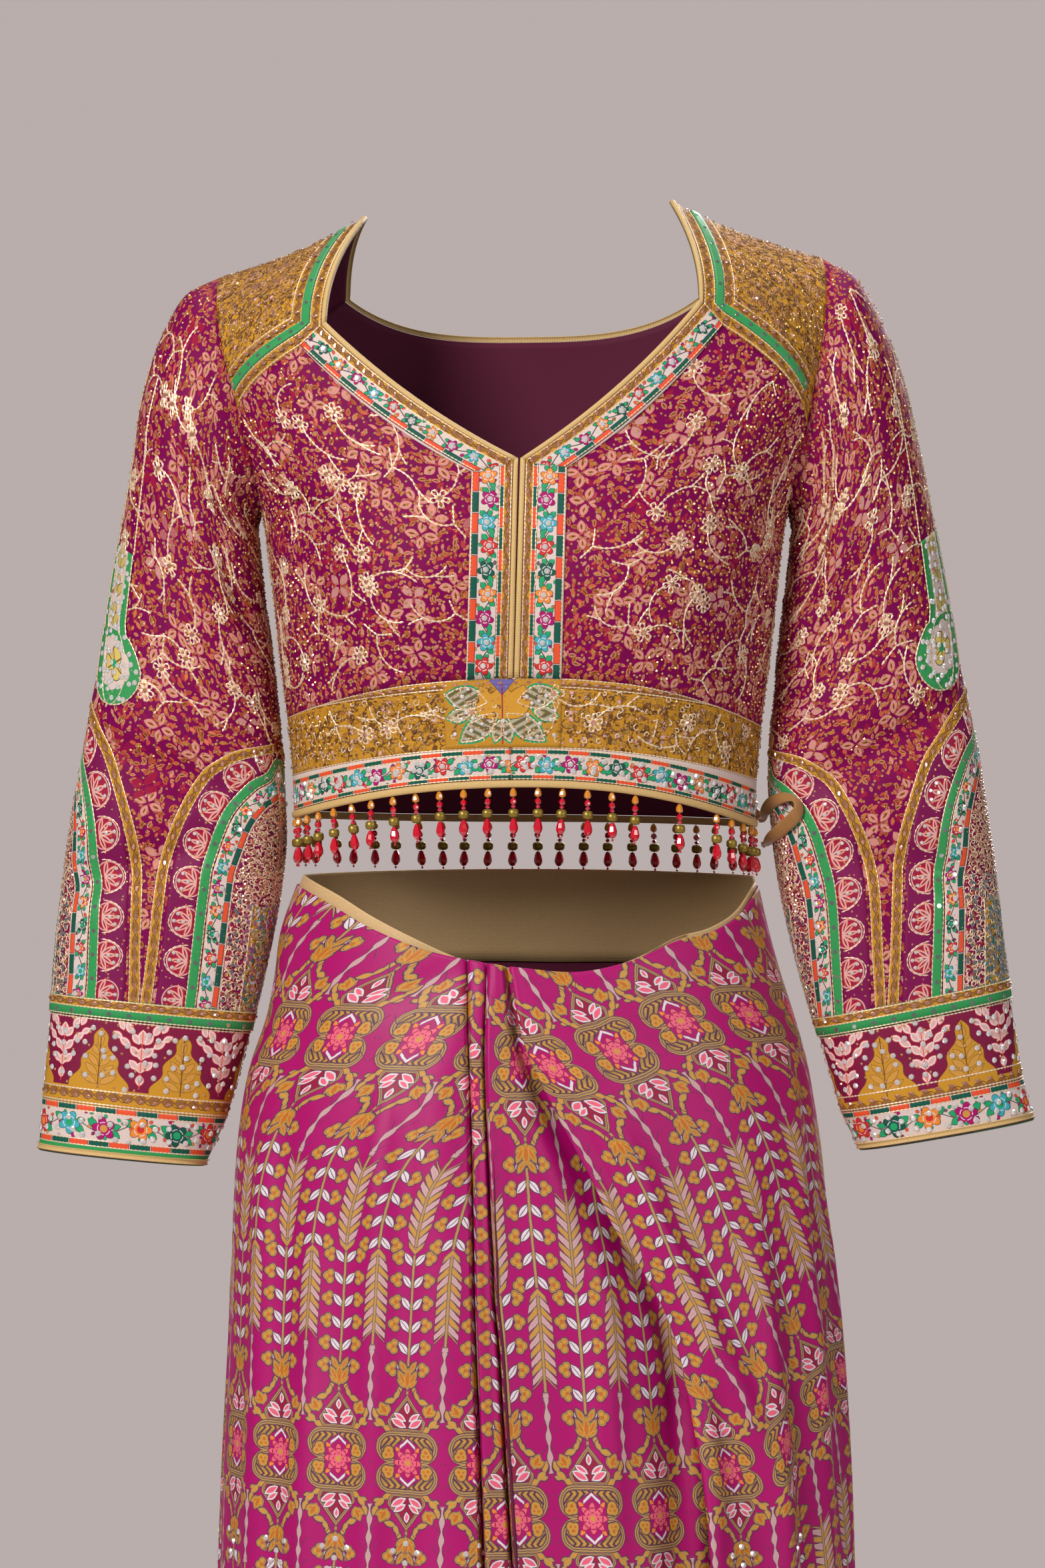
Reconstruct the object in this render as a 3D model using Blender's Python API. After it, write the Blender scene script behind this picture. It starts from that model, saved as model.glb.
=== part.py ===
"""A two-piece saree outfit as it hangs on a standing wearer: a long-sleeved blouse with a V neck, gold shoulder
yokes, printed borders and a bead fringe, and the saree cloth wound round the hips with its pleats at the front.

Metres, +Z up, the front faces -Y. The origin is the middle of the waist, where the wearer holds the saree.
Every cloth piece is a thin wall whose outer face follows a surface worked out from the tables below.
"""

import math

import bmesh
import bpy
import numpy as np

# Cloth and seams
CLOTH = 0.0012
BORDER = 0.0010
SEAM = 0.0003
LAID_GAP = 0.0003
PIPING_WIDTH = 0.0034
PIPING_WALL = 0.0020
PIPING_PROUD = 0.0004
SHARP_ANGLE = 50.0

# The blouse body below the shoulders, as level sections
TORSO_COLUMNS = ("height", "half_width", "front", "back", "squareness")
TORSO = (
    (0.050, 0.1440, 0.104, 0.090, 2.20),
    (0.090, 0.1445, 0.105, 0.091, 2.20),
    (0.125, 0.1470, 0.108, 0.093, 2.20),
    (0.150, 0.1500, 0.111, 0.095, 2.20),
    (0.175, 0.1530, 0.113, 0.097, 2.20),
    (0.204, 0.1560, 0.115, 0.101, 2.25),
    (0.230, 0.1590, 0.116, 0.103, 2.30),
    (0.262, 0.1640, 0.115, 0.105, 2.35),
    (0.300, 0.1780, 0.108, 0.106, 2.50),
    (0.340, 0.1940, 0.098, 0.104, 2.60),
    (0.380, 0.1990, 0.087, 0.099, 2.60),
    (0.410, 0.1990, 0.079, 0.092, 2.60),
)
BUST_RISE = 0.020
BUST_X = 0.083
BUST_Z = 0.208
BUST_REACH_X = 0.046
BUST_REACH_Z = 0.046
TILT_HEIGHTS = (0.06, 0.41)
TILT_SLOPES = (0.0, 0.010)

# The middle of the front, which stands a little to one side
CENTRE_HEIGHTS = (0.060, 0.300)
CENTRE_PLACES = (-0.0100, -0.0035)

# Neck, yoke and armhole points on the body: side -1 is the viewer's left
V_POINT = (-0.0034, 0.2923)
V_SAG = 0.006
NECK_CORNER = {-1: (-0.1217, 0.3780), 1: (0.1066, 0.3894)}
YOKE_TIP = {-1: (-0.1775, 0.3260), 1: (0.1740, 0.3135)}
NECK_POINT = {-1: (-0.0985, 0.004, 0.4480), 1: (0.0905, 0.004, 0.4580)}
SHOULDER_POINT = {-1: (-0.1900, 0.004, 0.4105), 1: (0.1855, 0.004, 0.4225)}
RIDGE_SAG = 0.0035
NECK_SWELL = {-1: (-0.1255, -0.0657, 0.4120), 1: (0.1120, -0.0657, 0.4200)}
TIP_SWELL = {-1: (-0.1963, -0.0519, 0.3915), 1: (0.1925, -0.0519, 0.4000)}
BACK_NECK_CORNER = (0.1120, 0.4050)
BACK_NECK_LOW = 0.3800
BACK_NECK_POWER = 2.4
BACK_YOKE_TIP = (0.1760, 0.3450)
BACK_NECK_SWELL = (0.1150, 0.0620, 0.4330)
BACK_TIP_SWELL = (0.1960, 0.0560, 0.3950)
UNDERARM = 0.262
# Columns: angle, height
ARMHOLE = ((90.0, 0.262), (81.0, 0.270), (73.0, 0.292), (68.5, 0.316))
BACK_ARMHOLE = ((90.0, 0.262), (99.0, 0.272), (107.0, 0.296), (112.0, 0.325))

# Edges that run round the body: height in front, at the viewer's left and at the viewer's right
# Columns: front, left, right
BAND_TOP = (0.1580, 0.1346, 0.1287)
BORDER_TOP = (0.1150, 0.0985, 0.0955)
HEM = (0.0917, 0.0725, 0.0667)
HEM_PIPING = 0.0045
EDGE_POWER = 2.0

# Borders laid on the front
# Columns: placket, neck
FRONT_STRIPS = ((0.0040, 0.0040), (0.0100, 0.0095), (0.0195, 0.0155), (0.0290, 0.0215))

# Sleeves: outer and inner silhouette points of each ring, and its front and back depth
# Columns: outer x, outer z, inner x, inner z, front, back
SLEEVE = {
    -1: (
        (-0.2092, 0.4008, -0.1665, 0.2520, 0.050, 0.052),
        (-0.2238, 0.3792, -0.1660, 0.2440, 0.053, 0.056),
        (-0.2383, 0.3375, -0.1645, 0.2292, 0.054, 0.058),
        (-0.2454, 0.2917, -0.1615, 0.2042, 0.051, 0.056),
        (-0.2529, 0.2500, -0.1575, 0.1750, 0.047, 0.053),
        (-0.2600, 0.2083, -0.1545, 0.1458, 0.044, 0.050),
        (-0.2671, 0.1625, -0.1520, 0.1208, 0.042, 0.047),
        (-0.2754, 0.1167, -0.1505, 0.0917, 0.041, 0.044),
        (-0.2829, 0.0708, -0.1500, 0.0563, 0.040, 0.041),
        (-0.2892, 0.0250, -0.1546, 0.0167, 0.039, 0.038),
        (-0.2933, -0.0125, -0.1625, -0.0229, 0.038, 0.035),
        (-0.2960, -0.0480, -0.1713, -0.0605, 0.036, 0.033),
    ),
    1: (
        (0.2040, 0.4120, 0.1665, 0.2520, 0.050, 0.052),
        (0.2190, 0.3900, 0.1660, 0.2440, 0.053, 0.056),
        (0.2350, 0.3500, 0.1645, 0.2292, 0.054, 0.058),
        (0.2460, 0.3042, 0.1615, 0.2042, 0.051, 0.056),
        (0.2560, 0.2542, 0.1580, 0.1760, 0.047, 0.053),
        (0.2640, 0.2125, 0.1555, 0.1470, 0.044, 0.050),
        (0.2720, 0.1667, 0.1530, 0.1210, 0.042, 0.047),
        (0.2812, 0.1208, 0.1530, 0.0940, 0.041, 0.044),
        (0.2880, 0.0750, 0.1570, 0.0480, 0.040, 0.041),
        (0.2940, 0.0350, 0.1640, 0.0080, 0.039, 0.038),
        (0.2985, -0.0050, 0.1735, -0.0300, 0.038, 0.035),
        (0.3030, -0.0400, 0.1840, -0.0640, 0.036, 0.033),
    ),
}
# Columns: outer x, outer z, inner x, inner z, front, back
CUFF_BAND = {
    -1: ((-0.2960, -0.0480, -0.1713, -0.0605, 0.036, 0.033), (-0.3013, -0.1021, -0.1860, -0.1146, 0.034, 0.031)),
    1: ((0.3030, -0.0400, 0.1840, -0.0640, 0.036, 0.033), (0.3110, -0.0900, 0.1975, -0.1115, 0.034, 0.031)),
}
CUFF_BORDER = {
    -1: ((-0.3013, -0.1021, -0.1860, -0.1146, 0.034, 0.031), (-0.3038, -0.1370, -0.2010, -0.1470, 0.031, 0.028)),
    1: ((0.3110, -0.0900, 0.1975, -0.1115, 0.034, 0.031), (0.3185, -0.1180, 0.2100, -0.1368, 0.031, 0.028)),
}
CUFF_PIPING = 0.0035
CUFF_TRIM_LENGTH = 0.0140
SLEEVE_SQUARENESS = 2.2
SLEEVE_RINGS = 15
FIRST_RINGS = (0.0, 0.012, 0.028)
EVEN_RINGS_START = 0.050

# The bead fringe under the blouse's hem
STRAND_PITCH = 0.0152
STRAND_ROOT = 0.0011
HEM_SAMPLES = 721
# Columns: drop, radius
STRAND = (
    (0.0036, 0.0023),
    (0.0078, 0.0009),
    (0.0120, 0.0031),
    (0.0160, 0.0009),
    (0.0214, 0.0030),
    (0.0275, 0.0004),
)
MISSING_STRANDS = (18, 20)

# The wound saree cloth: level sections of its outer face
DRAPE_COLUMNS = ("height", "left", "right", "front", "back", "squareness")
DRAPE = (
    (-1.000, 0.2150, 0.2250, 0.165, 0.160, 2.1),
    (-0.800, 0.2060, 0.2160, 0.152, 0.152, 2.1),
    (-0.600, 0.1980, 0.2090, 0.140, 0.147, 2.1),
    (-0.396, 0.1908, 0.2004, 0.129, 0.143, 2.1),
    (-0.333, 0.1888, 0.1983, 0.127, 0.142, 2.1),
    (-0.250, 0.1846, 0.1930, 0.124, 0.141, 2.1),
    (-0.167, 0.1820, 0.1846, 0.120, 0.138, 2.1),
    (-0.125, 0.1790, 0.1825, 0.117, 0.133, 2.1),
    (-0.083, 0.1720, 0.1770, 0.113, 0.125, 2.1),
    (-0.050, 0.1610, 0.1680, 0.109, 0.117, 2.1),
    (-0.025, 0.1563, 0.1600, 0.105, 0.110, 2.1),
    (0.000, 0.1530, 0.1530, 0.101, 0.103, 2.1),
    (0.040, 0.1390, 0.1440, 0.096, 0.096, 2.1),
)
DRAPE_BOTTOM = -1.0
WAIST_COLUMNS = ("place", "height")
WAIST_FRONT = (
    (-0.150, 0.0310),
    (-0.120, 0.0190),
    (-0.093, 0.0060),
    (-0.070, -0.0030),
    (-0.050, -0.0095),
    (-0.030, -0.0135),
    (0.000, -0.0185),
    (0.030, -0.0205),
    (0.060, -0.0140),
    (0.090, -0.0020),
    (0.115, 0.0040),
    (0.135, 0.0150),
    (0.150, 0.0300),
)
WAIST_BACK = 0.0330
WAIST_HALF_WIDTH = 0.150
WAIST_MIDDLE = -0.0100

# Fold lines of the saree's front, as places across at each height
FOLD_COLUMNS = ("height", "groove_left", "groove_right", "swag")
FOLDS = (
    (-1.000, -0.0020, 0.0220, 0.1350),
    (-0.700, -0.0140, 0.0080, 0.1230),
    (-0.382, -0.0277, -0.0095, 0.1110),
    (-0.341, -0.0290, -0.0119, 0.1080),
    (-0.280, -0.0310, -0.0156, 0.0997),
    (-0.240, -0.0326, -0.0180, 0.0916),
    (-0.216, -0.0333, -0.0204, 0.0815),
    (-0.187, -0.0338, -0.0215, 0.0653),
    (-0.171, -0.0341, -0.0225, 0.0552),
    (-0.139, -0.0347, -0.0237, 0.0410),
    (-0.102, -0.0355, -0.0255, 0.0212),
    (-0.062, -0.0366, -0.0266, 0.0015),
    (-0.012, -0.0378, -0.0255, -0.0096),
)
SWAG_COLUMNS = ("height", "overlap", "proud", "recess", "groove_gap", "groove_depth")
SWAG = (
    (-1.000, 0.0600, 0.0080, 0.0200, 0.0140, 0.0300),
    (-0.600, 0.0520, 0.0060, 0.0160, 0.0080, 0.0200),
    (-0.382, 0.0420, 0.0050, 0.0130, 0.0045, 0.0130),
    (-0.240, 0.0320, 0.0040, 0.0110, 0.0038, 0.0100),
    (-0.150, 0.0200, 0.0020, 0.0075, 0.0036, 0.0080),
    (-0.062, 0.0120, 0.0006, 0.0065, 0.0036, 0.0055),
    (-0.030, 0.0100, 0.0000, 0.0085, 0.0036, 0.0048),
    (0.000, 0.0090, 0.0000, 0.0050, 0.0036, 0.0040),
)
LAYER_MIDDLE = 0.0034
LAYER_UNDER = 0.0050
LIP = 0.0022
EDGE_SINK = 0.0006
FACE_SHARES = (0.36, 0.64, 0.86)
RECESS_SHARES = (0.20, 0.35)
FLAP_REACH = 1.3
FLAP_PROUD = 0.7

# Large soft folds, as lines seen from the front: negative depths are hollows
FOLD_FADE = 0.15
# Columns: x0, z0, x1, z1, depth, reach
DRAPE_CREASES = (
    (-0.0430, -0.0200, -0.0900, -0.0420, -0.0030, 0.0110),
    (-0.0430, -0.0300, -0.1150, -0.1100, -0.0030, 0.0180),
    (0.0140, -0.0220, 0.0400, -0.0520, -0.0030, 0.0100),
    (0.0300, -0.0250, 0.1250, -0.1200, -0.0035, 0.0200),
    (0.0900, -0.1200, 0.1350, -0.3600, -0.0040, 0.0220),
    (0.0200, -0.2400, 0.0500, -0.6000, -0.0050, 0.0220),
    (-0.0900, -0.2000, -0.0850, -0.8500, -0.0050, 0.0300),
    (-0.1300, -0.3000, -0.1450, -0.9500, 0.0050, 0.0280),
    (0.1500, -0.3800, 0.1700, -0.9500, -0.0060, 0.0300),
)
BACK_DRAPE_CREASES = (
    (-0.0900, 0.0000, -0.1150, -0.7000, -0.0050, 0.0280),
    (0.0200, -0.0200, 0.0300, -0.8000, -0.0060, 0.0300),
    (0.1050, -0.0300, 0.1250, -0.8500, -0.0050, 0.0280),
)
SLEEVE_CREASES = (
    (-0.2100, 0.2900, -0.1650, 0.2560, -0.0060, 0.0110),
    (-0.1900, 0.2450, -0.1640, 0.1900, -0.0050, 0.0110),
    (-0.2600, 0.1150, -0.1800, 0.0850, -0.0045, 0.0120),
    (-0.2850, 0.0300, -0.2000, 0.0550, -0.0040, 0.0120),
    (0.1850, 0.3050, 0.1720, 0.2100, -0.0070, 0.0110),
    (0.2050, 0.2250, 0.1650, 0.1500, -0.0050, 0.0120),
    (0.2650, 0.1400, 0.1850, 0.0950, -0.0045, 0.0120),
    (0.2850, 0.0350, 0.2000, 0.0500, -0.0040, 0.0120),
)

# The tape inside the saree's waist
TAPE_COLUMNS = ("place", "show")
TAPE_SHOW = ((-0.150, 0.0065), (-0.080, 0.0060), (-0.045, 0.0020), (-0.020, -0.0030), (0.040, -0.0030),
             (0.080, 0.0015), (0.150, 0.0025))
TAPE_DEPTH = {"back": 0.0016, "front": 0.0027, "folds": 0.0145}
TAPE_FOLDS = (-0.0140, 0.0420)
TAPE_WALL = 0.0012
TAPE_LAP = {"plain": 0.0040, "folds": 0.0110}
TAPE_STEPS = 32
TAPE_TURN = 3.0

# The tie at the blouse's right back hem
RIBBON_WIDTH = 0.0085
RIBBON_WALL = 0.0010
# Columns: x, y, z, lean
RIBBON = (
    (0.1472, 0.0262, 0.0703, 75.0),
    (0.1495, 0.0130, 0.0712, 70.0),
    (0.1500, 0.0010, 0.0755, 45.0),
    (0.1535, -0.0120, 0.0815, 25.0),
    (0.1600, -0.0250, 0.0850, 40.0),
    (0.1665, -0.0330, 0.0845, 65.0),
    (0.1695, -0.0355, 0.0790, 50.0),
    (0.1665, -0.0330, 0.0725, 20.0),
    (0.1600, -0.0240, 0.0660, 10.0),
    (0.1535, -0.0110, 0.0600, 30.0),
    (0.1505, 0.0020, 0.0560, 60.0),
    (0.1500, 0.0130, 0.0550, 70.0),
    (0.1495, 0.0220, 0.0570, 75.0),
)
KNOT = (0.1432, 0.0345, 0.0745)
KNOT_RADIUS = 0.0062

COLOURS = {
    "magenta_embroidered": (0.42, 0.07, 0.19, 0.75),
    "gold_yoke": (0.62, 0.38, 0.09, 0.75),
    "green_band": (0.10, 0.55, 0.28, 0.6),
    "floral_border": (0.80, 0.64, 0.54, 0.7),
    "cream_piping": (0.78, 0.62, 0.36, 0.6),
    "magenta_print": (0.62, 0.04, 0.32, 0.5),
    "waist_tape": (0.80, 0.62, 0.38, 0.7),
    "ribbon": (0.58, 0.38, 0.17, 0.5),
    "beads": (0.72, 0.05, 0.09, 0.2),
}


# Tables and curves
def column(table, names, name):
    """One named column of a table, as numbers."""
    return np.array([row[names.index(name)] for row in table], float)


def smooth(xs, ys, at):
    """A cubic through rising xs, each slope taken from the neighbours, and level past the ends."""
    xs, ys, at = np.asarray(xs, float), np.asarray(ys, float), np.asarray(at, float)
    slopes = np.gradient(ys, xs)
    i = np.clip(np.searchsorted(xs, at) - 1, 0, len(xs) - 2)
    h = xs[i + 1] - xs[i]
    t = np.clip((at - xs[i]) / h, 0, 1)
    start = (2 * t**3 - 3 * t**2 + 1) * ys[i] + (t**3 - 2 * t**2 + t) * h * slopes[i]
    return start + (3 * t**2 - 2 * t**3) * ys[i + 1] + (t**3 - t**2) * h * slopes[i + 1]


def from_table(table, names, name, at, key="height"):
    return smooth(column(table, names, key), column(table, names, name), at)


def run(points, count):
    """count + 1 points spaced evenly along a line through the given points."""
    points = np.asarray(points, float)
    steps = np.linalg.norm(np.diff(points, axis=0), axis=1)
    along = np.concatenate([[0], np.cumsum(steps)])
    at = np.linspace(0, along[-1], count + 1)
    return np.stack([np.interp(at, along, points[:, k]) for k in range(points.shape[1])], axis=1)


def joined(*runs):
    """Runs end to end, with the points that they share kept once."""
    return np.concatenate([runs[0]] + [r[1:] for r in runs[1:]])


def across(guides, counts):
    """A grid between guides, with counts[i] steps from guide i to the next. Columns run across, rows along."""
    strips = [guides[0][:, None]]
    for a, b, count in zip(guides, guides[1:], counts):
        t = (np.arange(1, count + 1) / count)[None, :, None]
        strips.append(a[:, None] * (1 - t) + b[:, None] * t)
    return np.concatenate(strips, axis=1)


# The blouse's body surface
def torso_sizes(z):
    return [from_table(TORSO, TORSO_COLUMNS, name, z) for name in TORSO_COLUMNS[1:]]


def torso(angle, z):
    """Points of the blouse's outer face. Angle 0 is the front and 90 the viewer's right, in degrees."""
    half, front, back, power = torso_sizes(z)
    s, c = np.sin(np.radians(angle)), np.cos(np.radians(angle))
    x = half * np.sign(s) * np.abs(s) ** (2 / power)
    y = -np.where(c > 0, front, back) * np.sign(c) * np.abs(c) ** (2 / power)
    swell = sum(
        np.exp(-(((x - side * BUST_X) / BUST_REACH_X) ** 2) / 2 - ((z - BUST_Z) / BUST_REACH_Z) ** 2 / 2)
        for side in (-1, 1)
    )
    y = y - np.where(c > 0, BUST_RISE * swell, 0)
    tilt = np.interp(z, TILT_HEIGHTS, TILT_SLOPES)
    return np.stack([x, y, z + tilt * x], axis=-1)


def angle_at(x, z, behind=False):
    """The angle at which the body surface has this x, in degrees."""
    half, _, _, power = torso_sizes(z)
    angle = np.degrees(np.arcsin(np.clip(np.abs(x) / half, 0, 1) ** (power / 2)))
    angle = 180 - angle if behind else angle
    return np.where(x < 0, -angle, angle)


def on_body(points, behind=False):
    """(x, z) points as (angle, z)."""
    points = np.asarray(points, float)
    angle = angle_at(points[:, 0], points[:, 1], behind)
    return np.stack([angle, points[:, 1]], axis=1)


def edge_height(edge, angle):
    """How high a band's edge runs at an angle: arched in front, level behind."""
    front, left, right = edge
    s, c = np.sin(np.radians(angle)), np.cos(np.radians(angle))
    side = np.where(s < 0, left, right)
    middle = np.where(c > 0, front, (left + right) / 2)
    return side + (middle - side) * (1 - np.abs(s) ** EDGE_POWER)


def centre_x(z):
    return np.interp(z, CENTRE_HEIGHTS, CENTRE_PLACES)


# Cloth walls
def surface_normals(surface, angle, z):
    """Unit normals of a surface that is a function of (angle, z)."""
    turn, rise = 0.5, 0.002
    over = surface(angle + turn, z) - surface(angle - turn, z)
    up = surface(angle, z + rise) - surface(angle, z - rise)
    normals = np.cross(over, up)
    return normals / np.linalg.norm(normals, axis=-1, keepdims=True)


def grid_normals(grid, around=False):
    """Unit normals of a grid of points, facing away from the body's middle line when rows rise and columns
    run towards the viewer's right across the front."""
    padded = np.concatenate([grid[:, -2:-1], grid, grid[:, 1:2]], axis=1) if around else grid
    along = np.gradient(grid, axis=0)
    over = np.gradient(padded, axis=1)
    over = over[:, 1:-1] if around else over
    normals = np.cross(over, along)
    return normals / np.maximum(np.linalg.norm(normals, axis=2, keepdims=True), 1e-12)


def inset(grid, rows=(0, 0), cols=(0, 0)):
    """The grid with its first and last rows and columns drawn in by these lengths."""
    grid = grid.copy()
    for index, beside, length in ((0, 1, rows[0]), (-1, -2, rows[1])):
        step = grid[beside] - grid[index]
        grid[index] += step / np.maximum(np.linalg.norm(step, axis=1, keepdims=True), 1e-9) * length
    for index, beside, length in ((0, 1, cols[0]), (-1, -2, cols[1])):
        step = grid[:, beside] - grid[:, index]
        grid[:, index] += step / np.maximum(np.linalg.norm(step, axis=1, keepdims=True), 1e-9) * length
    return grid


def fold_push(points, normals, table, facing):
    """How far the folds of a table push each point out, on the side that faces that way."""
    side = np.clip(normals[..., 1] * facing * 2, 0, 1)
    flat = points[..., [0, 2]]
    push = np.zeros(points.shape[:-1])
    for x0, z0, x1, z1, depth, reach in table:
        start, way = np.array([x0, z0]), np.array([x1 - x0, z1 - z0])
        t = np.clip(((flat - start) @ way) / (way @ way), 0, 1)
        off = np.linalg.norm(flat - start - t[..., None] * way, axis=-1)
        ends = FOLD_FADE + (1 - 2 * FOLD_FADE) * t
        push += depth * np.exp(-((off / reach) ** 2)) * np.sin(math.pi * ends)
    return push * side


def material_of(name):
    found = bpy.data.materials.get(name)
    if found:
        return found
    made = bpy.data.materials.new(name)
    made.use_nodes = True
    shader = made.node_tree.nodes["Principled BSDF"]
    red, green, blue, roughness = COLOURS[name]
    shader.inputs["Base Color"].default_value = (red, green, blue, 1)
    shader.inputs["Roughness"].default_value = roughness
    return made


def add_mesh(name, points, faces, material):
    """A named object from points and faces, its faces turned outwards."""
    mesh = bpy.data.meshes.new(name)
    mesh.from_pydata([tuple(p) for p in points], [], faces)
    shape = bmesh.new()
    shape.from_mesh(mesh)
    bmesh.ops.delete(shape, geom=[v for v in shape.verts if not v.link_faces], context="VERTS")
    bmesh.ops.recalc_face_normals(shape, faces=shape.faces)
    shape.to_mesh(mesh)
    shape.free()
    mesh.shade_smooth()
    mesh.set_sharp_from_angle(angle=math.radians(SHARP_ANGLE))
    mesh.materials.append(material_of(material))
    made = bpy.data.objects.new(name, mesh)
    bpy.context.scene.collection.objects.link(made)
    return made


def wall_faces(cells, cols, count):
    """Faces of a wall over these cells of a grid: its outer points come first, and the inner ones follow."""
    faces = []
    rim = {}
    for i, j in cells:
        right = (j + 1) % cols
        loop = [i * cols + j, i * cols + right, (i + 1) * cols + right, (i + 1) * cols + j]
        faces.append(tuple(loop))
        faces.append(tuple(k + count for k in reversed(loop)))
        for a, b in zip(loop, loop[1:] + loop[:1]):
            if rim.pop((b, a), None) is None:
                rim[(a, b)] = True
    return faces + [(b, a, a + count, b + count) for a, b in rim]


def add_wall(name, grid, material, low=-CLOTH, high=0.0, around=False, normals=None, cells=None):
    """A wall between two offsets of a grid along its normals, over all of its cells or the given ones."""
    normals = grid_normals(grid, around) if normals is None else normals
    if around:
        grid, normals = grid[:, :-1], normals[:, :-1]
    rows, cols = grid.shape[:2]
    if cells is None:
        cells = [(i, j) for i in range(rows - 1) for j in range(cols if around else cols - 1)]
    points = np.concatenate([(grid + normals * high).reshape(-1, 3), (grid + normals * low).reshape(-1, 3)])
    return add_mesh(name, points, wall_faces(cells, cols, rows * cols), material)


def side_name(side):
    return "left" if side < 0 else "right"


# Blouse front
PLACKET_ROWS = 6
NECK_ROWS = 8
ARMHOLE_ROWS = 6
PANEL_ROWS = PLACKET_ROWS + NECK_ROWS
SEAM_ROWS = PANEL_ROWS - ARMHOLE_ROWS
STRIP_STEPS = len(FRONT_STRIPS) - 1
FRONT_STEPS = (4, 5)
PANEL_MIDDLE = 0.48


def toward(a, b, length):
    """The point this far along from a to b."""
    a, b = np.array(a, float), np.array(b, float)
    return a + (b - a) / np.linalg.norm(b - a) * length


def stand_on(flat, edge):
    """An (angle, z) grid with its lowest row on a band's edge, and the rows above moved less and less."""
    share = np.linspace(0, 1, len(flat))[:, None]
    flat = flat.copy()
    flat[..., 1] += (1 - share) ** 2 * (edge_height(edge, flat[0, :, 0]) - flat[0, :, 1])
    return flat


def neckline(side, inward):
    """The V neck's edge from the V point to the yoke, moved into the cloth, as (x, z)."""
    start, end = np.array(V_POINT), np.array(NECK_CORNER[side])
    way = (end - start) / np.linalg.norm(end - start)
    down = np.array([side * abs(way[1]), -abs(way[0])])
    seam = np.array(YOKE_TIP[side]) - end
    seam = seam / np.linalg.norm(seam)
    last = end + seam * inward / abs(seam @ down)
    t = np.linspace(0, 1, NECK_ROWS + 1)[:, None]
    first = start + down * inward
    return first * (1 - t) + last * t + down * 4 * V_SAG * t * (1 - t)


def front_edge(side, placket_in, neck_in):
    """A guide from the band's top up beside the middle and along the V neck, as (angle, z)."""
    slant = neckline(side, neck_in)
    corner_x = V_POINT[0] + side * placket_in
    ratio = (slant[1, 1] - slant[0, 1]) / (slant[1, 0] - slant[0, 0])
    corner = np.array([corner_x, slant[0, 1] + (corner_x - slant[0, 0]) * ratio])
    share = np.linspace(0, 1, NECK_ROWS + 1)[:, None]
    slant = slant + (1 - share) * (corner - slant[0])
    heights = np.linspace(BAND_TOP[0], corner[1], PLACKET_ROWS + 1)
    places = centre_x(heights) - centre_x(corner[1]) + corner_x
    return on_body(joined(np.stack([places, heights], axis=1), slant))


def front_flat(side):
    """The front panel in (angle, z): columns from the front edge to the side seam and armhole."""
    strips = [front_edge(side, placket, neck) for placket, neck in FRONT_STRIPS]
    seam = run([(side * 90.0, BAND_TOP[1 if side < 0 else 2]), (side * 90.0, UNDERARM)], SEAM_ROWS)
    hole = [(side * a, z) for a, z in ARMHOLE] + [tuple(on_body([YOKE_TIP[side]])[0])]
    outer = joined(seam, run(hole, ARMHOLE_ROWS))
    middle = strips[-1] * (1 - PANEL_MIDDLE) + outer * PANEL_MIDDLE
    return stand_on(across(strips + [middle, outer], (1,) * STRIP_STEPS + FRONT_STEPS), BAND_TOP)


def laid_strip(name, panel, normals, rows, material):
    """A border laid on a panel: some rows of the panel's own first columns, moved out."""
    cols = slice(0, STRIP_STEPS + 1)
    part = inset(panel[rows, cols], rows=(SEAM, SEAM), cols=(SEAM, SEAM))
    add_wall(name, part, material, LAID_GAP, LAID_GAP + BORDER, normals=normals[rows, cols])


def edge_piping(name, edge, beside, normals, material, ends=(SEAM, SEAM)):
    """Piping along an edge: a narrow strip past it, a little thicker than the cloth."""
    way = edge - beside
    way = way / np.linalg.norm(way, axis=1, keepdims=True)
    strip = np.stack([edge + way * SEAM, edge + way * (SEAM + PIPING_WIDTH)], axis=1)
    strip = inset(strip, rows=ends)
    doubled = np.stack([normals, normals], axis=1)
    add_wall(name, strip, material, PIPING_PROUD - PIPING_WALL, PIPING_PROUD, normals=doubled)


def build_front(side):
    word = side_name(side)
    flat = front_flat(side)
    whole = torso(flat[..., 0], flat[..., 1])
    normals = surface_normals(torso, flat[..., 0], flat[..., 1])
    panel = inset(whole, rows=(SEAM / 2, SEAM / 2), cols=(0, SEAM / 2))
    add_wall("front_" + word, panel, "magenta_embroidered", normals=normals)
    for part, rows in (("placket", slice(0, PLACKET_ROWS + 1)), ("neck", slice(PLACKET_ROWS, None))):
        laid_strip(part + "_border_" + word, whole, normals, rows, "floral_border")
        edge_piping(part + "_piping_" + word, whole[rows, 0], whole[rows, 1], normals[rows, 0], "cream_piping")
    return flat, whole, normals


# Blouse back
BACK_YOKE_STEPS = 4
BACK_STEPS = (BACK_YOKE_STEPS, 3, 2, 2, 3, BACK_YOKE_STEPS)


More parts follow.
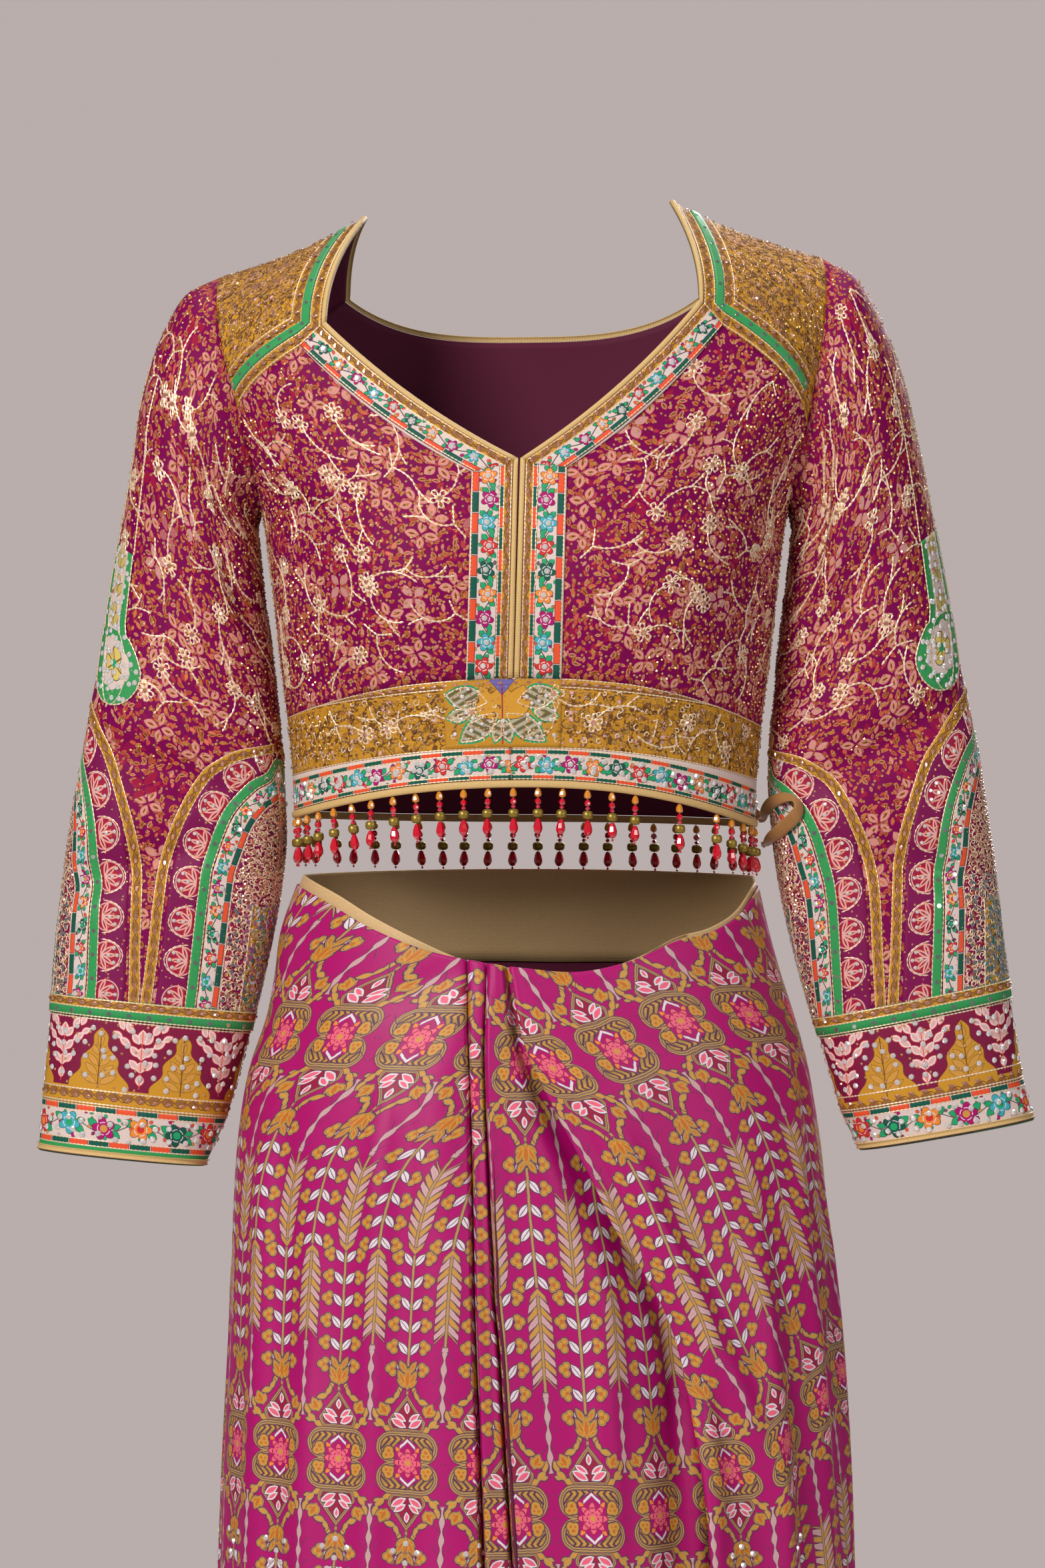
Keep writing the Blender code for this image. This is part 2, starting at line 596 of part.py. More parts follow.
def back_flat():
    """The back panel in (angle, z), from the viewer's right side seam round behind to the left one."""
    tip = on_body([BACK_YOKE_TIP], behind=True)[0]
    inset_corner = toward(BACK_NECK_CORNER, BACK_YOKE_TIP, PIPING_WIDTH + 2 * SEAM)
    corner = on_body([inset_corner], behind=True)[0]
    low = BACK_NECK_LOW - PIPING_WIDTH - 2 * SEAM
    hole = run(list(BACK_ARMHOLE) + [tuple(tip)], ARMHOLE_ROWS)
    halves = []
    for bottom in (BAND_TOP[2], BAND_TOP[1]):
        seam = run([(90.0, bottom), (90.0, UNDERARM)], SEAM_ROWS)
        halves.append([joined(seam, hole)])
        for angle in (corner[0], (corner[0] + 180) / 2):
            halves[-1].append(run([(angle, bottom), (angle, corner[1])], PANEL_ROWS))
    centre = run([(180.0, BAND_TOP[2]), (180.0, corner[1])], PANEL_ROWS)
    mirrored = [np.stack([360 - g[:, 0], g[:, 1]], axis=1) for g in reversed(halves[1])]
    flat = stand_on(across(halves[0] + [centre] + mirrored, BACK_STEPS), BAND_TOP)
    share = np.linspace(0, 1, len(flat))[:, None]
    neck = np.clip(np.abs(180 - flat[-1, :, 0]) / (180 - corner[0]), 0, 1) ** BACK_NECK_POWER
    flat[..., 1] -= share**2 * (1 - neck) * (corner[1] - low)
    return flat


def build_back():
    flat = back_flat()
    whole = torso(flat[..., 0], flat[..., 1])
    normals = surface_normals(torso, flat[..., 0], flat[..., 1])
    panel = inset(whole, rows=(SEAM / 2, SEAM / 2), cols=(SEAM / 2, SEAM / 2))
    add_wall("back", panel, "magenta_embroidered", normals=normals)
    return flat, whole, normals


# Shoulder yokes
YOKE_FRONT = 4
YOKE_BACK = 4


def bend(a, b, c, count):
    """count + 1 points of the curve from a to c that b pulls."""
    t = np.linspace(0, 1, count + 1)[:, None]
    return (1 - t) ** 2 * a + 2 * t * (1 - t) * b + t**2 * c


def split(points, parts):
    """The line with each of its spans cut in equal parts."""
    spans = [points[:-1] + (points[1:] - points[:-1]) * k / parts for k in range(parts)]
    mixed = np.stack(spans, axis=1).reshape(-1, 3)
    return np.concatenate([mixed, points[-1:]])


def yoke_grid(side, front, back):
    """The yoke's points between the panels' seams. Rows run from the neck to the armhole."""
    steps = np.linalg.norm(np.diff(front, axis=0), axis=1)
    share = np.concatenate([[0], np.cumsum(steps)]) / steps.sum()
    neck = toward(NECK_POINT[side], SHOULDER_POINT[side], PIPING_WIDTH + 2 * SEAM)
    rows = []
    for i, u in enumerate(share):
        ridge = neck * (1 - u) + np.array(SHOULDER_POINT[side]) * u
        ridge[2] -= 4 * RIDGE_SAG * u * (1 - u)
        swell = np.array(NECK_SWELL[side]) * (1 - u) + np.array(TIP_SWELL[side]) * u
        behind = np.array(BACK_NECK_SWELL) * (1 - u) + np.array(BACK_TIP_SWELL) * u
        behind = behind * (side, 1, 1)
        rows.append(joined(bend(front[i], swell, ridge, YOKE_FRONT), bend(ridge, behind, back[i], YOKE_BACK)))
    return np.array(rows)


def band_columns(grid, strips):
    """The yoke's grid with two more columns beside its front seam, at these distances from it."""
    way = grid[:, 1] - grid[:, 0]
    way /= np.linalg.norm(way, axis=1, keepdims=True)
    added = [grid[:, 0] + way * distance for distance in strips]
    return np.concatenate([grid[:, :1]] + [a[:, None] for a in added] + [grid[:, 1:]], axis=1)


def build_yoke(side, front, back, front_normals, back_normals):
    """The yoke, and the green ribbon laid along its neck edge and its front seam."""
    word = side_name(side)
    whole = yoke_grid(side, front, back)
    strips = [row[1] for row in FRONT_STRIPS[1:3]]
    banded = band_columns(whole, strips)
    normals = grid_normals(banded) * -side
    normals[:, 0], normals[:, -1] = front_normals, back_normals
    panel = inset(banded, rows=(0, SEAM), cols=(SEAM / 2, SEAM / 2))
    add_wall("yoke_" + word, panel, "gold_yoke", normals=normals)
    rows, cols = banded.shape[0] - 1, banded.shape[1] - 1
    cells = [(1, j) for j in range(1, cols)] + [(i, 1) for i in range(2, rows)]
    ribbon = inset(banded, rows=(0, 2 * SEAM), cols=(SEAM / 2, 3 * BORDER))
    add_wall("yoke_band_" + word, ribbon, "green_band", LAID_GAP, LAID_GAP + BORDER, normals=normals, cells=cells)
    return whole, banded, normals


def build_collar_piping(yokes, back, back_normals):
    """The piping that closes the neck over both yokes and round the back."""
    between = slice(BACK_YOKE_STEPS + 1, -BACK_YOKE_STEPS - 1)
    right, left = yokes[1], yokes[-1]
    edge = np.concatenate([right[1][0], back[-1, between], left[1][0, ::-1]])
    beside = np.concatenate([right[1][1], back[-2, between], left[1][1, ::-1]])
    ups = np.concatenate([right[2][0], back_normals[-1, between], left[2][0, ::-1]])
    edge_piping("collar_piping", edge, beside, ups, "cream_piping")


# Sleeves and cuffs
SLEEVE_SIDES = YOKE_FRONT + YOKE_BACK + 2 * ARMHOLE_ROWS


def ring(row):
    """One ring of a sleeve: from its outer point over the front to its inner point and back behind."""
    outer_x, outer_z, inner_x, inner_z, front, back = row
    outer, inner = np.array([outer_x, 0, outer_z]), np.array([inner_x, 0, inner_z])
    centre, half = (outer + inner) / 2, (outer - inner) / 2
    turn = np.linspace(0, 2 * math.pi, SLEEVE_SIDES + 1)
    s, c = np.sin(turn), np.cos(turn)
    power = 2 / SLEEVE_SQUARENESS
    depth = -np.where(s > 0, front, back) * np.sign(s) * np.abs(s) ** power
    reach = np.sign(c) * np.abs(c) ** power
    return centre + reach[:, None] * half + depth[:, None] * np.array([0, 1, 0])


def armhole_loop(side, front, back, yoke):
    """The panels' and the yoke's own edge points round the armhole, in the order of a sleeve's ring."""
    top = yoke[-1]
    front_edge_points = front[SEAM_ROWS:, -1][::-1]
    back_edge_points = back[SEAM_ROWS:, 0 if side > 0 else -1]
    return joined(top[: YOKE_FRONT + 1][::-1], front_edge_points, back_edge_points, top[YOKE_FRONT:][::-1])


def sleeve_rings(side, loop):
    """Rings spaced evenly down the sleeve, the first at the armhole."""
    rings = np.array([loop] + [ring(row) for row in SLEEVE[side]])
    steps = np.linalg.norm(np.diff(rings.mean(axis=1), axis=0), axis=1)
    along = np.concatenate([[0], np.cumsum(steps)])
    even = np.linspace(EVEN_RINGS_START, along[-1], SLEEVE_RINGS + 1 - len(FIRST_RINGS))
    at = np.concatenate([FIRST_RINGS, even])
    flat = rings.reshape(len(rings), -1)
    smoothed = np.stack([smooth(along, flat[:, k], at) for k in range(flat.shape[1])], axis=1)
    return smoothed.reshape(len(at), -1, 3)


def tube_between(rows, count):
    a, b = ring(rows[0]), ring(rows[1])
    t = np.linspace(0, 1, count + 1)[:, None, None]
    return a * (1 - t) + b * t


def tube_normals(grid):
    normals = grid_normals(grid, around=True)
    middle = grid[:, :-1].mean(axis=1, keepdims=True)
    return normals * np.sign(((grid - middle) * normals).sum(axis=2).mean())


def build_sleeve(side, loop):
    word = side_name(side)
    grid = sleeve_rings(side, loop)
    folds = [row for row in SLEEVE_CREASES if row[0] * side > 0]
    normals = tube_normals(grid)
    push = fold_push(grid, normals, folds, -1) + fold_push(grid, normals, folds, 1)
    grid[1:] += (normals * push[..., None])[1:]
    normals = tube_normals(grid)
    whole = inset(grid, rows=(SEAM, SEAM / 2))
    add_wall("sleeve_" + word, whole, "magenta_embroidered", around=True, normals=normals)
    last = whole[-2:]
    t = 1 - CUFF_TRIM_LENGTH / np.linalg.norm(last[1].mean(axis=0) - last[0].mean(axis=0))
    trim = inset(np.array([last[0] * (1 - t) + last[1] * t, last[1]]), rows=(0, SEAM))
    ups = np.array([normals[-2] * (1 - t) + normals[-1] * t, normals[-1]])
    add_wall("cuff_trim_" + word, trim, "green_band", LAID_GAP, LAID_GAP + BORDER, around=True, normals=ups)
    band = inset(tube_between(CUFF_BAND[side], 2), rows=(SEAM / 2, SEAM / 2))
    add_wall("cuff_band_" + word, band, "magenta_embroidered", around=True, normals=tube_normals(band))
    border = inset(tube_between(CUFF_BORDER[side], 2), rows=(SEAM / 2, CUFF_PIPING + SEAM))
    ups = tube_normals(border)
    add_wall("cuff_border_" + word, border, "floral_border", around=True, normals=ups)
    end = ring(CUFF_BORDER[side][1])
    way = end - border[-1]
    way /= np.linalg.norm(way, axis=1, keepdims=True)
    lip = np.array([border[-1] + way * SEAM, end])
    doubled = np.array([ups[-1], ups[-1]])
    add_wall("cuff_piping_" + word, lip, "cream_piping", PIPING_PROUD - PIPING_WALL, PIPING_PROUD, around=True,
             normals=doubled)


# Bands round the blouse's lower edge
BAND_ROWS = 2


def build_bands(fronts, back):
    """The gold band and the floral border, in columns that match the panels' lowest rows."""
    middle = float(angle_at(centre_x(BORDER_TOP[0]), BORDER_TOP[0]))
    stretches = (
        ("front_left", np.append(fronts[-1][0, ::-1, 0], middle)),
        ("front_right", np.insert(fronts[1][0, :, 0], 0, middle)),
        ("back", back[0, :, 0]),
    )
    for name, top, bottom, lift, material in (
        ("hem_band", BAND_TOP, BORDER_TOP, 0.0, "gold_yoke"),
        ("hem_border", BORDER_TOP, HEM, HEM_PIPING, "floral_border"),
    ):
        for where, angles in stretches:
            t = np.linspace(0, 1, BAND_ROWS + 1)[:, None]
            z = (edge_height(bottom, angles) + lift) * (1 - t) + edge_height(top, angles) * t
            around = np.broadcast_to(angles, z.shape)
            normals = surface_normals(torso, around, z)
            grid = inset(torso(around, z), rows=(SEAM / 2, SEAM / 2), cols=(SEAM / 2, SEAM / 2))
            add_wall(name + "_" + where, grid, material, normals=normals)


def strand_angles(first, last):
    """Angles of strand roots, one pitch apart along the hem."""
    angles = np.linspace(first, last, HEM_SAMPLES)
    line = torso(angles, edge_height(HEM, angles))
    along = np.concatenate([[0], np.cumsum(np.linalg.norm(np.diff(line, axis=0), axis=1))])
    count = int(along[-1] / STRAND_PITCH)
    spare = (along[-1] - count * STRAND_PITCH) / 2
    places = spare + STRAND_PITCH * (np.arange(count) + 0.5)
    half = STRAND_ROOT / 2
    near = np.interp(places, along, angles)
    turn = half / STRAND_PITCH * (near[1] - near[0])
    return near, turn


def fringe_strip(name, first, last, missing):
    """The hem's piping with its strands of beads, which grow from the strip's lower face."""
    near, turn = strand_angles(first, last)
    roots = [a for k, a in enumerate(near) if k not in missing]
    angles = np.array(sorted([first, last] + [a - turn for a in roots] + [a + turn for a in roots]))
    low = edge_height(HEM, angles)
    around, heights = np.array([angles, angles]), np.array([low, low + HEM_PIPING - SEAM])
    normals = surface_normals(torso, around, heights)
    grid = inset(torso(around, heights), cols=(SEAM, SEAM))
    outer, inner = grid + normals * PIPING_PROUD, grid + normals * (PIPING_PROUD - PIPING_WALL)
    points = [tuple(p) for p in np.concatenate([outer.reshape(-1, 3), inner.reshape(-1, 3)])]
    cols = len(angles)
    faces = wall_faces([(0, j) for j in range(cols - 1)], cols, 2 * cols)
    for root in roots:
        j = int(np.argmin(np.abs(angles - (root - turn))))
        base = [j, j + 1, 2 * cols + j + 1, 2 * cols + j]
        faces = [f for f in faces if set(f) != set(base)]
        centre = np.mean([points[k] for k in base], axis=0)
        ways = [np.array(points[k]) - centre for k in base]
        ways = [w / np.linalg.norm(w * (1, 1, 0)) * (1, 1, 0) for w in ways]
        previous = base
        for drop, radius in STRAND:
            level = [len(points) + k for k in range(4)]
            points += [tuple(centre + w * radius - np.array([0, 0, drop])) for w in ways]
            faces += [(previous[k], previous[(k + 1) % 4], level[(k + 1) % 4], level[k]) for k in range(4)]
            previous = level
        faces.append(tuple(previous))
    add_mesh(name, points, faces, "beads")


# The wound saree
def drape_surface(angle, z):
    """Points of the saree's outer face before its folds."""
    left, right, front, back, power = [from_table(DRAPE, DRAPE_COLUMNS, n, z) for n in DRAPE_COLUMNS[1:]]
    s, c = np.sin(np.radians(angle)), np.cos(np.radians(angle))
    x = np.where(s < 0, left, right) * np.sign(s) * np.abs(s) ** (2 / power)
    y = -np.where(c > 0, front, back) * np.sign(c) * np.abs(c) ** (2 / power)
    return np.stack([x, y, z], axis=-1)


def drape(angle, z, depth, share=1.0):
    """Points of the saree's cloth: its outer face with this share of the soft folds, moved in by depth."""
    points = drape_surface(angle, z)
    normals = surface_normals(drape_surface, angle, z)
    push = fold_push(points, normals, DRAPE_CREASES, -1) + fold_push(points, normals, BACK_DRAPE_CREASES, 1)
    return points + normals * (push * share - depth)[..., None]


def drape_angle(x, z):
    half = np.where(x < 0, from_table(DRAPE, DRAPE_COLUMNS, "left", z), from_table(DRAPE, DRAPE_COLUMNS, "right", z))
    power = from_table(DRAPE, DRAPE_COLUMNS, "squareness", z)
    return np.sign(x) * np.degrees(np.arcsin(np.clip(np.abs(x) / half, 0, 1) ** (power / 2)))


def waist_height(angle):
    """The height of the saree's upper edge at an angle."""
    angle = np.asarray(angle, float)
    x = WAIST_HALF_WIDTH * np.sin(np.radians(angle))
    in_front = from_table(WAIST_FRONT, WAIST_COLUMNS, "height", x, key="place")
    s = np.abs(np.sin(np.radians(angle)))
    side = from_table(WAIST_FRONT, WAIST_COLUMNS, "height", WAIST_HALF_WIDTH * np.sign(x), key="place")
    behind = side + (WAIST_BACK - side) * (1 - s**2)
    return np.where(np.cos(np.radians(angle)) > 0, in_front, behind)


DRAPE_ROWS = 14
ROW_POWER = 1.35
SIDE_STEPS = 8
BACK_DRAPE_STEPS = 16


def fold_columns(z):
    """Across the saree's front at a height: each column's place and depth, for each stretch in turn."""
    left, right, swag = [float(from_table(FOLDS, FOLD_COLUMNS, n, z)) for n in FOLD_COLUMNS[1:]]
    over, proud, recess, gap, deep = [float(from_table(SWAG, SWAG_COLUMNS, n, z)) for n in SWAG_COLUMNS[1:]]
    start = right + gap + EDGE_SINK
    face = swag - start
    middle = LAYER_MIDDLE - proud
    top_turn = LAYER_MIDDLE / 2
    under_turn = (LAYER_UNDER - middle) / 2
    return {
        "drape_left": (
            (left - LIP, 0.0),
            (left - EDGE_SINK, EDGE_SINK),
            (left + 0.25 * gap, 0.5 * deep),
            (left + 0.5 * gap, deep),
        ),
        "drape_pleat": (
            (left + 0.5 * gap, deep),
            (left + 0.75 * gap, 0.5 * deep),
            (left + gap + EDGE_SINK, EDGE_SINK),
            (0.5 * (left + gap + right), 0.0),
            (right - EDGE_SINK, EDGE_SINK),
            (right + 0.25 * gap, 0.5 * deep),
            (right + 0.5 * gap, deep),
        ),
        "drape_centre": (
            (right + 0.5 * gap, deep),
            (right + 0.75 * gap, 0.5 * deep),
            (start, EDGE_SINK),
            (start + LIP, 0.0),
            (start + FACE_SHARES[0] * face, 0.0),
            (start + FACE_SHARES[1] * face, RECESS_SHARES[0] * recess),
            (start + FACE_SHARES[2] * face, recess),
            (swag + top_turn, RECESS_SHARES[1] * recess + (1 - RECESS_SHARES[1]) * LAYER_UNDER),
            (swag + 0.5 * over, LAYER_UNDER),
        ),
        "drape_right": (
            (swag + 0.5 * over, LAYER_UNDER),
            (swag + over, LAYER_UNDER),
            (swag + over + under_turn, LAYER_UNDER - under_turn),
            (swag + over, middle),
            (swag + 0.5 * over, middle),
            (swag + top_turn, middle),
            (swag, middle - top_turn),
            (swag + top_turn, -proud),
            (swag + 0.5 * over, -proud),
            (swag + over, -proud),
            (swag + FLAP_REACH * over, -FLAP_PROUD * proud),
        ),
    }


def hanging_share():
    """How far down each row lies, from 1 at the hem to 0 at the waist."""
    return (1 - np.linspace(0, 1, DRAPE_ROWS + 1)) ** ROW_POWER


def drape_part(name):
    """One stretch of the saree's front, rows from hem to waist: its points, their angles and their heights."""
    rows = []
    for share in hanging_share():
        height = WAIST_MIDDLE + (DRAPE_BOTTOM - WAIST_MIDDLE) * share
        places, depths = np.array(fold_columns(height)[name]).T
        angles = drape_angle(places, np.full(len(places), height))
        if name == "drape_left":
            angles = np.concatenate([np.linspace(-90, angles[0], SIDE_STEPS + 1)[:-1], angles])
            depths = np.concatenate([np.zeros(SIDE_STEPS), depths])
        if name == "drape_right":
            fade = depths[-1] * np.linspace(1, 0, SIDE_STEPS + 1)[1:] ** 2
            angles = np.concatenate([angles, np.linspace(angles[-1], 90, SIDE_STEPS + 1)[1:]])
            depths = np.concatenate([depths, fade])
        top = waist_height(angles)
        rows.append((angles, top + (DRAPE_BOTTOM - top) * share, depths))
    angles, heights, depths = np.array(rows).transpose(1, 0, 2)
    return drape(angles, heights, depths), angles, heights


def build_drape():
    stretches = (("drape_left", (0,)), ("drape_pleat", ()), ("drape_centre", (-1,)), ("drape_right", (0, -1)))
    for name, smooth_edges in stretches:
        grid, angles, heights = drape_part(name)
        normals = grid_normals(grid)
        for col in smooth_edges:
            normals[:, col] = surface_normals(drape_surface, angles[:, col], heights[:, col])
        grid = inset(grid, cols=(SEAM / 2, SEAM / 2))
        add_wall(name, grid, "magenta_print", normals=normals)
    angles = np.linspace(90, 270, BACK_DRAPE_STEPS + 1)
    top = waist_height(angles)
    z = top + (DRAPE_BOTTOM - top) * hanging_share()[:, None]
    around = np.broadcast_to(angles, z.shape)
    grid = drape(around, z, np.zeros(z.shape))
    normals = grid_normals(grid)
    for col in (0, -1):
        normals[:, col] = surface_normals(drape_surface, around[:, col], z[:, col])
    grid = inset(grid, cols=(SEAM / 2, SEAM / 2))
    add_wall("drape_back", grid, "magenta_print", normals=normals)


def build_tape():
    """The plain tape inside the waist, which shows above the cloth's edge."""
    angles = np.linspace(-180, 180, TAPE_STEPS + 1)
    place = WAIST_HALF_WIDTH * np.sin(np.radians(angles))
    show = from_table(TAPE_SHOW, TAPE_COLUMNS, "show", place, key="place")
    show = np.where(np.cos(np.radians(angles)) > 0, show, TAPE_SHOW[0][1])
    in_front = np.clip(TAPE_TURN * np.cos(np.radians(angles)), 0, 1)
    at_folds = in_front * np.exp(-(((place - TAPE_FOLDS[0]) / TAPE_FOLDS[1]) ** 4))
    depth = TAPE_DEPTH["back"] * (1 - in_front) + TAPE_DEPTH["front"] * in_front
    depth += (TAPE_DEPTH["folds"] - TAPE_DEPTH["front"]) * at_folds
    top = waist_height(angles)
    lap = TAPE_LAP["plain"] + (TAPE_LAP["folds"] - TAPE_LAP["plain"]) * at_folds
    heights = (top + (DRAPE_BOTTOM - top) * hanging_share()[-2], top - lap, top + show)
    rows = [drape(angles, height, depth, 1 - at_folds) for height in heights]
    add_wall("waist_tape", np.array(rows), "waist_tape", low=-TAPE_WALL, around=True)


def build_ribbon():
    """The tie's loop beside the right hem, and its knot."""
    line = np.array([row[:3] for row in RIBBON])
    lean = np.radians(np.array([row[3] for row in RIBBON]))
    way = np.gradient(line, axis=0)
    way /= np.linalg.norm(way, axis=1, keepdims=True)
    flat = np.cross(way, np.array([0, 1.0, 0]))
    flat /= np.linalg.norm(flat, axis=1, keepdims=True)
    over = flat * np.cos(lean)[:, None] + np.array([0, 1.0, 0]) * np.sin(lean)[:, None]
    half = RIBBON_WIDTH / 2
    grid = np.stack([line - over * half, line + over * half], axis=1)
    add_wall("tie_loop", grid, "ribbon", low=-RIBBON_WALL)
    shape = bmesh.new()
    bmesh.ops.create_icosphere(shape, subdivisions=2, radius=KNOT_RADIUS)
    mesh = bpy.data.meshes.new("tie_knot")
    shape.to_mesh(mesh)
    shape.free()
    mesh.materials.append(material_of("ribbon"))
    knot = bpy.data.objects.new("tie_knot", mesh)
    knot.location = KNOT
    bpy.context.scene.collection.objects.link(knot)


def main():
    for old in list(bpy.data.objects):
        bpy.data.objects.remove(old)
    back_places, back, back_normals = build_back()
    fronts = {}
    yokes = {}
    for side in (-1, 1):
        fronts[side], front, normals = build_front(side)
        on_seam = slice(BACK_YOKE_STEPS, None, -1) if side > 0 else slice(-BACK_YOKE_STEPS - 1, None)
        parts = (front.shape[1] - 1) // BACK_YOKE_STEPS
        seam, ups = split(back[-1, on_seam], parts), split(back_normals[-1, on_seam], parts)
        yokes[side] = build_yoke(side, front[-1], seam, normals[-1], ups)
        build_sleeve(side, armhole_loop(side, front, back, yokes[side][0]))
    build_collar_piping(yokes, back, back_normals)
    build_bands(fronts, back_places)
    fringe_strip("fringe_front", -90.0, 90.0, MISSING_STRANDS)
    fringe_strip("fringe_back", 90.0, 270.0, ())
    build_drape()
    build_tape()
    build_ribbon()


main()
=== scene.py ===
"""The looks of the two-piece saree outfit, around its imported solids.

Every cloth piece is a thin wall on the surface that its solid has, worked out from the same tables at a finer
step. Prints and woven borders are drawn by the materials in millimetres of cloth. Threads, stones and beads are
modelled.
"""

import math

import bpy
import mathutils
import mathutils.kdtree
import numpy as np
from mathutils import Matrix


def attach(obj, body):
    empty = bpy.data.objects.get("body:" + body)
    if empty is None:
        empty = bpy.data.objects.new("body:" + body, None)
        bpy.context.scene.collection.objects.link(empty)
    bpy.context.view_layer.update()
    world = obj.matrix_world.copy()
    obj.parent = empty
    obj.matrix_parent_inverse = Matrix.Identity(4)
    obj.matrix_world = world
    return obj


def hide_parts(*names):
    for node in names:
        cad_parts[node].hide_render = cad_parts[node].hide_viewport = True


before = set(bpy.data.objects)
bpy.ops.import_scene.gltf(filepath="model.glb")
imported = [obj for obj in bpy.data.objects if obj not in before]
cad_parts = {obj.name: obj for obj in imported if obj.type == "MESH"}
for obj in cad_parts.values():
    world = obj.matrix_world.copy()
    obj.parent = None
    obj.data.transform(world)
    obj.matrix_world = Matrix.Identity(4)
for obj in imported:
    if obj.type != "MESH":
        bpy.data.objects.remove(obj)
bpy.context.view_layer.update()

# How much finer than the solids the cloth is
FINE = 4

# Cloth and seams
CLOTH = 0.0012
BORDER = 0.0010
SEAM = 0.0003
LAID_GAP = 0.0003
PIPING_WIDTH = 0.0034
PIPING_WALL = 0.0020
PIPING_PROUD = 0.0004
PIPING_RISE = 0.0010
PIPING_STEPS = 6
LAID_TOP = LAID_GAP + BORDER
# Where the lower and upper faces lie, of a border laid on a panel and of a piping
LAID = {"low": LAID_GAP, "high": LAID_TOP}
PIPED = {"low": PIPING_PROUD - PIPING_WALL, "high": PIPING_PROUD}

# The blouse body below the shoulders, as level sections
TORSO_COLUMNS = ("height", "half_width", "front", "back", "squareness")
TORSO = (
    (0.050, 0.1440, 0.104, 0.090, 2.20),
    (0.090, 0.1445, 0.105, 0.091, 2.20),
    (0.125, 0.1470, 0.108, 0.093, 2.20),
    (0.150, 0.1500, 0.111, 0.095, 2.20),
    (0.175, 0.1530, 0.113, 0.097, 2.20),
    (0.204, 0.1560, 0.115, 0.101, 2.25),
    (0.230, 0.1590, 0.116, 0.103, 2.30),
    (0.262, 0.1640, 0.115, 0.105, 2.35),
    (0.300, 0.1780, 0.108, 0.106, 2.50),
    (0.340, 0.1940, 0.098, 0.104, 2.60),
    (0.380, 0.1990, 0.087, 0.099, 2.60),
    (0.410, 0.1990, 0.079, 0.092, 2.60),
)
BUST_RISE = 0.020
BUST_X = 0.083
BUST_Z = 0.208
BUST_REACH_X = 0.046
BUST_REACH_Z = 0.046
TILT_HEIGHTS = (0.06, 0.41)
TILT_SLOPES = (0.0, 0.010)

# The middle of the front, which stands a little to one side
CENTRE_HEIGHTS = (0.060, 0.300)
CENTRE_PLACES = (-0.0100, -0.0035)

# Neck, yoke and armhole points on the body: side -1 is the viewer's left
V_POINT = (-0.0034, 0.2923)
V_SAG = 0.006
NECK_CORNER = {-1: (-0.1217, 0.3780), 1: (0.1066, 0.3894)}
YOKE_TIP = {-1: (-0.1775, 0.3260), 1: (0.1740, 0.3135)}
NECK_POINT = {-1: (-0.0985, 0.004, 0.4480), 1: (0.0905, 0.004, 0.4580)}
SHOULDER_POINT = {-1: (-0.1900, 0.004, 0.4105), 1: (0.1855, 0.004, 0.4225)}
RIDGE_SAG = 0.0035
NECK_SWELL = {-1: (-0.1255, -0.0657, 0.4120), 1: (0.1120, -0.0657, 0.4200)}
TIP_SWELL = {-1: (-0.1963, -0.0519, 0.3915), 1: (0.1925, -0.0519, 0.4000)}
BACK_NECK_CORNER = (0.1120, 0.4050)
BACK_NECK_LOW = 0.3800
BACK_NECK_POWER = 2.4
BACK_YOKE_TIP = (0.1760, 0.3450)
BACK_NECK_SWELL = (0.1150, 0.0620, 0.4330)
BACK_TIP_SWELL = (0.1960, 0.0560, 0.3950)
UNDERARM = 0.262
# Columns: angle, height
ARMHOLE = ((90.0, 0.262), (81.0, 0.270), (73.0, 0.292), (68.5, 0.316))
BACK_ARMHOLE = ((90.0, 0.262), (99.0, 0.272), (107.0, 0.296), (112.0, 0.325))

# Edges that run round the body: height in front, at the viewer's left and at the viewer's right
# Columns: front, left, right
BAND_TOP = (0.1580, 0.1346, 0.1287)
BORDER_TOP = (0.1150, 0.0985, 0.0955)
HEM = (0.0917, 0.0725, 0.0667)
HEM_PIPING = 0.0045
EDGE_POWER = 2.0

# Borders laid on the front
# Columns: placket, neck
FRONT_STRIPS = ((0.0040, 0.0040), (0.0100, 0.0095), (0.0195, 0.0155), (0.0290, 0.0215))

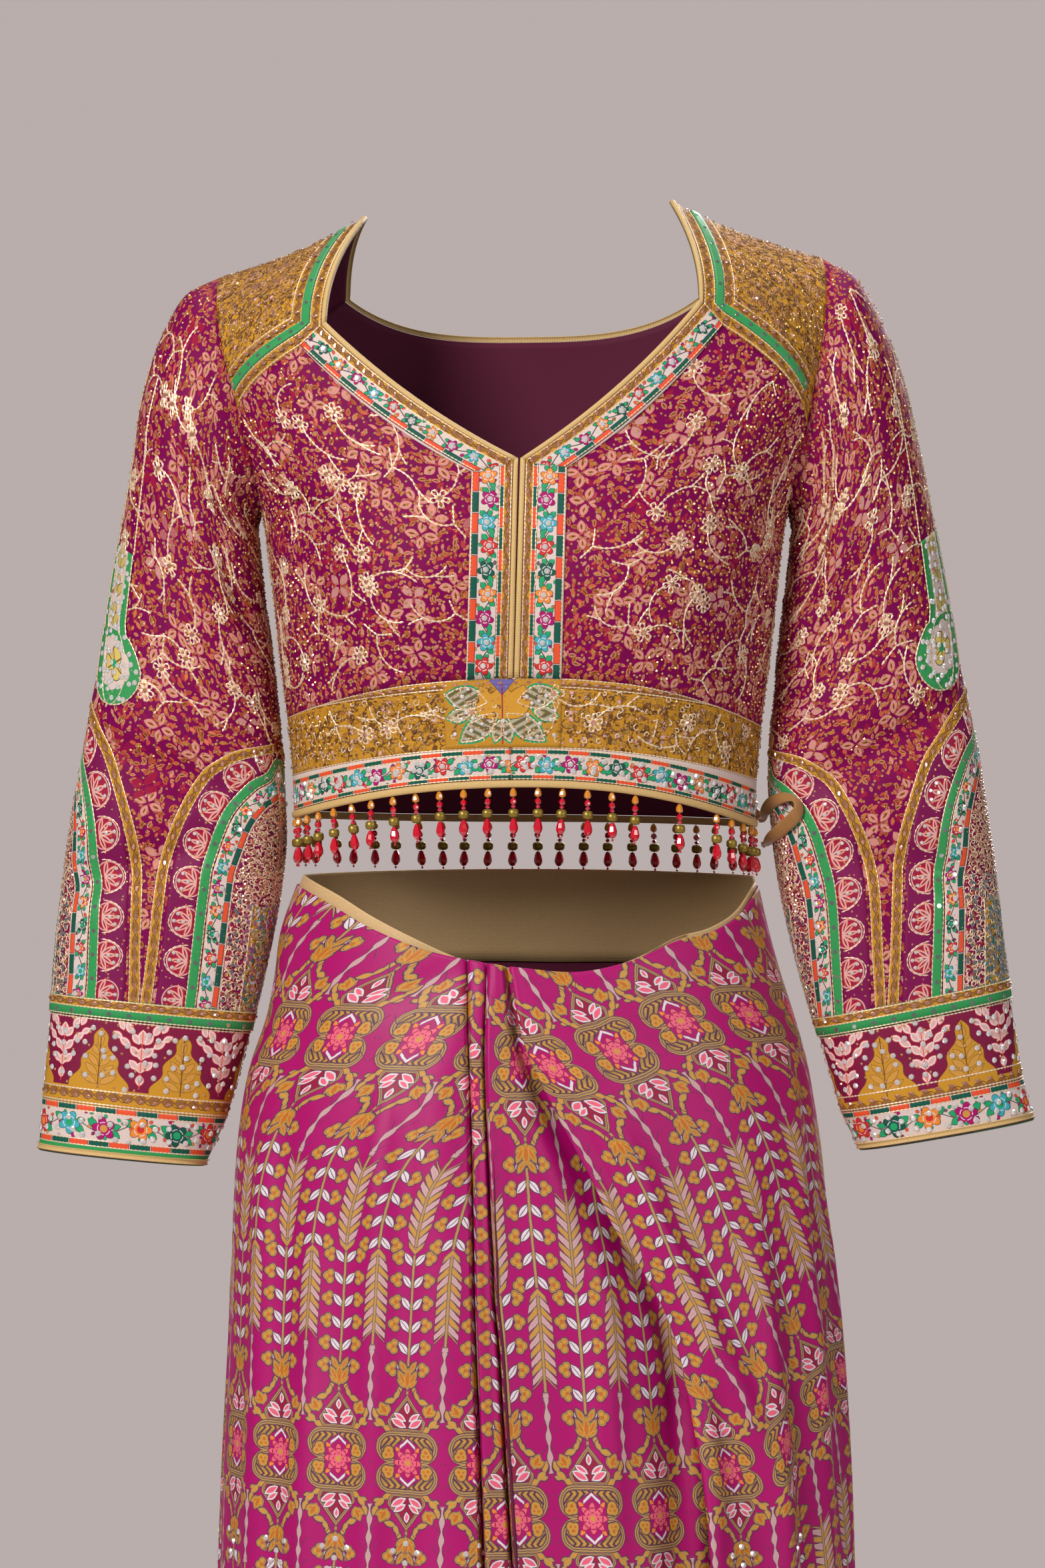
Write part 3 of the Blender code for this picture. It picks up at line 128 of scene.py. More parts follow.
# Sleeves: outer and inner silhouette points of each ring, and its front and back depth
# Columns: outer x, outer z, inner x, inner z, front, back
SLEEVE = {
    -1: (
        (-0.2092, 0.4008, -0.1665, 0.2520, 0.050, 0.052),
        (-0.2238, 0.3792, -0.1660, 0.2440, 0.053, 0.056),
        (-0.2383, 0.3375, -0.1645, 0.2292, 0.054, 0.058),
        (-0.2454, 0.2917, -0.1615, 0.2042, 0.051, 0.056),
        (-0.2529, 0.2500, -0.1575, 0.1750, 0.047, 0.053),
        (-0.2600, 0.2083, -0.1545, 0.1458, 0.044, 0.050),
        (-0.2671, 0.1625, -0.1520, 0.1208, 0.042, 0.047),
        (-0.2754, 0.1167, -0.1505, 0.0917, 0.041, 0.044),
        (-0.2829, 0.0708, -0.1500, 0.0563, 0.040, 0.041),
        (-0.2892, 0.0250, -0.1546, 0.0167, 0.039, 0.038),
        (-0.2933, -0.0125, -0.1625, -0.0229, 0.038, 0.035),
        (-0.2960, -0.0480, -0.1713, -0.0605, 0.036, 0.033),
    ),
    1: (
        (0.2040, 0.4120, 0.1665, 0.2520, 0.050, 0.052),
        (0.2190, 0.3900, 0.1660, 0.2440, 0.053, 0.056),
        (0.2350, 0.3500, 0.1645, 0.2292, 0.054, 0.058),
        (0.2460, 0.3042, 0.1615, 0.2042, 0.051, 0.056),
        (0.2560, 0.2542, 0.1580, 0.1760, 0.047, 0.053),
        (0.2640, 0.2125, 0.1555, 0.1470, 0.044, 0.050),
        (0.2720, 0.1667, 0.1530, 0.1210, 0.042, 0.047),
        (0.2812, 0.1208, 0.1530, 0.0940, 0.041, 0.044),
        (0.2880, 0.0750, 0.1570, 0.0480, 0.040, 0.041),
        (0.2940, 0.0350, 0.1640, 0.0080, 0.039, 0.038),
        (0.2985, -0.0050, 0.1735, -0.0300, 0.038, 0.035),
        (0.3030, -0.0400, 0.1840, -0.0640, 0.036, 0.033),
    ),
}
# Columns: outer x, outer z, inner x, inner z, front, back
CUFF_BAND = {
    -1: (
        (-0.2960, -0.0480, -0.1713, -0.0605, 0.036, 0.033),
        (-0.3013, -0.1021, -0.1860, -0.1146, 0.034, 0.031),
    ),
    1: (
        (0.3030, -0.0400, 0.1840, -0.0640, 0.036, 0.033),
        (0.3110, -0.0900, 0.1975, -0.1115, 0.034, 0.031),
    ),
}
CUFF_BORDER = {
    -1: (
        (-0.3013, -0.1021, -0.1860, -0.1146, 0.034, 0.031),
        (-0.3038, -0.1370, -0.2010, -0.1470, 0.031, 0.028),
    ),
    1: (
        (0.3110, -0.0900, 0.1975, -0.1115, 0.034, 0.031),
        (0.3185, -0.1180, 0.2100, -0.1368, 0.031, 0.028),
    ),
}
CUFF_PIPING = 0.0035
CUFF_TRIM_LENGTH = 0.0140
SLEEVE_SQUARENESS = 2.2

# The bead fringe under the blouse's hem
STRAND_PITCH = 0.0152
HEM_SAMPLES = 721
MISSING_STRANDS = (18, 20)

# The wound saree cloth: level sections of its outer face
DRAPE_COLUMNS = ("height", "left", "right", "front", "back", "squareness")
DRAPE = (
    (-1.000, 0.2150, 0.2250, 0.165, 0.160, 2.1),
    (-0.800, 0.2060, 0.2160, 0.152, 0.152, 2.1),
    (-0.600, 0.1980, 0.2090, 0.140, 0.147, 2.1),
    (-0.396, 0.1908, 0.2004, 0.129, 0.143, 2.1),
    (-0.333, 0.1888, 0.1983, 0.127, 0.142, 2.1),
    (-0.250, 0.1846, 0.1930, 0.124, 0.141, 2.1),
    (-0.167, 0.1820, 0.1846, 0.120, 0.138, 2.1),
    (-0.125, 0.1790, 0.1825, 0.117, 0.133, 2.1),
    (-0.083, 0.1720, 0.1770, 0.113, 0.125, 2.1),
    (-0.050, 0.1610, 0.1680, 0.109, 0.117, 2.1),
    (-0.025, 0.1563, 0.1600, 0.105, 0.110, 2.1),
    (0.000, 0.1530, 0.1530, 0.101, 0.103, 2.1),
    (0.040, 0.1390, 0.1440, 0.096, 0.096, 2.1),
)
DRAPE_BOTTOM = -1.0
WAIST_COLUMNS = ("place", "height")
WAIST_FRONT = (
    (-0.150, 0.0310),
    (-0.120, 0.0190),
    (-0.093, 0.0060),
    (-0.070, -0.0030),
    (-0.050, -0.0095),
    (-0.030, -0.0135),
    (0.000, -0.0185),
    (0.030, -0.0205),
    (0.060, -0.0140),
    (0.090, -0.0020),
    (0.115, 0.0040),
    (0.135, 0.0150),
    (0.150, 0.0300),
)
WAIST_BACK = 0.0330
WAIST_HALF_WIDTH = 0.150
WAIST_MIDDLE = -0.0100

# Fold lines of the saree's front, as places across at each height
FOLD_COLUMNS = ("height", "groove_left", "groove_right", "swag")
FOLDS = (
    (-1.000, -0.0020, 0.0220, 0.1350),
    (-0.700, -0.0140, 0.0080, 0.1230),
    (-0.382, -0.0277, -0.0095, 0.1110),
    (-0.341, -0.0290, -0.0119, 0.1080),
    (-0.280, -0.0310, -0.0156, 0.0997),
    (-0.240, -0.0326, -0.0180, 0.0916),
    (-0.216, -0.0333, -0.0204, 0.0815),
    (-0.187, -0.0338, -0.0215, 0.0653),
    (-0.171, -0.0341, -0.0225, 0.0552),
    (-0.139, -0.0347, -0.0237, 0.0410),
    (-0.102, -0.0355, -0.0255, 0.0212),
    (-0.062, -0.0366, -0.0266, 0.0015),
    (-0.012, -0.0378, -0.0255, -0.0096),
)
SWAG_COLUMNS = ("height", "overlap", "proud", "recess", "groove_gap", "groove_depth")
SWAG = (
    (-1.000, 0.0600, 0.0080, 0.0200, 0.0140, 0.0300),
    (-0.600, 0.0520, 0.0060, 0.0160, 0.0080, 0.0200),
    (-0.382, 0.0420, 0.0050, 0.0130, 0.0045, 0.0130),
    (-0.240, 0.0320, 0.0040, 0.0110, 0.0038, 0.0100),
    (-0.150, 0.0200, 0.0020, 0.0075, 0.0036, 0.0080),
    (-0.062, 0.0120, 0.0006, 0.0065, 0.0036, 0.0055),
    (-0.030, 0.0100, 0.0000, 0.0085, 0.0036, 0.0048),
    (0.000, 0.0090, 0.0000, 0.0050, 0.0036, 0.0040),
)
LAYER_MIDDLE = 0.0034
LAYER_UNDER = 0.0050
LIP = 0.0022
EDGE_SINK = 0.0006
FACE_SHARES = (0.36, 0.64, 0.86)
RECESS_SHARES = (0.20, 0.35)
FLAP_REACH = 1.3
FLAP_PROUD = 0.7

# Large soft folds, as lines seen from the front: negative depths are hollows
FOLD_FADE = 0.15
# Columns: x0, z0, x1, z1, depth, reach
DRAPE_CREASES = (
    (-0.0430, -0.0200, -0.0900, -0.0420, -0.0030, 0.0110),
    (-0.0430, -0.0300, -0.1150, -0.1100, -0.0030, 0.0180),
    (0.0140, -0.0220, 0.0400, -0.0520, -0.0030, 0.0100),
    (0.0300, -0.0250, 0.1250, -0.1200, -0.0035, 0.0200),
    (0.0900, -0.1200, 0.1350, -0.3600, -0.0040, 0.0220),
    (0.0200, -0.2400, 0.0500, -0.6000, -0.0050, 0.0220),
    (-0.0900, -0.2000, -0.0850, -0.8500, -0.0050, 0.0300),
    (-0.1300, -0.3000, -0.1450, -0.9500, 0.0050, 0.0280),
    (0.1500, -0.3800, 0.1700, -0.9500, -0.0060, 0.0300),
)
BACK_DRAPE_CREASES = (
    (-0.0900, 0.0000, -0.1150, -0.7000, -0.0050, 0.0280),
    (0.0200, -0.0200, 0.0300, -0.8000, -0.0060, 0.0300),
    (0.1050, -0.0300, 0.1250, -0.8500, -0.0050, 0.0280),
)
SLEEVE_CREASES = (
    (-0.2100, 0.2900, -0.1650, 0.2560, -0.0060, 0.0110),
    (-0.1900, 0.2450, -0.1640, 0.1900, -0.0050, 0.0110),
    (-0.2600, 0.1150, -0.1800, 0.0850, -0.0045, 0.0120),
    (-0.2850, 0.0300, -0.2000, 0.0550, -0.0040, 0.0120),
    (0.1850, 0.3050, 0.1720, 0.2100, -0.0070, 0.0110),
    (0.2050, 0.2250, 0.1650, 0.1500, -0.0050, 0.0120),
    (0.2650, 0.1400, 0.1850, 0.0950, -0.0045, 0.0120),
    (0.2850, 0.0350, 0.2000, 0.0500, -0.0040, 0.0120),
)

# The tape inside the saree's waist
TAPE_COLUMNS = ("place", "show")
TAPE_SHOW = ((-0.150, 0.0065), (-0.080, 0.0060), (-0.045, 0.0020), (-0.020, -0.0030), (0.040, -0.0030),
             (0.080, 0.0015), (0.150, 0.0025))
TAPE_DEPTH = {"back": 0.0016, "front": 0.0027, "folds": 0.0145}
TAPE_FOLDS = (-0.0140, 0.0420)
TAPE_WALL = 0.0012
TAPE_DROP = 0.052
TAPE_SAMPLES = 193
TAPE_PARTS = 6
TAPE_LAP = {"plain": 0.0040, "folds": 0.0110}
TAPE_TURN = 3.0

# The tie at the blouse's right back hem
RIBBON_WIDTH = 0.0085
RIBBON_WALL = 0.0010
# Columns: x, y, z, lean
RIBBON = (
    (0.1472, 0.0262, 0.0703, 75.0),
    (0.1495, 0.0130, 0.0712, 70.0),
    (0.1500, 0.0010, 0.0755, 45.0),
    (0.1535, -0.0120, 0.0815, 25.0),
    (0.1600, -0.0250, 0.0850, 40.0),
    (0.1665, -0.0330, 0.0845, 65.0),
    (0.1695, -0.0355, 0.0790, 50.0),
    (0.1665, -0.0330, 0.0725, 20.0),
    (0.1600, -0.0240, 0.0660, 10.0),
    (0.1535, -0.0110, 0.0600, 30.0),
    (0.1505, 0.0020, 0.0560, 60.0),
    (0.1500, 0.0130, 0.0550, 70.0),
    (0.1495, 0.0220, 0.0570, 75.0),
)
KNOT = (0.1432, 0.0345, 0.0745)

# Steps along each piece, some finer than on the solids
PLACKET_ROWS = 6 * FINE
NECK_ROWS = 8 * FINE
ARMHOLE_ROWS = 6 * FINE
PANEL_ROWS = PLACKET_ROWS + NECK_ROWS
SEAM_ROWS = PANEL_ROWS - ARMHOLE_ROWS
STRIP_STEPS = len(FRONT_STRIPS) - 1
FRONT_STEPS = (4 * FINE, 5 * FINE)
PANEL_MIDDLE = 0.48
BACK_YOKE_STEPS = 4 * FINE
BACK_STEPS = (BACK_YOKE_STEPS, 3 * FINE, 2 * FINE, 2 * FINE, 3 * FINE, BACK_YOKE_STEPS)
YOKE_FRONT = 4 * FINE
YOKE_BACK = 4 * FINE
SLEEVE_SIDES = YOKE_FRONT + YOKE_BACK + 2 * ARMHOLE_ROWS
SLEEVE_ROWS = 100
CUFF_BAND_ROWS = 20
CUFF_BORDER_ROWS = 14
HEM_BAND_ROWS = 16
HEM_BORDER_ROWS = 12
DRAPE_ROWS = 96
ROW_POWER = 1.35
SIDE_STEPS = 32
BACK_DRAPE_STEPS = 100


# Tables and curves
def column(table, names, name):
    """One named column of a table, as numbers."""
    return np.array([row[names.index(name)] for row in table], float)


def smooth(xs, ys, at):
    """A cubic through rising xs, each slope taken from the neighbours, and level past the ends."""
    xs, ys, at = np.asarray(xs, float), np.asarray(ys, float), np.asarray(at, float)
    slopes = np.gradient(ys, xs)
    i = np.clip(np.searchsorted(xs, at) - 1, 0, len(xs) - 2)
    h = xs[i + 1] - xs[i]
    t = np.clip((at - xs[i]) / h, 0, 1)
    start = (2 * t**3 - 3 * t**2 + 1) * ys[i] + (t**3 - 2 * t**2 + t) * h * slopes[i]
    return start + (3 * t**2 - 2 * t**3) * ys[i + 1] + (t**3 - t**2) * h * slopes[i + 1]


def from_table(table, names, name, at, key="height"):
    return smooth(column(table, names, key), column(table, names, name), at)


def lengths(points):
    """The length of a line up to each of its points."""
    return np.concatenate([[0], np.cumsum(np.linalg.norm(np.diff(points, axis=0), axis=1))])


def between(at, along, points):
    """Points of a line at these lengths along it."""
    return np.stack([np.interp(at, along, points[:, k]) for k in range(points.shape[1])], axis=1)


def run(points, count):
    """count + 1 points spaced evenly along a line through the given points."""
    points = np.asarray(points, float)
    along = lengths(points)
    return between(np.linspace(0, along[-1], count + 1), along, points)


def unit(ways, least=0.0):
    """The ways at length 1."""
    return ways / np.maximum(np.linalg.norm(ways, axis=-1, keepdims=True), least)


def grid_places(across, along):
    """Cloth coordinates of a grid, from its places across and along."""
    return np.stack(np.broadcast_arrays(across, along), axis=2)


def joined(*runs):
    """Runs end to end, with the points that they share kept once."""
    return np.concatenate([runs[0]] + [r[1:] for r in runs[1:]])


def across(guides, counts):
    """A grid between guides, with counts[i] steps from guide i to the next."""
    strips = [guides[0][:, None]]
    for a, b, count in zip(guides, guides[1:], counts):
        t = (np.arange(1, count + 1) / count)[None, :, None]
        strips.append(a[:, None] * (1 - t) + b[:, None] * t)
    return np.concatenate(strips, axis=1)


def torso_sizes(z):
    return [from_table(TORSO, TORSO_COLUMNS, name, z) for name in TORSO_COLUMNS[1:]]


def torso(angle, z):
    """Points of the blouse's outer face. Angle 0 is the front and 90 the viewer's right, in degrees."""
    half, front, back, power = torso_sizes(z)
    s, c = np.sin(np.radians(angle)), np.cos(np.radians(angle))
    x = half * np.sign(s) * np.abs(s) ** (2 / power)
    y = -np.where(c > 0, front, back) * np.sign(c) * np.abs(c) ** (2 / power)
    swell = sum(
        np.exp(-(((x - side * BUST_X) / BUST_REACH_X) ** 2) / 2 - ((z - BUST_Z) / BUST_REACH_Z) ** 2 / 2)
        for side in (-1, 1)
    )
    y = y - np.where(c > 0, BUST_RISE * swell, 0)
    tilt = np.interp(z, TILT_HEIGHTS, TILT_SLOPES)
    return np.stack([x, y, z + tilt * x], axis=-1)


def angle_at(x, z, behind=False):
    """The angle at which the body surface has this x, in degrees."""
    half, _, _, power = torso_sizes(z)
    angle = np.degrees(np.arcsin(np.clip(np.abs(x) / half, 0, 1) ** (power / 2)))
    angle = 180 - angle if behind else angle
    return np.where(x < 0, -angle, angle)


def on_body(points, behind=False):
    """(x, z) points as (angle, z)."""
    points = np.asarray(points, float)
    angle = angle_at(points[:, 0], points[:, 1], behind)
    return np.stack([angle, points[:, 1]], axis=1)


def edge_height(edge, angle):
    """How high a band's edge runs at an angle: arched in front, level behind."""
    front, left, right = edge
    s, c = np.sin(np.radians(angle)), np.cos(np.radians(angle))
    side = np.where(s < 0, left, right)
    middle = np.where(c > 0, front, (left + right) / 2)
    return side + (middle - side) * (1 - np.abs(s) ** EDGE_POWER)


def centre_x(z):
    return np.interp(z, CENTRE_HEIGHTS, CENTRE_PLACES)


def surface_normals(surface, angle, z):
    """Unit normals of a surface that is a function of (angle, z)."""
    turn, rise = 0.5, 0.002
    over = surface(angle + turn, z) - surface(angle - turn, z)
    up = surface(angle, z + rise) - surface(angle, z - rise)
    return unit(np.cross(over, up))


def grid_normals(grid, around=False):
    """Unit normals of a grid of points. They face out when its rows rise and its columns run to the right."""
    padded = np.concatenate([grid[:, -2:-1], grid, grid[:, 1:2]], axis=1) if around else grid
    along = np.gradient(grid, axis=0)
    over = np.gradient(padded, axis=1)
    return unit(np.cross(over[:, 1:-1] if around else over, along), 1e-12)


def shortened(grid, length):
    """The grid with its last row drawn in by a length."""
    grid = grid.copy()
    grid[-1] += unit(grid[-2] - grid[-1], 1e-9) * length
    return grid


def fold_push(points, normals, table, facing):
    """How far the folds of a table push each point out, on the side that faces that way."""
    side = np.clip(normals[..., 1] * facing * 2, 0, 1)
    flat = points[..., [0, 2]]
    push = np.zeros(points.shape[:-1])
    for x0, z0, x1, z1, depth, reach in table:
        start, way = np.array([x0, z0]), np.array([x1 - x0, z1 - z0])
        t = np.clip(((flat - start) @ way) / (way @ way), 0, 1)
        off = np.linalg.norm(flat - start - t[..., None] * way, axis=-1)
        ends = FOLD_FADE + (1 - 2 * FOLD_FADE) * t
        push += depth * np.exp(-((off / reach) ** 2)) * np.sin(math.pi * ends)
    return push * side


def toward(a, b, length):
    """The point this far along from a to b."""
    a, b = np.array(a, float), np.array(b, float)
    return a + (b - a) / np.linalg.norm(b - a) * length


def stand_on(flat, edge):
    """An (angle, z) grid with its lowest row on a band's edge, and the rows above moved less and less."""
    share = np.linspace(0, 1, len(flat))[:, None]
    flat = flat.copy()
    flat[..., 1] += (1 - share) ** 2 * (edge_height(edge, flat[0, :, 0]) - flat[0, :, 1])
    return flat


def neckline(side, inward):
    """The V neck's edge from the V point to the yoke, moved into the cloth, as (x, z)."""
    start, end = np.array(V_POINT), np.array(NECK_CORNER[side])
    way = (end - start) / np.linalg.norm(end - start)
    down = np.array([side * abs(way[1]), -abs(way[0])])
    seam = np.array(YOKE_TIP[side]) - end
    seam = seam / np.linalg.norm(seam)
    last = end + seam * inward / abs(seam @ down)
    t = np.linspace(0, 1, NECK_ROWS + 1)[:, None]
    first = start + down * inward
    return first * (1 - t) + last * t + down * 4 * V_SAG * t * (1 - t)


def front_edge(side, placket_in, neck_in):
    """A guide from the band's top up beside the middle and along the V neck, as (angle, z)."""
    slant = neckline(side, neck_in)
    corner_x = V_POINT[0] + side * placket_in
    ratio = (slant[1, 1] - slant[0, 1]) / (slant[1, 0] - slant[0, 0])
    corner = np.array([corner_x, slant[0, 1] + (corner_x - slant[0, 0]) * ratio])
    share = np.linspace(0, 1, NECK_ROWS + 1)[:, None]
    slant = slant + (1 - share) * (corner - slant[0])
    heights = np.linspace(BAND_TOP[0], corner[1], PLACKET_ROWS + 1)
    places = centre_x(heights) - centre_x(corner[1]) + corner_x
    return on_body(joined(np.stack([places, heights], axis=1), slant))


def front_flat(side):
    """The front panel in (angle, z): columns from the front edge to the side seam and armhole."""
    strips = [front_edge(side, placket, neck) for placket, neck in FRONT_STRIPS]
    seam = run([(side * 90.0, BAND_TOP[1 if side < 0 else 2]), (side * 90.0, UNDERARM)], SEAM_ROWS)
    hole = [(side * a, z) for a, z in ARMHOLE] + [tuple(on_body([YOKE_TIP[side]])[0])]
    outer = joined(seam, run(hole, ARMHOLE_ROWS))
    middle = strips[-1] * (1 - PANEL_MIDDLE) + outer * PANEL_MIDDLE
    counts = (FINE,) * STRIP_STEPS + FRONT_STEPS
    return stand_on(across(strips + [middle, outer], counts), BAND_TOP)


def back_flat():
    """The back panel in (angle, z), from the viewer's right side seam round behind to the left one."""
    tip = on_body([BACK_YOKE_TIP], behind=True)[0]
    inset_corner = toward(BACK_NECK_CORNER, BACK_YOKE_TIP, PIPING_WIDTH + 2 * SEAM)
    corner = on_body([inset_corner], behind=True)[0]
    low = BACK_NECK_LOW - PIPING_WIDTH - 2 * SEAM
    hole = run(list(BACK_ARMHOLE) + [tuple(tip)], ARMHOLE_ROWS)
    halves = []
    for bottom in (BAND_TOP[2], BAND_TOP[1]):
        seam = run([(90.0, bottom), (90.0, UNDERARM)], SEAM_ROWS)
        halves.append([joined(seam, hole)])
        for angle in (corner[0], (corner[0] + 180) / 2):
            halves[-1].append(run([(angle, bottom), (angle, corner[1])], PANEL_ROWS))
    centre = run([(180.0, BAND_TOP[2]), (180.0, corner[1])], PANEL_ROWS)
    mirrored = [np.stack([360 - g[:, 0], g[:, 1]], axis=1) for g in reversed(halves[1])]
    flat = stand_on(across(halves[0] + [centre] + mirrored, BACK_STEPS), BAND_TOP)
    share = np.linspace(0, 1, len(flat))[:, None]
    neck = np.clip(np.abs(180 - flat[-1, :, 0]) / (180 - corner[0]), 0, 1) ** BACK_NECK_POWER
    flat[..., 1] -= share**2 * (1 - neck) * (corner[1] - low)
    return flat


def bend(a, b, c, count):
    """count + 1 points of the curve from a to c that b pulls."""
    t = np.linspace(0, 1, count + 1)[:, None]
    return (1 - t) ** 2 * a + 2 * t * (1 - t) * b + t**2 * c


def split(points, parts):
    """The line with each of its spans cut in equal parts."""
    spans = [points[:-1] + (points[1:] - points[:-1]) * k / parts for k in range(parts)]
    mixed = np.stack(spans, axis=1).reshape(-1, 3)
    return np.concatenate([mixed, points[-1:]])


def yoke_grid(side, front, back):
    """The yoke's points between the panels' seams. Rows run from the neck to the armhole."""
    share = lengths(front) / np.linalg.norm(np.diff(front, axis=0), axis=1).sum()
    neck = toward(NECK_POINT[side], SHOULDER_POINT[side], PIPING_WIDTH + 2 * SEAM)
    rows = []
    for i, u in enumerate(share):
        ridge = neck * (1 - u) + np.array(SHOULDER_POINT[side]) * u
        ridge[2] -= 4 * RIDGE_SAG * u * (1 - u)
        swell = np.array(NECK_SWELL[side]) * (1 - u) + np.array(TIP_SWELL[side]) * u
        behind = np.array(BACK_NECK_SWELL) * (1 - u) + np.array(BACK_TIP_SWELL) * u
        behind = behind * (side, 1, 1)
        over, down = bend(front[i], swell, ridge, YOKE_FRONT), bend(ridge, behind, back[i], YOKE_BACK)
        rows.append(joined(over, down))
    return np.array(rows)


def ring(row):
    """One ring of a sleeve: from its outer point over the front to its inner point and back behind."""
    outer_x, outer_z, inner_x, inner_z, front, back = row
    outer, inner = np.array([outer_x, 0, outer_z]), np.array([inner_x, 0, inner_z])
    centre, half = (outer + inner) / 2, (outer - inner) / 2
    turn = np.linspace(0, 2 * math.pi, SLEEVE_SIDES + 1)
    s, c = np.sin(turn), np.cos(turn)
    power = 2 / SLEEVE_SQUARENESS
    depth = -np.where(s > 0, front, back) * np.sign(s) * np.abs(s) ** power
    reach = np.sign(c) * np.abs(c) ** power
    return centre + reach[:, None] * half + depth[:, None] * np.array([0, 1, 0])


def armhole_loop(side, front, back, yoke):
    """The panels' and the yoke's own edge points round the armhole, in the order of a sleeve's ring."""
    top = yoke[-1]
    front_edge_points = front[SEAM_ROWS:, -1][::-1]
    back_edge_points = back[SEAM_ROWS:, 0 if side > 0 else -1]
    return joined(top[: YOKE_FRONT + 1][::-1], front_edge_points, back_edge_points, top[YOKE_FRONT:][::-1])


def sleeve_rings(side, loop):
    """Rings spaced evenly down the sleeve, the first at the armhole."""
    rings = np.array([loop] + [ring(row) for row in SLEEVE[side]])
    along = lengths(rings.mean(axis=1))
    at = np.linspace(0, along[-1], SLEEVE_ROWS + 1)
    flat = rings.reshape(len(rings), -1)
    smoothed = np.stack([smooth(along, flat[:, k], at) for k in range(flat.shape[1])], axis=1)
    return smoothed.reshape(len(at), -1, 3)


def tube_between(rows, count):
    a, b = ring(rows[0]), ring(rows[1])
    t = np.linspace(0, 1, count + 1)[:, None, None]
    return a * (1 - t) + b * t


def tube_normals(grid):
    normals = grid_normals(grid, around=True)
    middle = grid[:, :-1].mean(axis=1, keepdims=True)
    return normals * np.sign(((grid - middle) * normals).sum(axis=2).mean())


def drape_surface(angle, z):
    """Points of the saree's outer face before its folds."""
    left, right, front, back, power = [from_table(DRAPE, DRAPE_COLUMNS, n, z) for n in DRAPE_COLUMNS[1:]]
    s, c = np.sin(np.radians(angle)), np.cos(np.radians(angle))
    x = np.where(s < 0, left, right) * np.sign(s) * np.abs(s) ** (2 / power)
    y = -np.where(c > 0, front, back) * np.sign(c) * np.abs(c) ** (2 / power)
    return np.stack([x, y, z], axis=-1)


def drape(angle, z, depth, share=1.0):
    """Points of the saree's cloth: its outer face with this share of the soft folds, moved in by depth."""
    points = drape_surface(angle, z)
    normals = surface_normals(drape_surface, angle, z)
    push = fold_push(points, normals, DRAPE_CREASES, -1) + fold_push(points, normals, BACK_DRAPE_CREASES, 1)
    return points + normals * (push * share - depth)[..., None]


def drape_angle(x, z):
    left, right, power = (from_table(DRAPE, DRAPE_COLUMNS, n, z) for n in ("left", "right", "squareness"))
    half = np.where(x < 0, left, right)
    return np.sign(x) * np.degrees(np.arcsin(np.clip(np.abs(x) / half, 0, 1) ** (power / 2)))


def waist_height(angle):
    """The height of the saree's upper edge at an angle."""
    angle = np.asarray(angle, float)
    x = WAIST_HALF_WIDTH * np.sin(np.radians(angle))
    in_front = from_table(WAIST_FRONT, WAIST_COLUMNS, "height", x, key="place")
    s = np.abs(np.sin(np.radians(angle)))
    side = from_table(WAIST_FRONT, WAIST_COLUMNS, "height", WAIST_HALF_WIDTH * np.sign(x), key="place")
    behind = side + (WAIST_BACK - side) * (1 - s**2)
    return np.where(np.cos(np.radians(angle)) > 0, in_front, behind)


def fold_columns(z):
    """Across the saree's front at a height: each column's place and depth, for each stretch in turn."""
    left, right, swag = [float(from_table(FOLDS, FOLD_COLUMNS, n, z)) for n in FOLD_COLUMNS[1:]]
    over, proud, recess, gap, deep = [float(from_table(SWAG, SWAG_COLUMNS, n, z)) for n in SWAG_COLUMNS[1:]]
    start = right + gap + EDGE_SINK
    face = swag - start
    middle = LAYER_MIDDLE - proud
    top_turn = LAYER_MIDDLE / 2
    under_turn = (LAYER_UNDER - middle) / 2
    return {
        "drape_left": (
            (left - LIP, 0.0),
            (left - EDGE_SINK, EDGE_SINK),
            (left + 0.25 * gap, 0.5 * deep),
            (left + 0.5 * gap, deep),
        ),
        "drape_pleat": (
            (left + 0.5 * gap, deep),
            (left + 0.75 * gap, 0.5 * deep),
            (left + gap + EDGE_SINK, EDGE_SINK),
            (0.5 * (left + gap + right), 0.0),
            (right - EDGE_SINK, EDGE_SINK),
            (right + 0.25 * gap, 0.5 * deep),
            (right + 0.5 * gap, deep),
        ),
        "drape_centre": (
            (right + 0.5 * gap, deep),
            (right + 0.75 * gap, 0.5 * deep),
            (start, EDGE_SINK),
            (start + LIP, 0.0),
            (start + FACE_SHARES[0] * face, 0.0),
            (start + FACE_SHARES[1] * face, RECESS_SHARES[0] * recess),
            (start + FACE_SHARES[2] * face, recess),
            (swag + top_turn, RECESS_SHARES[1] * recess + (1 - RECESS_SHARES[1]) * LAYER_UNDER),
            (swag + 0.5 * over, LAYER_UNDER),
        ),
        "drape_right": (
            (swag + 0.5 * over, LAYER_UNDER),
            (swag + over, LAYER_UNDER),
            (swag + over + under_turn, LAYER_UNDER - under_turn),
            (swag + over, middle),
            (swag + 0.5 * over, middle),
            (swag + top_turn, middle),
            (swag, middle - top_turn),
            (swag + top_turn, -proud),
            (swag + 0.5 * over, -proud),
            (swag + over, -proud),
            (swag + FLAP_REACH * over, -FLAP_PROUD * proud),
        ),
    }


def hanging_share():
    """How far down each row lies, from 1 at the hem to 0 at the waist."""
    return (1 - np.linspace(0, 1, DRAPE_ROWS + 1)) ** ROW_POWER


def side_name(side):
    return "left" if side < 0 else "right"


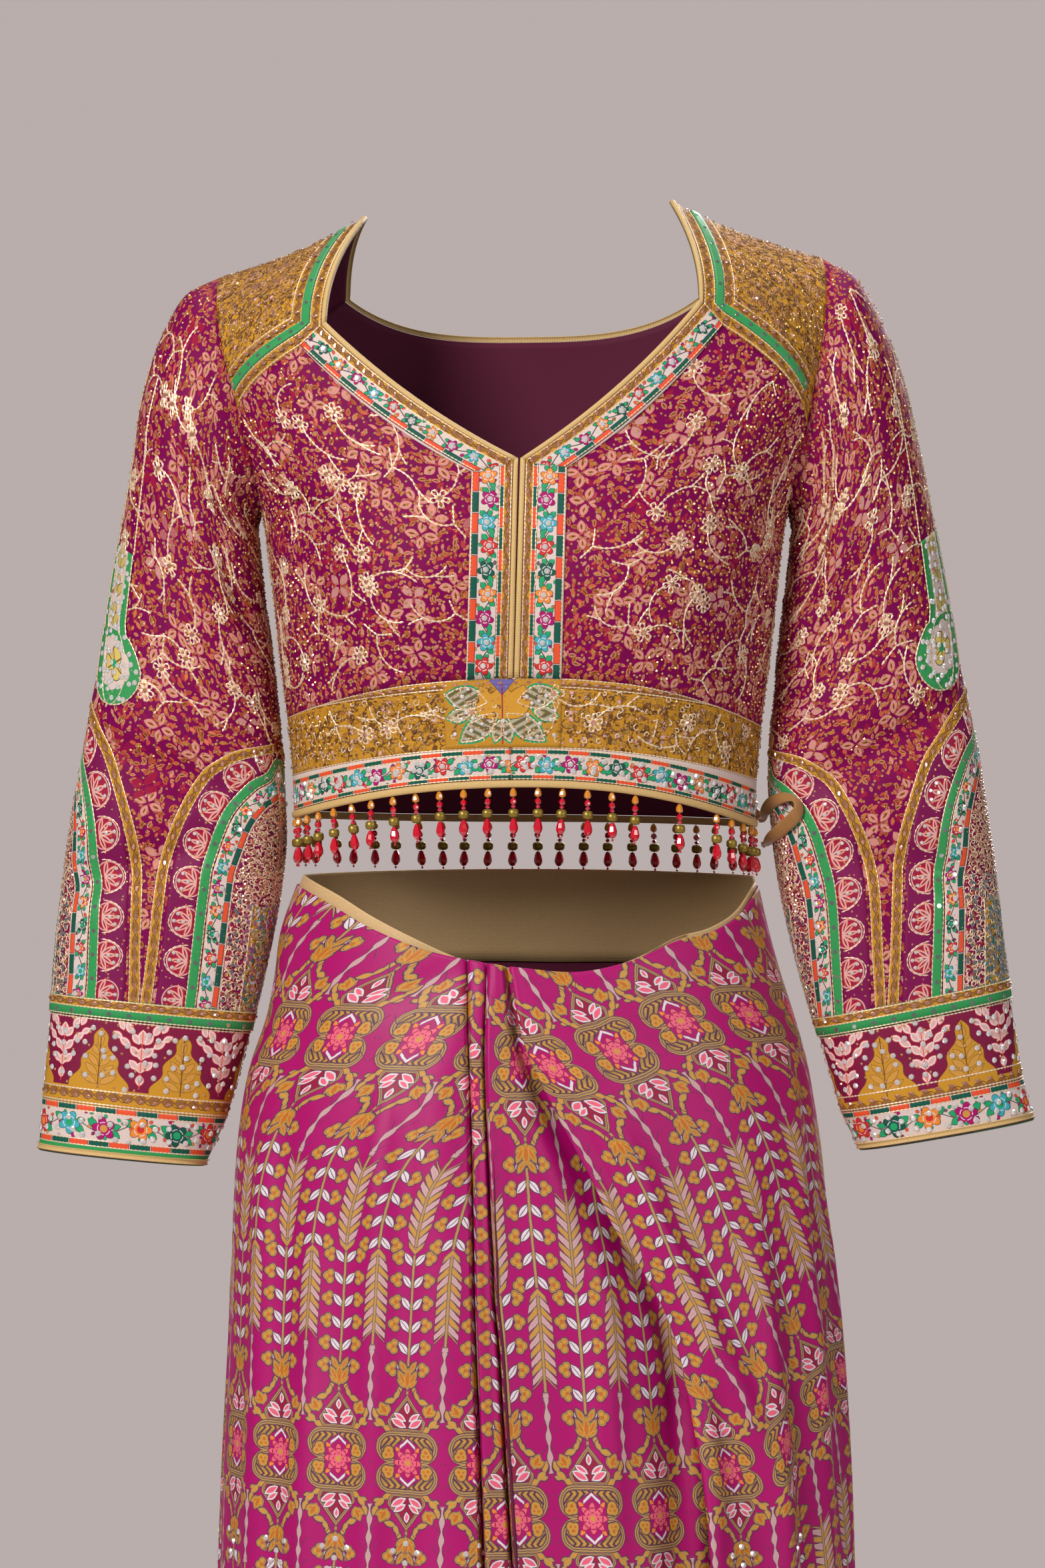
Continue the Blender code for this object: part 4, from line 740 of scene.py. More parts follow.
def strand_angles(first, last):
    """Angles of strand roots, one pitch apart along the hem."""
    angles = np.linspace(first, last, HEM_SAMPLES)
    line = torso(angles, edge_height(HEM, angles))
    along = lengths(line)
    count = int(along[-1] / STRAND_PITCH)
    spare = (along[-1] - count * STRAND_PITCH) / 2
    return np.interp(spare + STRAND_PITCH * (np.arange(count) + 0.5), along, angles)


# Colours, as a screen shows them
def srgb(red, green, blue):
    """A screen colour from 0 to 255 as the shader's linear one."""
    values = np.array([red, green, blue]) / 255
    linear = np.where(values <= 0.04045, values / 12.92, ((values + 0.055) / 1.055) ** 2.4)
    return (*linear.tolist(), 1.0)


MAGENTA = srgb(178, 2, 108)
MAUVE = srgb(92, 52, 78)
GOLD_LINE = srgb(184, 148, 92)
GOLD_LEAF = srgb(176, 138, 70)
OCHRE = srgb(210, 152, 66)
RUST = srgb(196, 112, 38)
PETAL_WHITE = srgb(232, 220, 226)
WHEAT = srgb(214, 170, 172)
STRING = srgb(206, 164, 166)
PINK = srgb(238, 104, 130)
CRIMSON = srgb(158, 22, 62)
PLUM = srgb(124, 2, 78)
PEACH = srgb(232, 146, 120)
PALE_PINK = srgb(228, 176, 168)
YOKE_GOLD = srgb(204, 146, 40)
UMBER = srgb(112, 72, 34)
BORDER_GROUND = srgb(224, 204, 196)
DARK_GREEN = srgb(14, 88, 72)
ORANGE_RED = srgb(235, 84, 48)
EMERALD = srgb(34, 166, 108)
TEAL = srgb(66, 176, 190)
RED = srgb(214, 48, 40)
ORANGE = srgb(240, 142, 56)
VINE = srgb(60, 44, 58)
LINING = srgb(96, 14, 52)


# Values that a material works out at each point
class Field:
    """A number at each point of a surface, usable in ordinary sums."""

    def __init__(self, tree, socket):
        self.tree = tree
        self.socket = socket

    def __add__(self, other):
        return sums(self.tree, "ADD", self, other)

    __radd__ = __add__

    def __sub__(self, other):
        return sums(self.tree, "SUBTRACT", self, other)

    def __rsub__(self, other):
        return sums(self.tree, "SUBTRACT", other, self)

    def __mul__(self, other):
        return sums(self.tree, "MULTIPLY", self, other)

    __rmul__ = __mul__

    def __truediv__(self, other):
        return sums(self.tree, "DIVIDE", self, other)

    def __abs__(self):
        return sums(self.tree, "ABSOLUTE", self)

    def over(self, other):
        return sums(self.tree, "MAXIMUM", self, other)

    def under(self, other):
        return sums(self.tree, "MINIMUM", self, other)

    def wrap(self, period):
        return sums(self.tree, "WRAP", self, period, 0.0)

    def floor(self):
        return sums(self.tree, "FLOOR", self)

    def sine(self):
        return sums(self.tree, "SINE", self)

    def root(self):
        return sums(self.tree, "SQRT", self)

    def mask(self, soft=0.3):
        """1 where the value is above 0 and 0 below, over a soft edge."""
        return sums(self.tree, "MULTIPLY_ADD", self, 1 / soft, 0.5, clamp=True)


def feed(tree, slot, value):
    """Give an input its value: a number, a colour, a field or another node's output."""
    value = value.socket if isinstance(value, Field) else value
    if isinstance(value, bpy.types.NodeSocket):
        tree.links.new(value, slot)
    else:
        slot.default_value = value


def add_node(tree, kind, values=(), **settings):
    """A shader node with these settings, and values for its inputs, in turn or by name."""
    node = tree.nodes.new("ShaderNode" + kind)
    for name, setting in settings.items():
        setattr(node, name, setting)
    for slot, value in values.items() if isinstance(values, dict) else enumerate(values):
        feed(tree, node.inputs[slot], value)
    return node


def sums(tree, operation, *values, clamp=False):
    return Field(tree, add_node(tree, "Math", values, operation=operation, use_clamp=clamp).outputs[0])


def vectors(tree, operation, *values):
    return add_node(tree, "VectorMath", values, operation=operation).outputs


def apart(tree, vector):
    """The first two parts of a vector, as fields."""
    found = add_node(tree, "SeparateXYZ", (vector,)).outputs
    return Field(tree, found[0]), Field(tree, found[1])


class Spot:
    """A place on the cloth in millimetres."""

    def __init__(self, tree, x, y):
        self.tree, self.x, self.y = tree, x, y
        self.socket = add_node(tree, "CombineXYZ", (x, y, 1.0)).outputs[0]

    def measure(self, operation, vector):
        return Field(self.tree, vectors(self.tree, operation, self.socket, vector)["Value"])

    def line(self, a, b, c):
        """a * x + b * y + c."""
        return self.measure("DOT_PRODUCT", (a, b, c))

    def reach(self, at=(0, 0)):
        """The distance from a point."""
        return self.measure("DISTANCE", (*at, 1.0))

    def disc(self, at, radius):
        return radius - self.reach(at)

    def petal(self, at, angle, length, width):
        """How far inside a petal with pointed ends each point is. It starts at a point, along an angle."""
        c, s = math.cos(math.radians(angle)), math.sin(math.radians(angle))
        along = self.line(c / length, s / length, -(at[0] * c + at[1] * s) / length)
        off = abs(self.line(-s, c, at[0] * s - at[1] * c))
        return (along - along * along) * (2 * width) - off

    def turn(self):
        """The angle round the origin, in radians."""
        return sums(self.tree, "ARCTAN2", self.y, self.x)


def union(*shapes):
    whole = shapes[0]
    for shape in shapes[1:]:
        whole = whole.over(shape)
    return whole


def mix(tree, below, above, share, blend="MIX"):
    values = {0: share, 6: below, 7: above}
    return add_node(tree, "Mix", values, data_type="RGBA", blend_type=blend).outputs[2]


class Coat:
    """Paint laid on in turn: the colour so far, and how much of the ground is covered."""

    def __init__(self, tree, ground):
        self.tree = tree
        self.colour = ground
        self.cover = None

    def paint(self, colour, shape, soft=0.3):
        share = shape.mask(soft)
        self.colour = mix(self.tree, self.colour, colour, share)
        self.cover = share if self.cover is None else self.cover.over(share)

    def lined(self, colour, shape, line=0.55, outline=MAUVE):
        """Paint with a dark outline round it."""
        self.paint(outline, shape + line)
        self.paint(colour, shape)

    def layers(self, shape, *layers):
        """Paint on one shape, each layer (colour, growth, softness) grown by its own distance."""
        for colour, growth, *soft in layers:
            self.paint(colour, shape + growth if growth else shape, *soft)


def choose(tree, index, colours):
    """A colour for each whole number of an index that repeats."""
    node = add_node(tree, "ValToRGB", ((index.wrap(len(colours)) + 0.5) / len(colours),))
    node.color_ramp.interpolation = "CONSTANT"
    stops = node.color_ramp.elements
    while len(stops) < len(colours):
        stops.new(1.0)
    for k, colour in enumerate(colours):
        stops[k].position = k / len(colours)
        stops[k].color = colour
    return node.outputs[0]


def noise(tree, vector, scale, output=0):
    values = {"Vector": vector, "Scale": scale, "Detail": 2.0}
    return Field(tree, add_node(tree, "TexNoise", values).outputs[output])


def new_material(name, values):
    """A material and its shader, with these values on the shader's own sockets."""
    material = bpy.data.materials.new(name)
    material.use_nodes = True
    shader = material.node_tree.nodes["Principled BSDF"]
    for socket, value in values.items():
        shader.inputs[socket].default_value = value
    return material, shader


class Finish:
    """A material under construction: its shader, and its cloth coordinates in millimetres."""

    def __init__(self, name, roughness=0.6, metallic=0.0, sheen=0.0, gloss=0.25):
        values = {
            "Roughness": roughness,
            "Metallic": metallic,
            "Sheen Weight": sheen,
            "Specular IOR Level": gloss,
        }
        self.material, self.shader = new_material(name, values)
        self.tree = self.material.node_tree
        metres = add_node(self.tree, "UVMap", uv_map="cloth").outputs[0]
        scaled = add_node(self.tree, "VectorMath", {0: metres, "Scale": 1000.0}, operation="SCALE")
        self.cloth = scaled.outputs[0]
        self.u, self.v = apart(self.tree, self.cloth)

    def vary(self, value, scale, amount):
        """The colour made a little lighter and darker in soft patches."""
        shade = (noise(self.tree, self.cloth, scale) - 0.5) * amount + 1.0
        grey = add_node(self.tree, "CombineXYZ", (shade, shade, shade)).outputs[0]
        return mix(self.tree, value, grey, 1.0, blend="MULTIPLY")

    def done(self, colour, patches, height, depth, strength):
        """The material with a colour that varies in patches, and a height from 0 to 1 as bump, in metres."""
        feed(self.tree, self.shader.inputs["Base Color"], self.vary(colour, *patches))
        bump = add_node(self.tree, "Bump", {"Distance": depth, "Strength": strength, "Height": height})
        feed(self.tree, self.shader.inputs["Normal"], bump.outputs[0])
        return self.material

    def weave(self, pitch):
        """A height that goes over and under like threads this far apart, in millimetres."""
        turn = math.pi / pitch
        over = (self.u * turn).sine()
        under = (self.v * turn).sine()
        return over * under * 0.5 + 0.5


# The saree's print: columns of flowers, buds and wheat ears in a half-drop repeat
COLUMN_PITCH = 23.5
HALF_REPEAT = 261.5
BUD_START, BUD_PITCH, BUD_END = 50.5, 13.8, 133.3
EAR_START, EAR_END, LEAF_PITCH = 134.0, 189.0, 5.1
STRING_END, KNOT_PITCH = 235.5, 11.6
PRINT_WOBBLE = 0.9
# Leaves of the print in millimetres. Columns: x, y, angle, length, width
ARM_LEAVES = (
    (8.6, 19.4, 22.0, 8.0, 4.2),
    (14.6, 22.2, 42.0, 7.6, 4.2),
    (19.0, 26.4, 72.0, 7.4, 3.8),
    (17.2, 22.6, 20.0, 4.6, 2.4),
    (14.4, 37.0, 162.0, 7.6, 3.8),
    (8.4, 38.8, 120.0, 6.6, 3.0),
    (6.2, 42.2, 112.0, 6.4, 3.0),
)
HOOK_LEAVES = (
    (12.8, 28.8, 62.0, 9.4, 5.4),
    (13.4, 30.0, 24.0, 6.8, 4.0),
    (13.0, 29.4, 98.0, 6.4, 3.2),
)
CLUSTER_LEAVES = (
    (0.0, 45.0, 90.0, 14.0, 5.6),
    (0.8, 47.0, 62.0, 12.0, 4.6),
    (0.6, 46.5, 40.0, 8.0, 3.6),
    (0.6, 55.0, 58.0, 10.0, 4.0),
)
PALMETTE_PETALS = (
    (0.0, 30.4, 90.0, 6.8, 3.6),
    (1.0, 25.6, 34.0, 9.4, 3.9),
    (1.0, 21.8, 30.0, 11.0, 4.9),
)
FLOWER_TIPS = ((5.2, 6.0, 52.0, 4.6, 2.4),)
# Round parts of the print. Columns: middle, radius
HEART_DISCS = (((14.0, 4.6), 2.2), ((12.4, 7.2), 2.4), ((11.2, 4.8), 2.0))
TREFOIL_DISCS = (((12.0, 0.9), 2.2), ((9.6, 2.9), 1.9), ((9.8, -1.6), 2.0))


def medallion(coat, spot, a, w):
    """Two stacked lobes in a gold band, with leaves in them, a many-petalled flower and a chevron."""
    rise = w - 9.4
    side = (a - 10.3).over(0.0)
    inside = 9.7 - (side * side + rise * rise).root()
    coat.layers(inside, (MAUVE, 0.55), (GOLD_LINE, 0))
    coat.paint(MAUVE, 0.22 - abs(inside - 1.15), 0.2)
    coat.paint(MAUVE, inside - 2.3)
    slant = a - abs(w - 14.4) * 0.9
    blades = (1.20 - abs(slant.wrap(3.9) - 1.95)).under(inside - 3.0)
    coat.paint(GOLD_LEAF, blades)
    coat.paint(OCHRE, (blades - 0.55).under(1.3 - abs(w - 14.4)))
    heart = union(*(spot.disc(*row) for row in HEART_DISCS)).under(a - 9.3)
    coat.layers(heart, (MAUVE, 1.1), (GOLD_LEAF, 0.5), (OCHRE, 0), (RUST, -1.3, 0.6))
    field = (8.6 - a).under(15.4 - w - a * 0.66)
    coat.layers(field, (MAUVE, 0.5), (MAGENTA, 0))
    coat.paint(ORANGE, leaves(spot, FLOWER_TIPS))
    reach = spot.reach()
    fan = abs((spot.turn() * 4.0).sine())
    fan = (1.0 - fan * fan).root()
    coat.paint(CRIMSON, 9.2 * (fan * 0.5 + 0.5) - reach + 0.45)
    coat.paint(PINK, 8.9 * (fan * 0.54 + 0.46) - reach)
    coat.paint(CRIMSON, (0.34 - abs(reach - 6.2)).under(fan - 0.55), 0.2)
    coat.paint(CRIMSON, (0.30 - abs(reach - 3.4)).under(fan - 0.62), 0.2)
    coat.paint(OCHRE, 1.8 - reach)
    tip = abs(w + a * 0.86 - 13.9)
    coat.lined(PETAL_WHITE, (0.95 - tip).under(5.2 - a), 0.35)


def palmette(coat, spot, a, w):
    """A spade with white petals, its broad end on the medallion."""
    round_end = (25.2 - w).over(0.0)
    point = ((41.8 - w) * 0.78 - a) * 0.79
    inside = (12.4 - round_end * round_end * 0.085 - a).under(point).under(w - 19.2)
    coat.layers(inside, (MAUVE, 0.55), (GOLD_LINE, 0))
    coat.paint(MAUVE, 0.18 - abs(inside - 0.95), 0.2)
    coat.layers(inside, (MAUVE, -1.7), (CRIMSON, -2.2))
    petals = leaves(spot, PALMETTE_PETALS)
    coat.lined(PETAL_WHITE, petals, 0.5)
    coat.paint(PINK, petals - 0.95)


def leaves(spot, table):
    return union(*(spot.petal((x, y), *petal) for x, y, *petal in table))


def column_print(tree, u, v):
    """The colour and cover of one upright column of the print, from the middle of its medallion."""
    a, w = abs(u), abs(v)
    spot = Spot(tree, a, w)
    coat = Coat(tree, MAGENTA)
    knots = (w * (math.pi / KNOT_PITCH)).sine()
    string = (knots * knots * 1.35 + 0.5 - a).under(w - EAR_END + 2.0).under(STRING_END - w)
    coat.lined(STRING, string, 0.5)
    arms = leaves(spot, ARM_LEAVES)
    coat.lined(GOLD_LINE, arms, 0.8)
    coat.paint(OCHRE, arms - 0.85)
    hooks = leaves(spot, HOOK_LEAVES)
    coat.layers(hooks, (MAUVE, 0.95), (GOLD_LINE, 0.35), (UMBER, -0.25), (OCHRE, -0.45), (RUST, -1.5, 0.5))
    stem = (0.75 - a).under(w - 40.0).under(EAR_END - w)
    bud_v = (w - BUD_START).wrap(BUD_PITCH) - BUD_PITCH / 2
    bud = Spot(tree, a, bud_v)
    in_buds = (w - BUD_START).under(BUD_END - w)
    trefoil = union(*(bud.disc(*row) for row in TREFOIL_DISCS)).under(in_buds)
    coat.layers(trefoil, (MAUVE, 1.0), (GOLD_LINE, 0.4), (UMBER, -0.25), (OCHRE, -0.45))
    coat.paint(RUST, (bud.disc((10.4, 0.6), 1.2)).under(in_buds), 0.8)
    blade = bud.petal((0.6, -4.2), 50, 9.8, 4.0)
    coat.lined(PETAL_WHITE, blade.under(in_buds), 0.7)
    coat.paint(MAUVE, (0.22 - abs(bud.line(-0.766, 0.643, 3.16))).under(blade - 0.5), 0.2)
    coat.lined(GOLD_LINE, stem, 0.45)
    cluster = leaves(spot, CLUSTER_LEAVES)
    coat.lined(GOLD_LINE, cluster, 0.8)
    coat.layers(cluster, (UMBER, -0.5), (OCHRE, -0.7), (RUST, -1.4, 0.5))
    slant = w - a
    leaf_v = slant.wrap(LEAF_PITCH) - LEAF_PITCH / 2
    taper = ((slant - EAR_START + 6.0) * 0.30 + 4.2).under(7.4)
    ear = (2.35 - a * a * 0.016 - abs(leaf_v)).under(taper - a).under(slant - EAR_START + 5.0)
    ear = ear.under(EAR_END - slant - 9.0)
    coat.paint(MAUVE, ear + 0.6)
    odd = (slant / LEAF_PITCH).floor()
    coat.paint(choose(tree, odd, (WHEAT, GOLD_LINE)), ear)
    coat.paint(choose(tree, odd, (STRING, OCHRE)), ear - 1.0, 0.5)
    coat.lined(GOLD_LINE, stem.under(w - EAR_START), 0.35)
    palmette(coat, spot, a, w)
    medallion(coat, spot, a, w)
    return coat.colour, coat.cover


def group_of(name, inputs, outputs, build):
    """A node group with these sockets, filled by a function of (tree, input fields)."""
    tree = bpy.data.node_groups.new(name, "ShaderNodeTree")
    for socket in inputs:
        tree.interface.new_socket(name=socket, in_out="INPUT", socket_type="NodeSocketFloat")
    for socket, kind in outputs:
        tree.interface.new_socket(name=socket, in_out="OUTPUT", socket_type="NodeSocket" + kind)
    start = tree.nodes.new("NodeGroupInput")
    end = tree.nodes.new("NodeGroupOutput")
    results = build(tree, *(Field(tree, start.outputs[k]) for k in range(len(inputs))))
    for slot, result in zip(end.inputs, results):
        feed(tree, slot, result)
    return tree


def saree_finish():
    finish = Finish("saree print", roughness=0.48, gloss=0.32)
    tree = finish.tree
    group = group_of("saree column", ("u", "v"), (("colour", "Color"), ("cover", "Float")), column_print)
    u, v = (
        place + (noise(tree, finish.cloth, scale) - 0.5) * PRINT_WOBBLE
        for place, scale in ((finish.u, 0.22), (finish.v, 0.31))
    )
    covers = []
    colour = finish.vary(MAGENTA, 0.02, 0.16)
    for shift_u, shift_v in ((COLUMN_PITCH, HALF_REPEAT), (0.0, 0.0)):
        place_u = (u + shift_u).wrap(2 * COLUMN_PITCH) - COLUMN_PITCH
        place_v = (v + shift_v).wrap(2 * HALF_REPEAT) - HALF_REPEAT
        outputs = add_node(tree, "Group", (place_u, place_v), node_tree=group).outputs
        cover = Field(tree, outputs[1])
        colour = mix(tree, colour, outputs[0], cover)
        covers.append(cover)
    height = covers[0].over(covers[1]) * 0.6 + finish.weave(0.55) * 0.4
    return finish.done(colour, (0.9, 0.22), height, 0.00012, 0.7)


# Scattered motifs
VEIN_SHIFT = 0.16


class Scatter:
    """Random cells over the cloth: a turned spot at the middle of each, and three random numbers for it."""

    def __init__(self, finish, pitch, start, loose=1.0):
        tree = finish.tree
        moved = vectors(tree, "ADD", finish.cloth, (*start, 0.0))[0]
        values = {"Vector": moved, "Scale": 1 / pitch, "Randomness": loose}
        cells = add_node(tree, "TexVoronoi", values, voronoi_dimensions="2D").outputs
        picks = add_node(tree, "SeparateColor", (cells["Color"],)).outputs
        self.first, self.second, self.third = (Field(tree, socket) for socket in picks)
        values = {
            "Vector": vectors(tree, "SUBTRACT", moved, cells["Position"])[0],
            "Angle": self.first * (2 * math.pi),
        }
        turned = add_node(tree, "VectorRotate", values, rotation_type="Z_AXIS").outputs[0]
        self.spot = Spot(tree, *apart(tree, turned))

    def seed(self, length, width, shown):
        """A petal through the middle of each cell, where the third number is above the share shown."""
        return self.spot.petal((-length / 2, 0.0), 0.0, length, width).under((self.third - shown) * 4.0)


def pick(tree, share, colours):
    """One of the colours for a random number from 0 to 1."""
    return choose(tree, share * len(colours) - 0.5, colours)


def veins(finish, pitch, start, wobble):
    """The distance in millimetres from a wandering net of lines."""
    tree = finish.tree
    shift = noise(tree, finish.cloth, VEIN_SHIFT, output=1)
    moved = vectors(tree, "MULTIPLY_ADD", shift, (2 * wobble, 2 * wobble, 0.0), finish.cloth)[0]
    values = {"Vector": vectors(tree, "ADD", moved, (*start, 0.0))[0], "Scale": 1 / pitch}
    cells = add_node(tree, "TexVoronoi", values, voronoi_dimensions="2D", feature="DISTANCE_TO_EDGE")
    return Field(tree, cells.outputs["Distance"]) * pitch


# The blouse's embroidered cloths
CHAIN_PITCH = 8.4
LINK_BROWN = srgb(150, 98, 56)
SPRIG_PINK = srgb(204, 146, 140)
LEAF_TONES = (
    srgb(220, 118, 90),
    srgb(176, 120, 52),
    srgb(208, 142, 126),
    srgb(172, 74, 52),
    srgb(186, 124, 62),
    srgb(208, 96, 78),
)
# Columns: pitch, start, length, width
SMALL_LEAVES = ((3.6, (3.0, 9.0), 4.0, 1.9), (4.9, (41.0, 17.0), 5.6, 2.6))
# Columns: pitch, start, length, share left bare
GOLD_SEEDS = ((2.6, (11.0, 4.0), 2.0, 0.62), (4.2, (5.0, 21.0), 3.8, 0.50))
SPRIG_LEAVES = (
    (-0.6, 1.0, 118.0, 8.8, 5.2),
    (1.0, 0.5, 28.0, 8.2, 5.0),
    (0.5, -1.0, -62.0, 9.6, 5.1),
    (-1.0, -0.5, 208.0, 7.8, 4.8),
)


def leafy_finish(name):
    """A plum ground closely covered in small two-tone leaves, with paler sprigs of four leaves."""
    finish = Finish(name, roughness=0.55, gloss=0.10)
    tree = finish.tree
    coat = Coat(tree, finish.vary(PLUM, 0.05, 0.35))
    heights = []
    for pitch, start, length, width in SMALL_LEAVES:
        leaf = Scatter(finish, pitch, start)
        shape = leaf.seed(length, width, 0.50)
        edge = pick(tree, leaf.second, LEAF_TONES)
        heart = pick(tree, leaf.second, LEAF_TONES[2:] + LEAF_TONES[:2])
        coat.layers(shape, (CRIMSON, 0.2, 0.2), (edge, -0.05, 0.2), (heart, -0.45, 0.3), (UMBER, -0.80, 0.3))
        heights.append(shape.mask(0.8))
    bloom = Scatter(finish, 23.0, (7.0, 3.0), 0.85)
    petals = leaves(bloom.spot, SPRIG_LEAVES).under((0.68 - bloom.third) * 9.0)
    coat.layers(petals, (CRIMSON, 0.45), (SPRIG_PINK, 0), (PEACH, -1.1, 0.7), (UMBER, -1.9, 0.4))
    height = heights[0].over(heights[1]) * 0.5 + petals.mask(0.8) * 0.3 + finish.weave(0.6) * 0.2
    return finish.done(coat.colour, (1.1, 0.45), height, 0.00035, 0.8)


def chain_zone(coat, u, v, low, high, ground):
    """A printed chain between two places across: two dark lines that cross, on their own ground."""
    middle, half = (low + high) / 2, (high - low) / 2
    within = half - abs(u - middle)
    coat.paint(ground, within)
    turn = v * (math.pi / CHAIN_PITCH)
    swing = turn.sine() * (half * 0.62)
    coat.paint(LINK_BROWN, (abs(swing) - 0.45 - abs(u - middle)).under(within), 0.25)
    double = (turn + 0.9).sine() * (half * 0.62)
    for lane in (u - middle - swing, u - middle + swing, u - middle + double):
        coat.paint(UMBER, (0.30 - abs(lane)).under(within), 0.2)


def gold_finish(name, ground, lines, grain, zones=()):
    """Close gold embroidery: short curled stitches in several tones, with printed chains at its edges."""
    finish = Finish(name, roughness=0.55, metallic=0.1)
    tree = finish.tree
    coat = Coat(tree, finish.vary(ground, 0.06, 0.4))
    curl = Scatter(finish, 4.6, (2.0, 5.0))
    ring = (0.42 - abs(curl.spot.reach() - 1.5)).under(curl.spot.line(0.0, 1.0, 0.4))
    ring = ring.under((curl.third - 0.4) * 4.0)
    coat.paint(lines, ring + 0.2)
    coat.paint(pick(tree, curl.second, grain), ring - 0.12)
    heights = ring.mask(0.8) * 0.5
    for pitch, start, length, bare in GOLD_SEEDS:
        cells = Scatter(finish, pitch, start)
        dot = cells.seed(length, length * 0.7, bare)
        coat.layers(dot, (lines, 0.15, 0.2), (pick(tree, cells.second, grain), -0.1, 0.2))
        heights = heights + dot.mask(0.8) * 0.25
    scroll = 0.42 - veins(finish, 15.0, (31.0, 8.0), 4.0)
    coat.paint(lines, scroll, 0.3)
    for axis, low, high in zones:
        across, along = (finish.u, finish.v) if axis == "u" else (finish.v, finish.u)
        chain_zone(coat, across, along, low, high, ground)
    return finish.done(coat.colour, (1.0, 0.35), heights, 0.0006, 0.9)


# The floral borders: u across from the inner edge, v along, both in millimetres
FLOWER_PITCH = 14.5
DASH_PITCH = 13.0
RIBBON_GREEN = srgb(52, 154, 86)
PATCH_YELLOW = srgb(226, 200, 108)
FLOWER_COLOURS = (RED, TEAL, MAGENTA, ORANGE, DARK_GREEN)
FLOWER_HEARTS = (ORANGE, EMERALD, OCHRE, RED, EMERALD)
SPECK_COLOURS = (EMERALD, ORANGE_RED, OCHRE, EMERALD, MAGENTA)


def dashes(coat, u, v, low, high, shift=0.0):
    """A column of long dashes, dark green and orange-red by turns."""
    tree = coat.tree
    place = v + shift
    index = (place / DASH_PITCH).floor()
    local = place.wrap(DASH_PITCH) - DASH_PITCH / 2
    inside = ((high - low) / 2 - abs(u - (low + high) / 2)).under(DASH_PITCH / 2 - 0.55 - abs(local))
    coat.paint(VINE, inside + 0.35)
    coat.paint(choose(tree, index, (DARK_GREEN, ORANGE_RED)), inside)
    return inside


def border_finish(name, zones):
    """A pale floral border: chain ground, dashes and flowers between the given places across."""
    finish = Finish(name, roughness=0.6)
    tree, u, v = finish.tree, finish.u, finish.v
    coat = Coat(tree, finish.vary(BORDER_GROUND, 0.5, 0.16))
    low, high = zones["floral"]
    middle, half = (low + high) / 2, (high - low) / 2
    pitch = zones.get("pitch", FLOWER_PITCH)
    sway = (v * (math.pi / pitch)).sine()
    vine = 0.32 - abs(u - middle - sway * (half * 0.45))
    coat.paint(VINE, vine, 0.25)
    speck = Scatter(finish, 4.4, (5.0, 2.0))
    speckle = speck.seed(3.0, 1.9, 0.55).under(half - abs(u - middle) - 0.5)
    coat.layers(speckle, (VINE, 0.2), (pick(tree, speck.second, SPECK_COLOURS), -0.05))
    index = (v / pitch).floor()
    local_v = v.wrap(pitch) - pitch / 2
    side = (index.wrap(2.0) - 0.5) * (half * 0.2)
    spot = Spot(tree, u - middle + side, local_v)
    size = min(half * 0.90, pitch * 0.40)
    leaf = union(
        spot.petal((1.2, size * 0.5), 58, size * 0.95, size * 0.55),
        spot.petal((-1.2, -size * 0.5), 238, size * 0.95, size * 0.55),
        spot.petal((-1.0, size * 0.6), 104, size * 0.8, size * 0.45),
    ).under(half - 0.3 - abs(u - middle))
    coat.lined(EMERALD, leaf, 0.4, VINE)
    reach = spot.reach()
    fan = abs((spot.turn() * 2.5 + index * 1.3).sine())
    bloom = size * (fan * 0.42 + 0.52) - reach
    bloom = bloom.under(half - 0.2 - abs(u - middle))
    coat.lined(choose(tree, index, FLOWER_COLOURS), bloom, 0.4, VINE)
    coat.paint(PETAL_WHITE, (0.25 - abs(reach - size * 0.5)).under(fan - 0.45), 0.2)
    coat.paint(choose(tree, index, FLOWER_HEARTS), size * 0.3 - reach)
    height = bloom.mask(1.2) * 0.5 + leaf.mask(1.0) * 0.3 + speckle.mask(0.8) * 0.2
    for k, (start, end) in enumerate(zones["dashes"]):
        inside = dashes(coat, u, v, start, end, k * 4.0)
        height = height + inside.mask(0.6) * 0.5
    for start, end in zones["chain"]:
        chain_zone(coat, u, v, start, end, YOKE_GOLD)
    for start, end in zones.get("green", ()):
        coat.paint(RIBBON_GREEN, (end - u).under(u - start))
    return finish.done(coat.colour, (1.4, 0.35), height + finish.weave(0.6) * 0.12, 0.0006, 0.8)


def thread_finish(name, colour, pitch):
    """Close ribs across a cord, a piping or a ribbon."""
    finish = Finish(name, roughness=0.45)
    ribs = (finish.v * (math.pi / pitch)).sine()
    return finish.done(colour, (0.6, 0.25), ribs * 0.5 + 0.5, 0.00015, 0.6)


def satin_finish(name, colour):
    """Smooth satin with a soft band of light."""
    finish = Finish(name, roughness=0.32, sheen=0.2)
    finish.shader.inputs["Anisotropic"].default_value = 0.6
    return finish.done(colour, (0.2, 0.18), finish.weave(0.35), 0.00005, 0.5)


# Strips of the sleeves and cuffs
FAN_BLADES = (180, 145, 215, 112, 248)


def chain_finish(name, width):
    """An ochre band with a printed chain, for a strip of this width in millimetres."""
    finish = Finish(name, roughness=0.55)
    coat = Coat(finish.tree, finish.vary(YOKE_GOLD, 0.3, 0.25))
    chain_zone(coat, finish.u, finish.v, -width / 2 + 0.4, width / 2 - 0.4, YOKE_GOLD)
    return finish.done(coat.colour, (1.2, 0.3), finish.weave(0.5), 0.0002, 0.7)


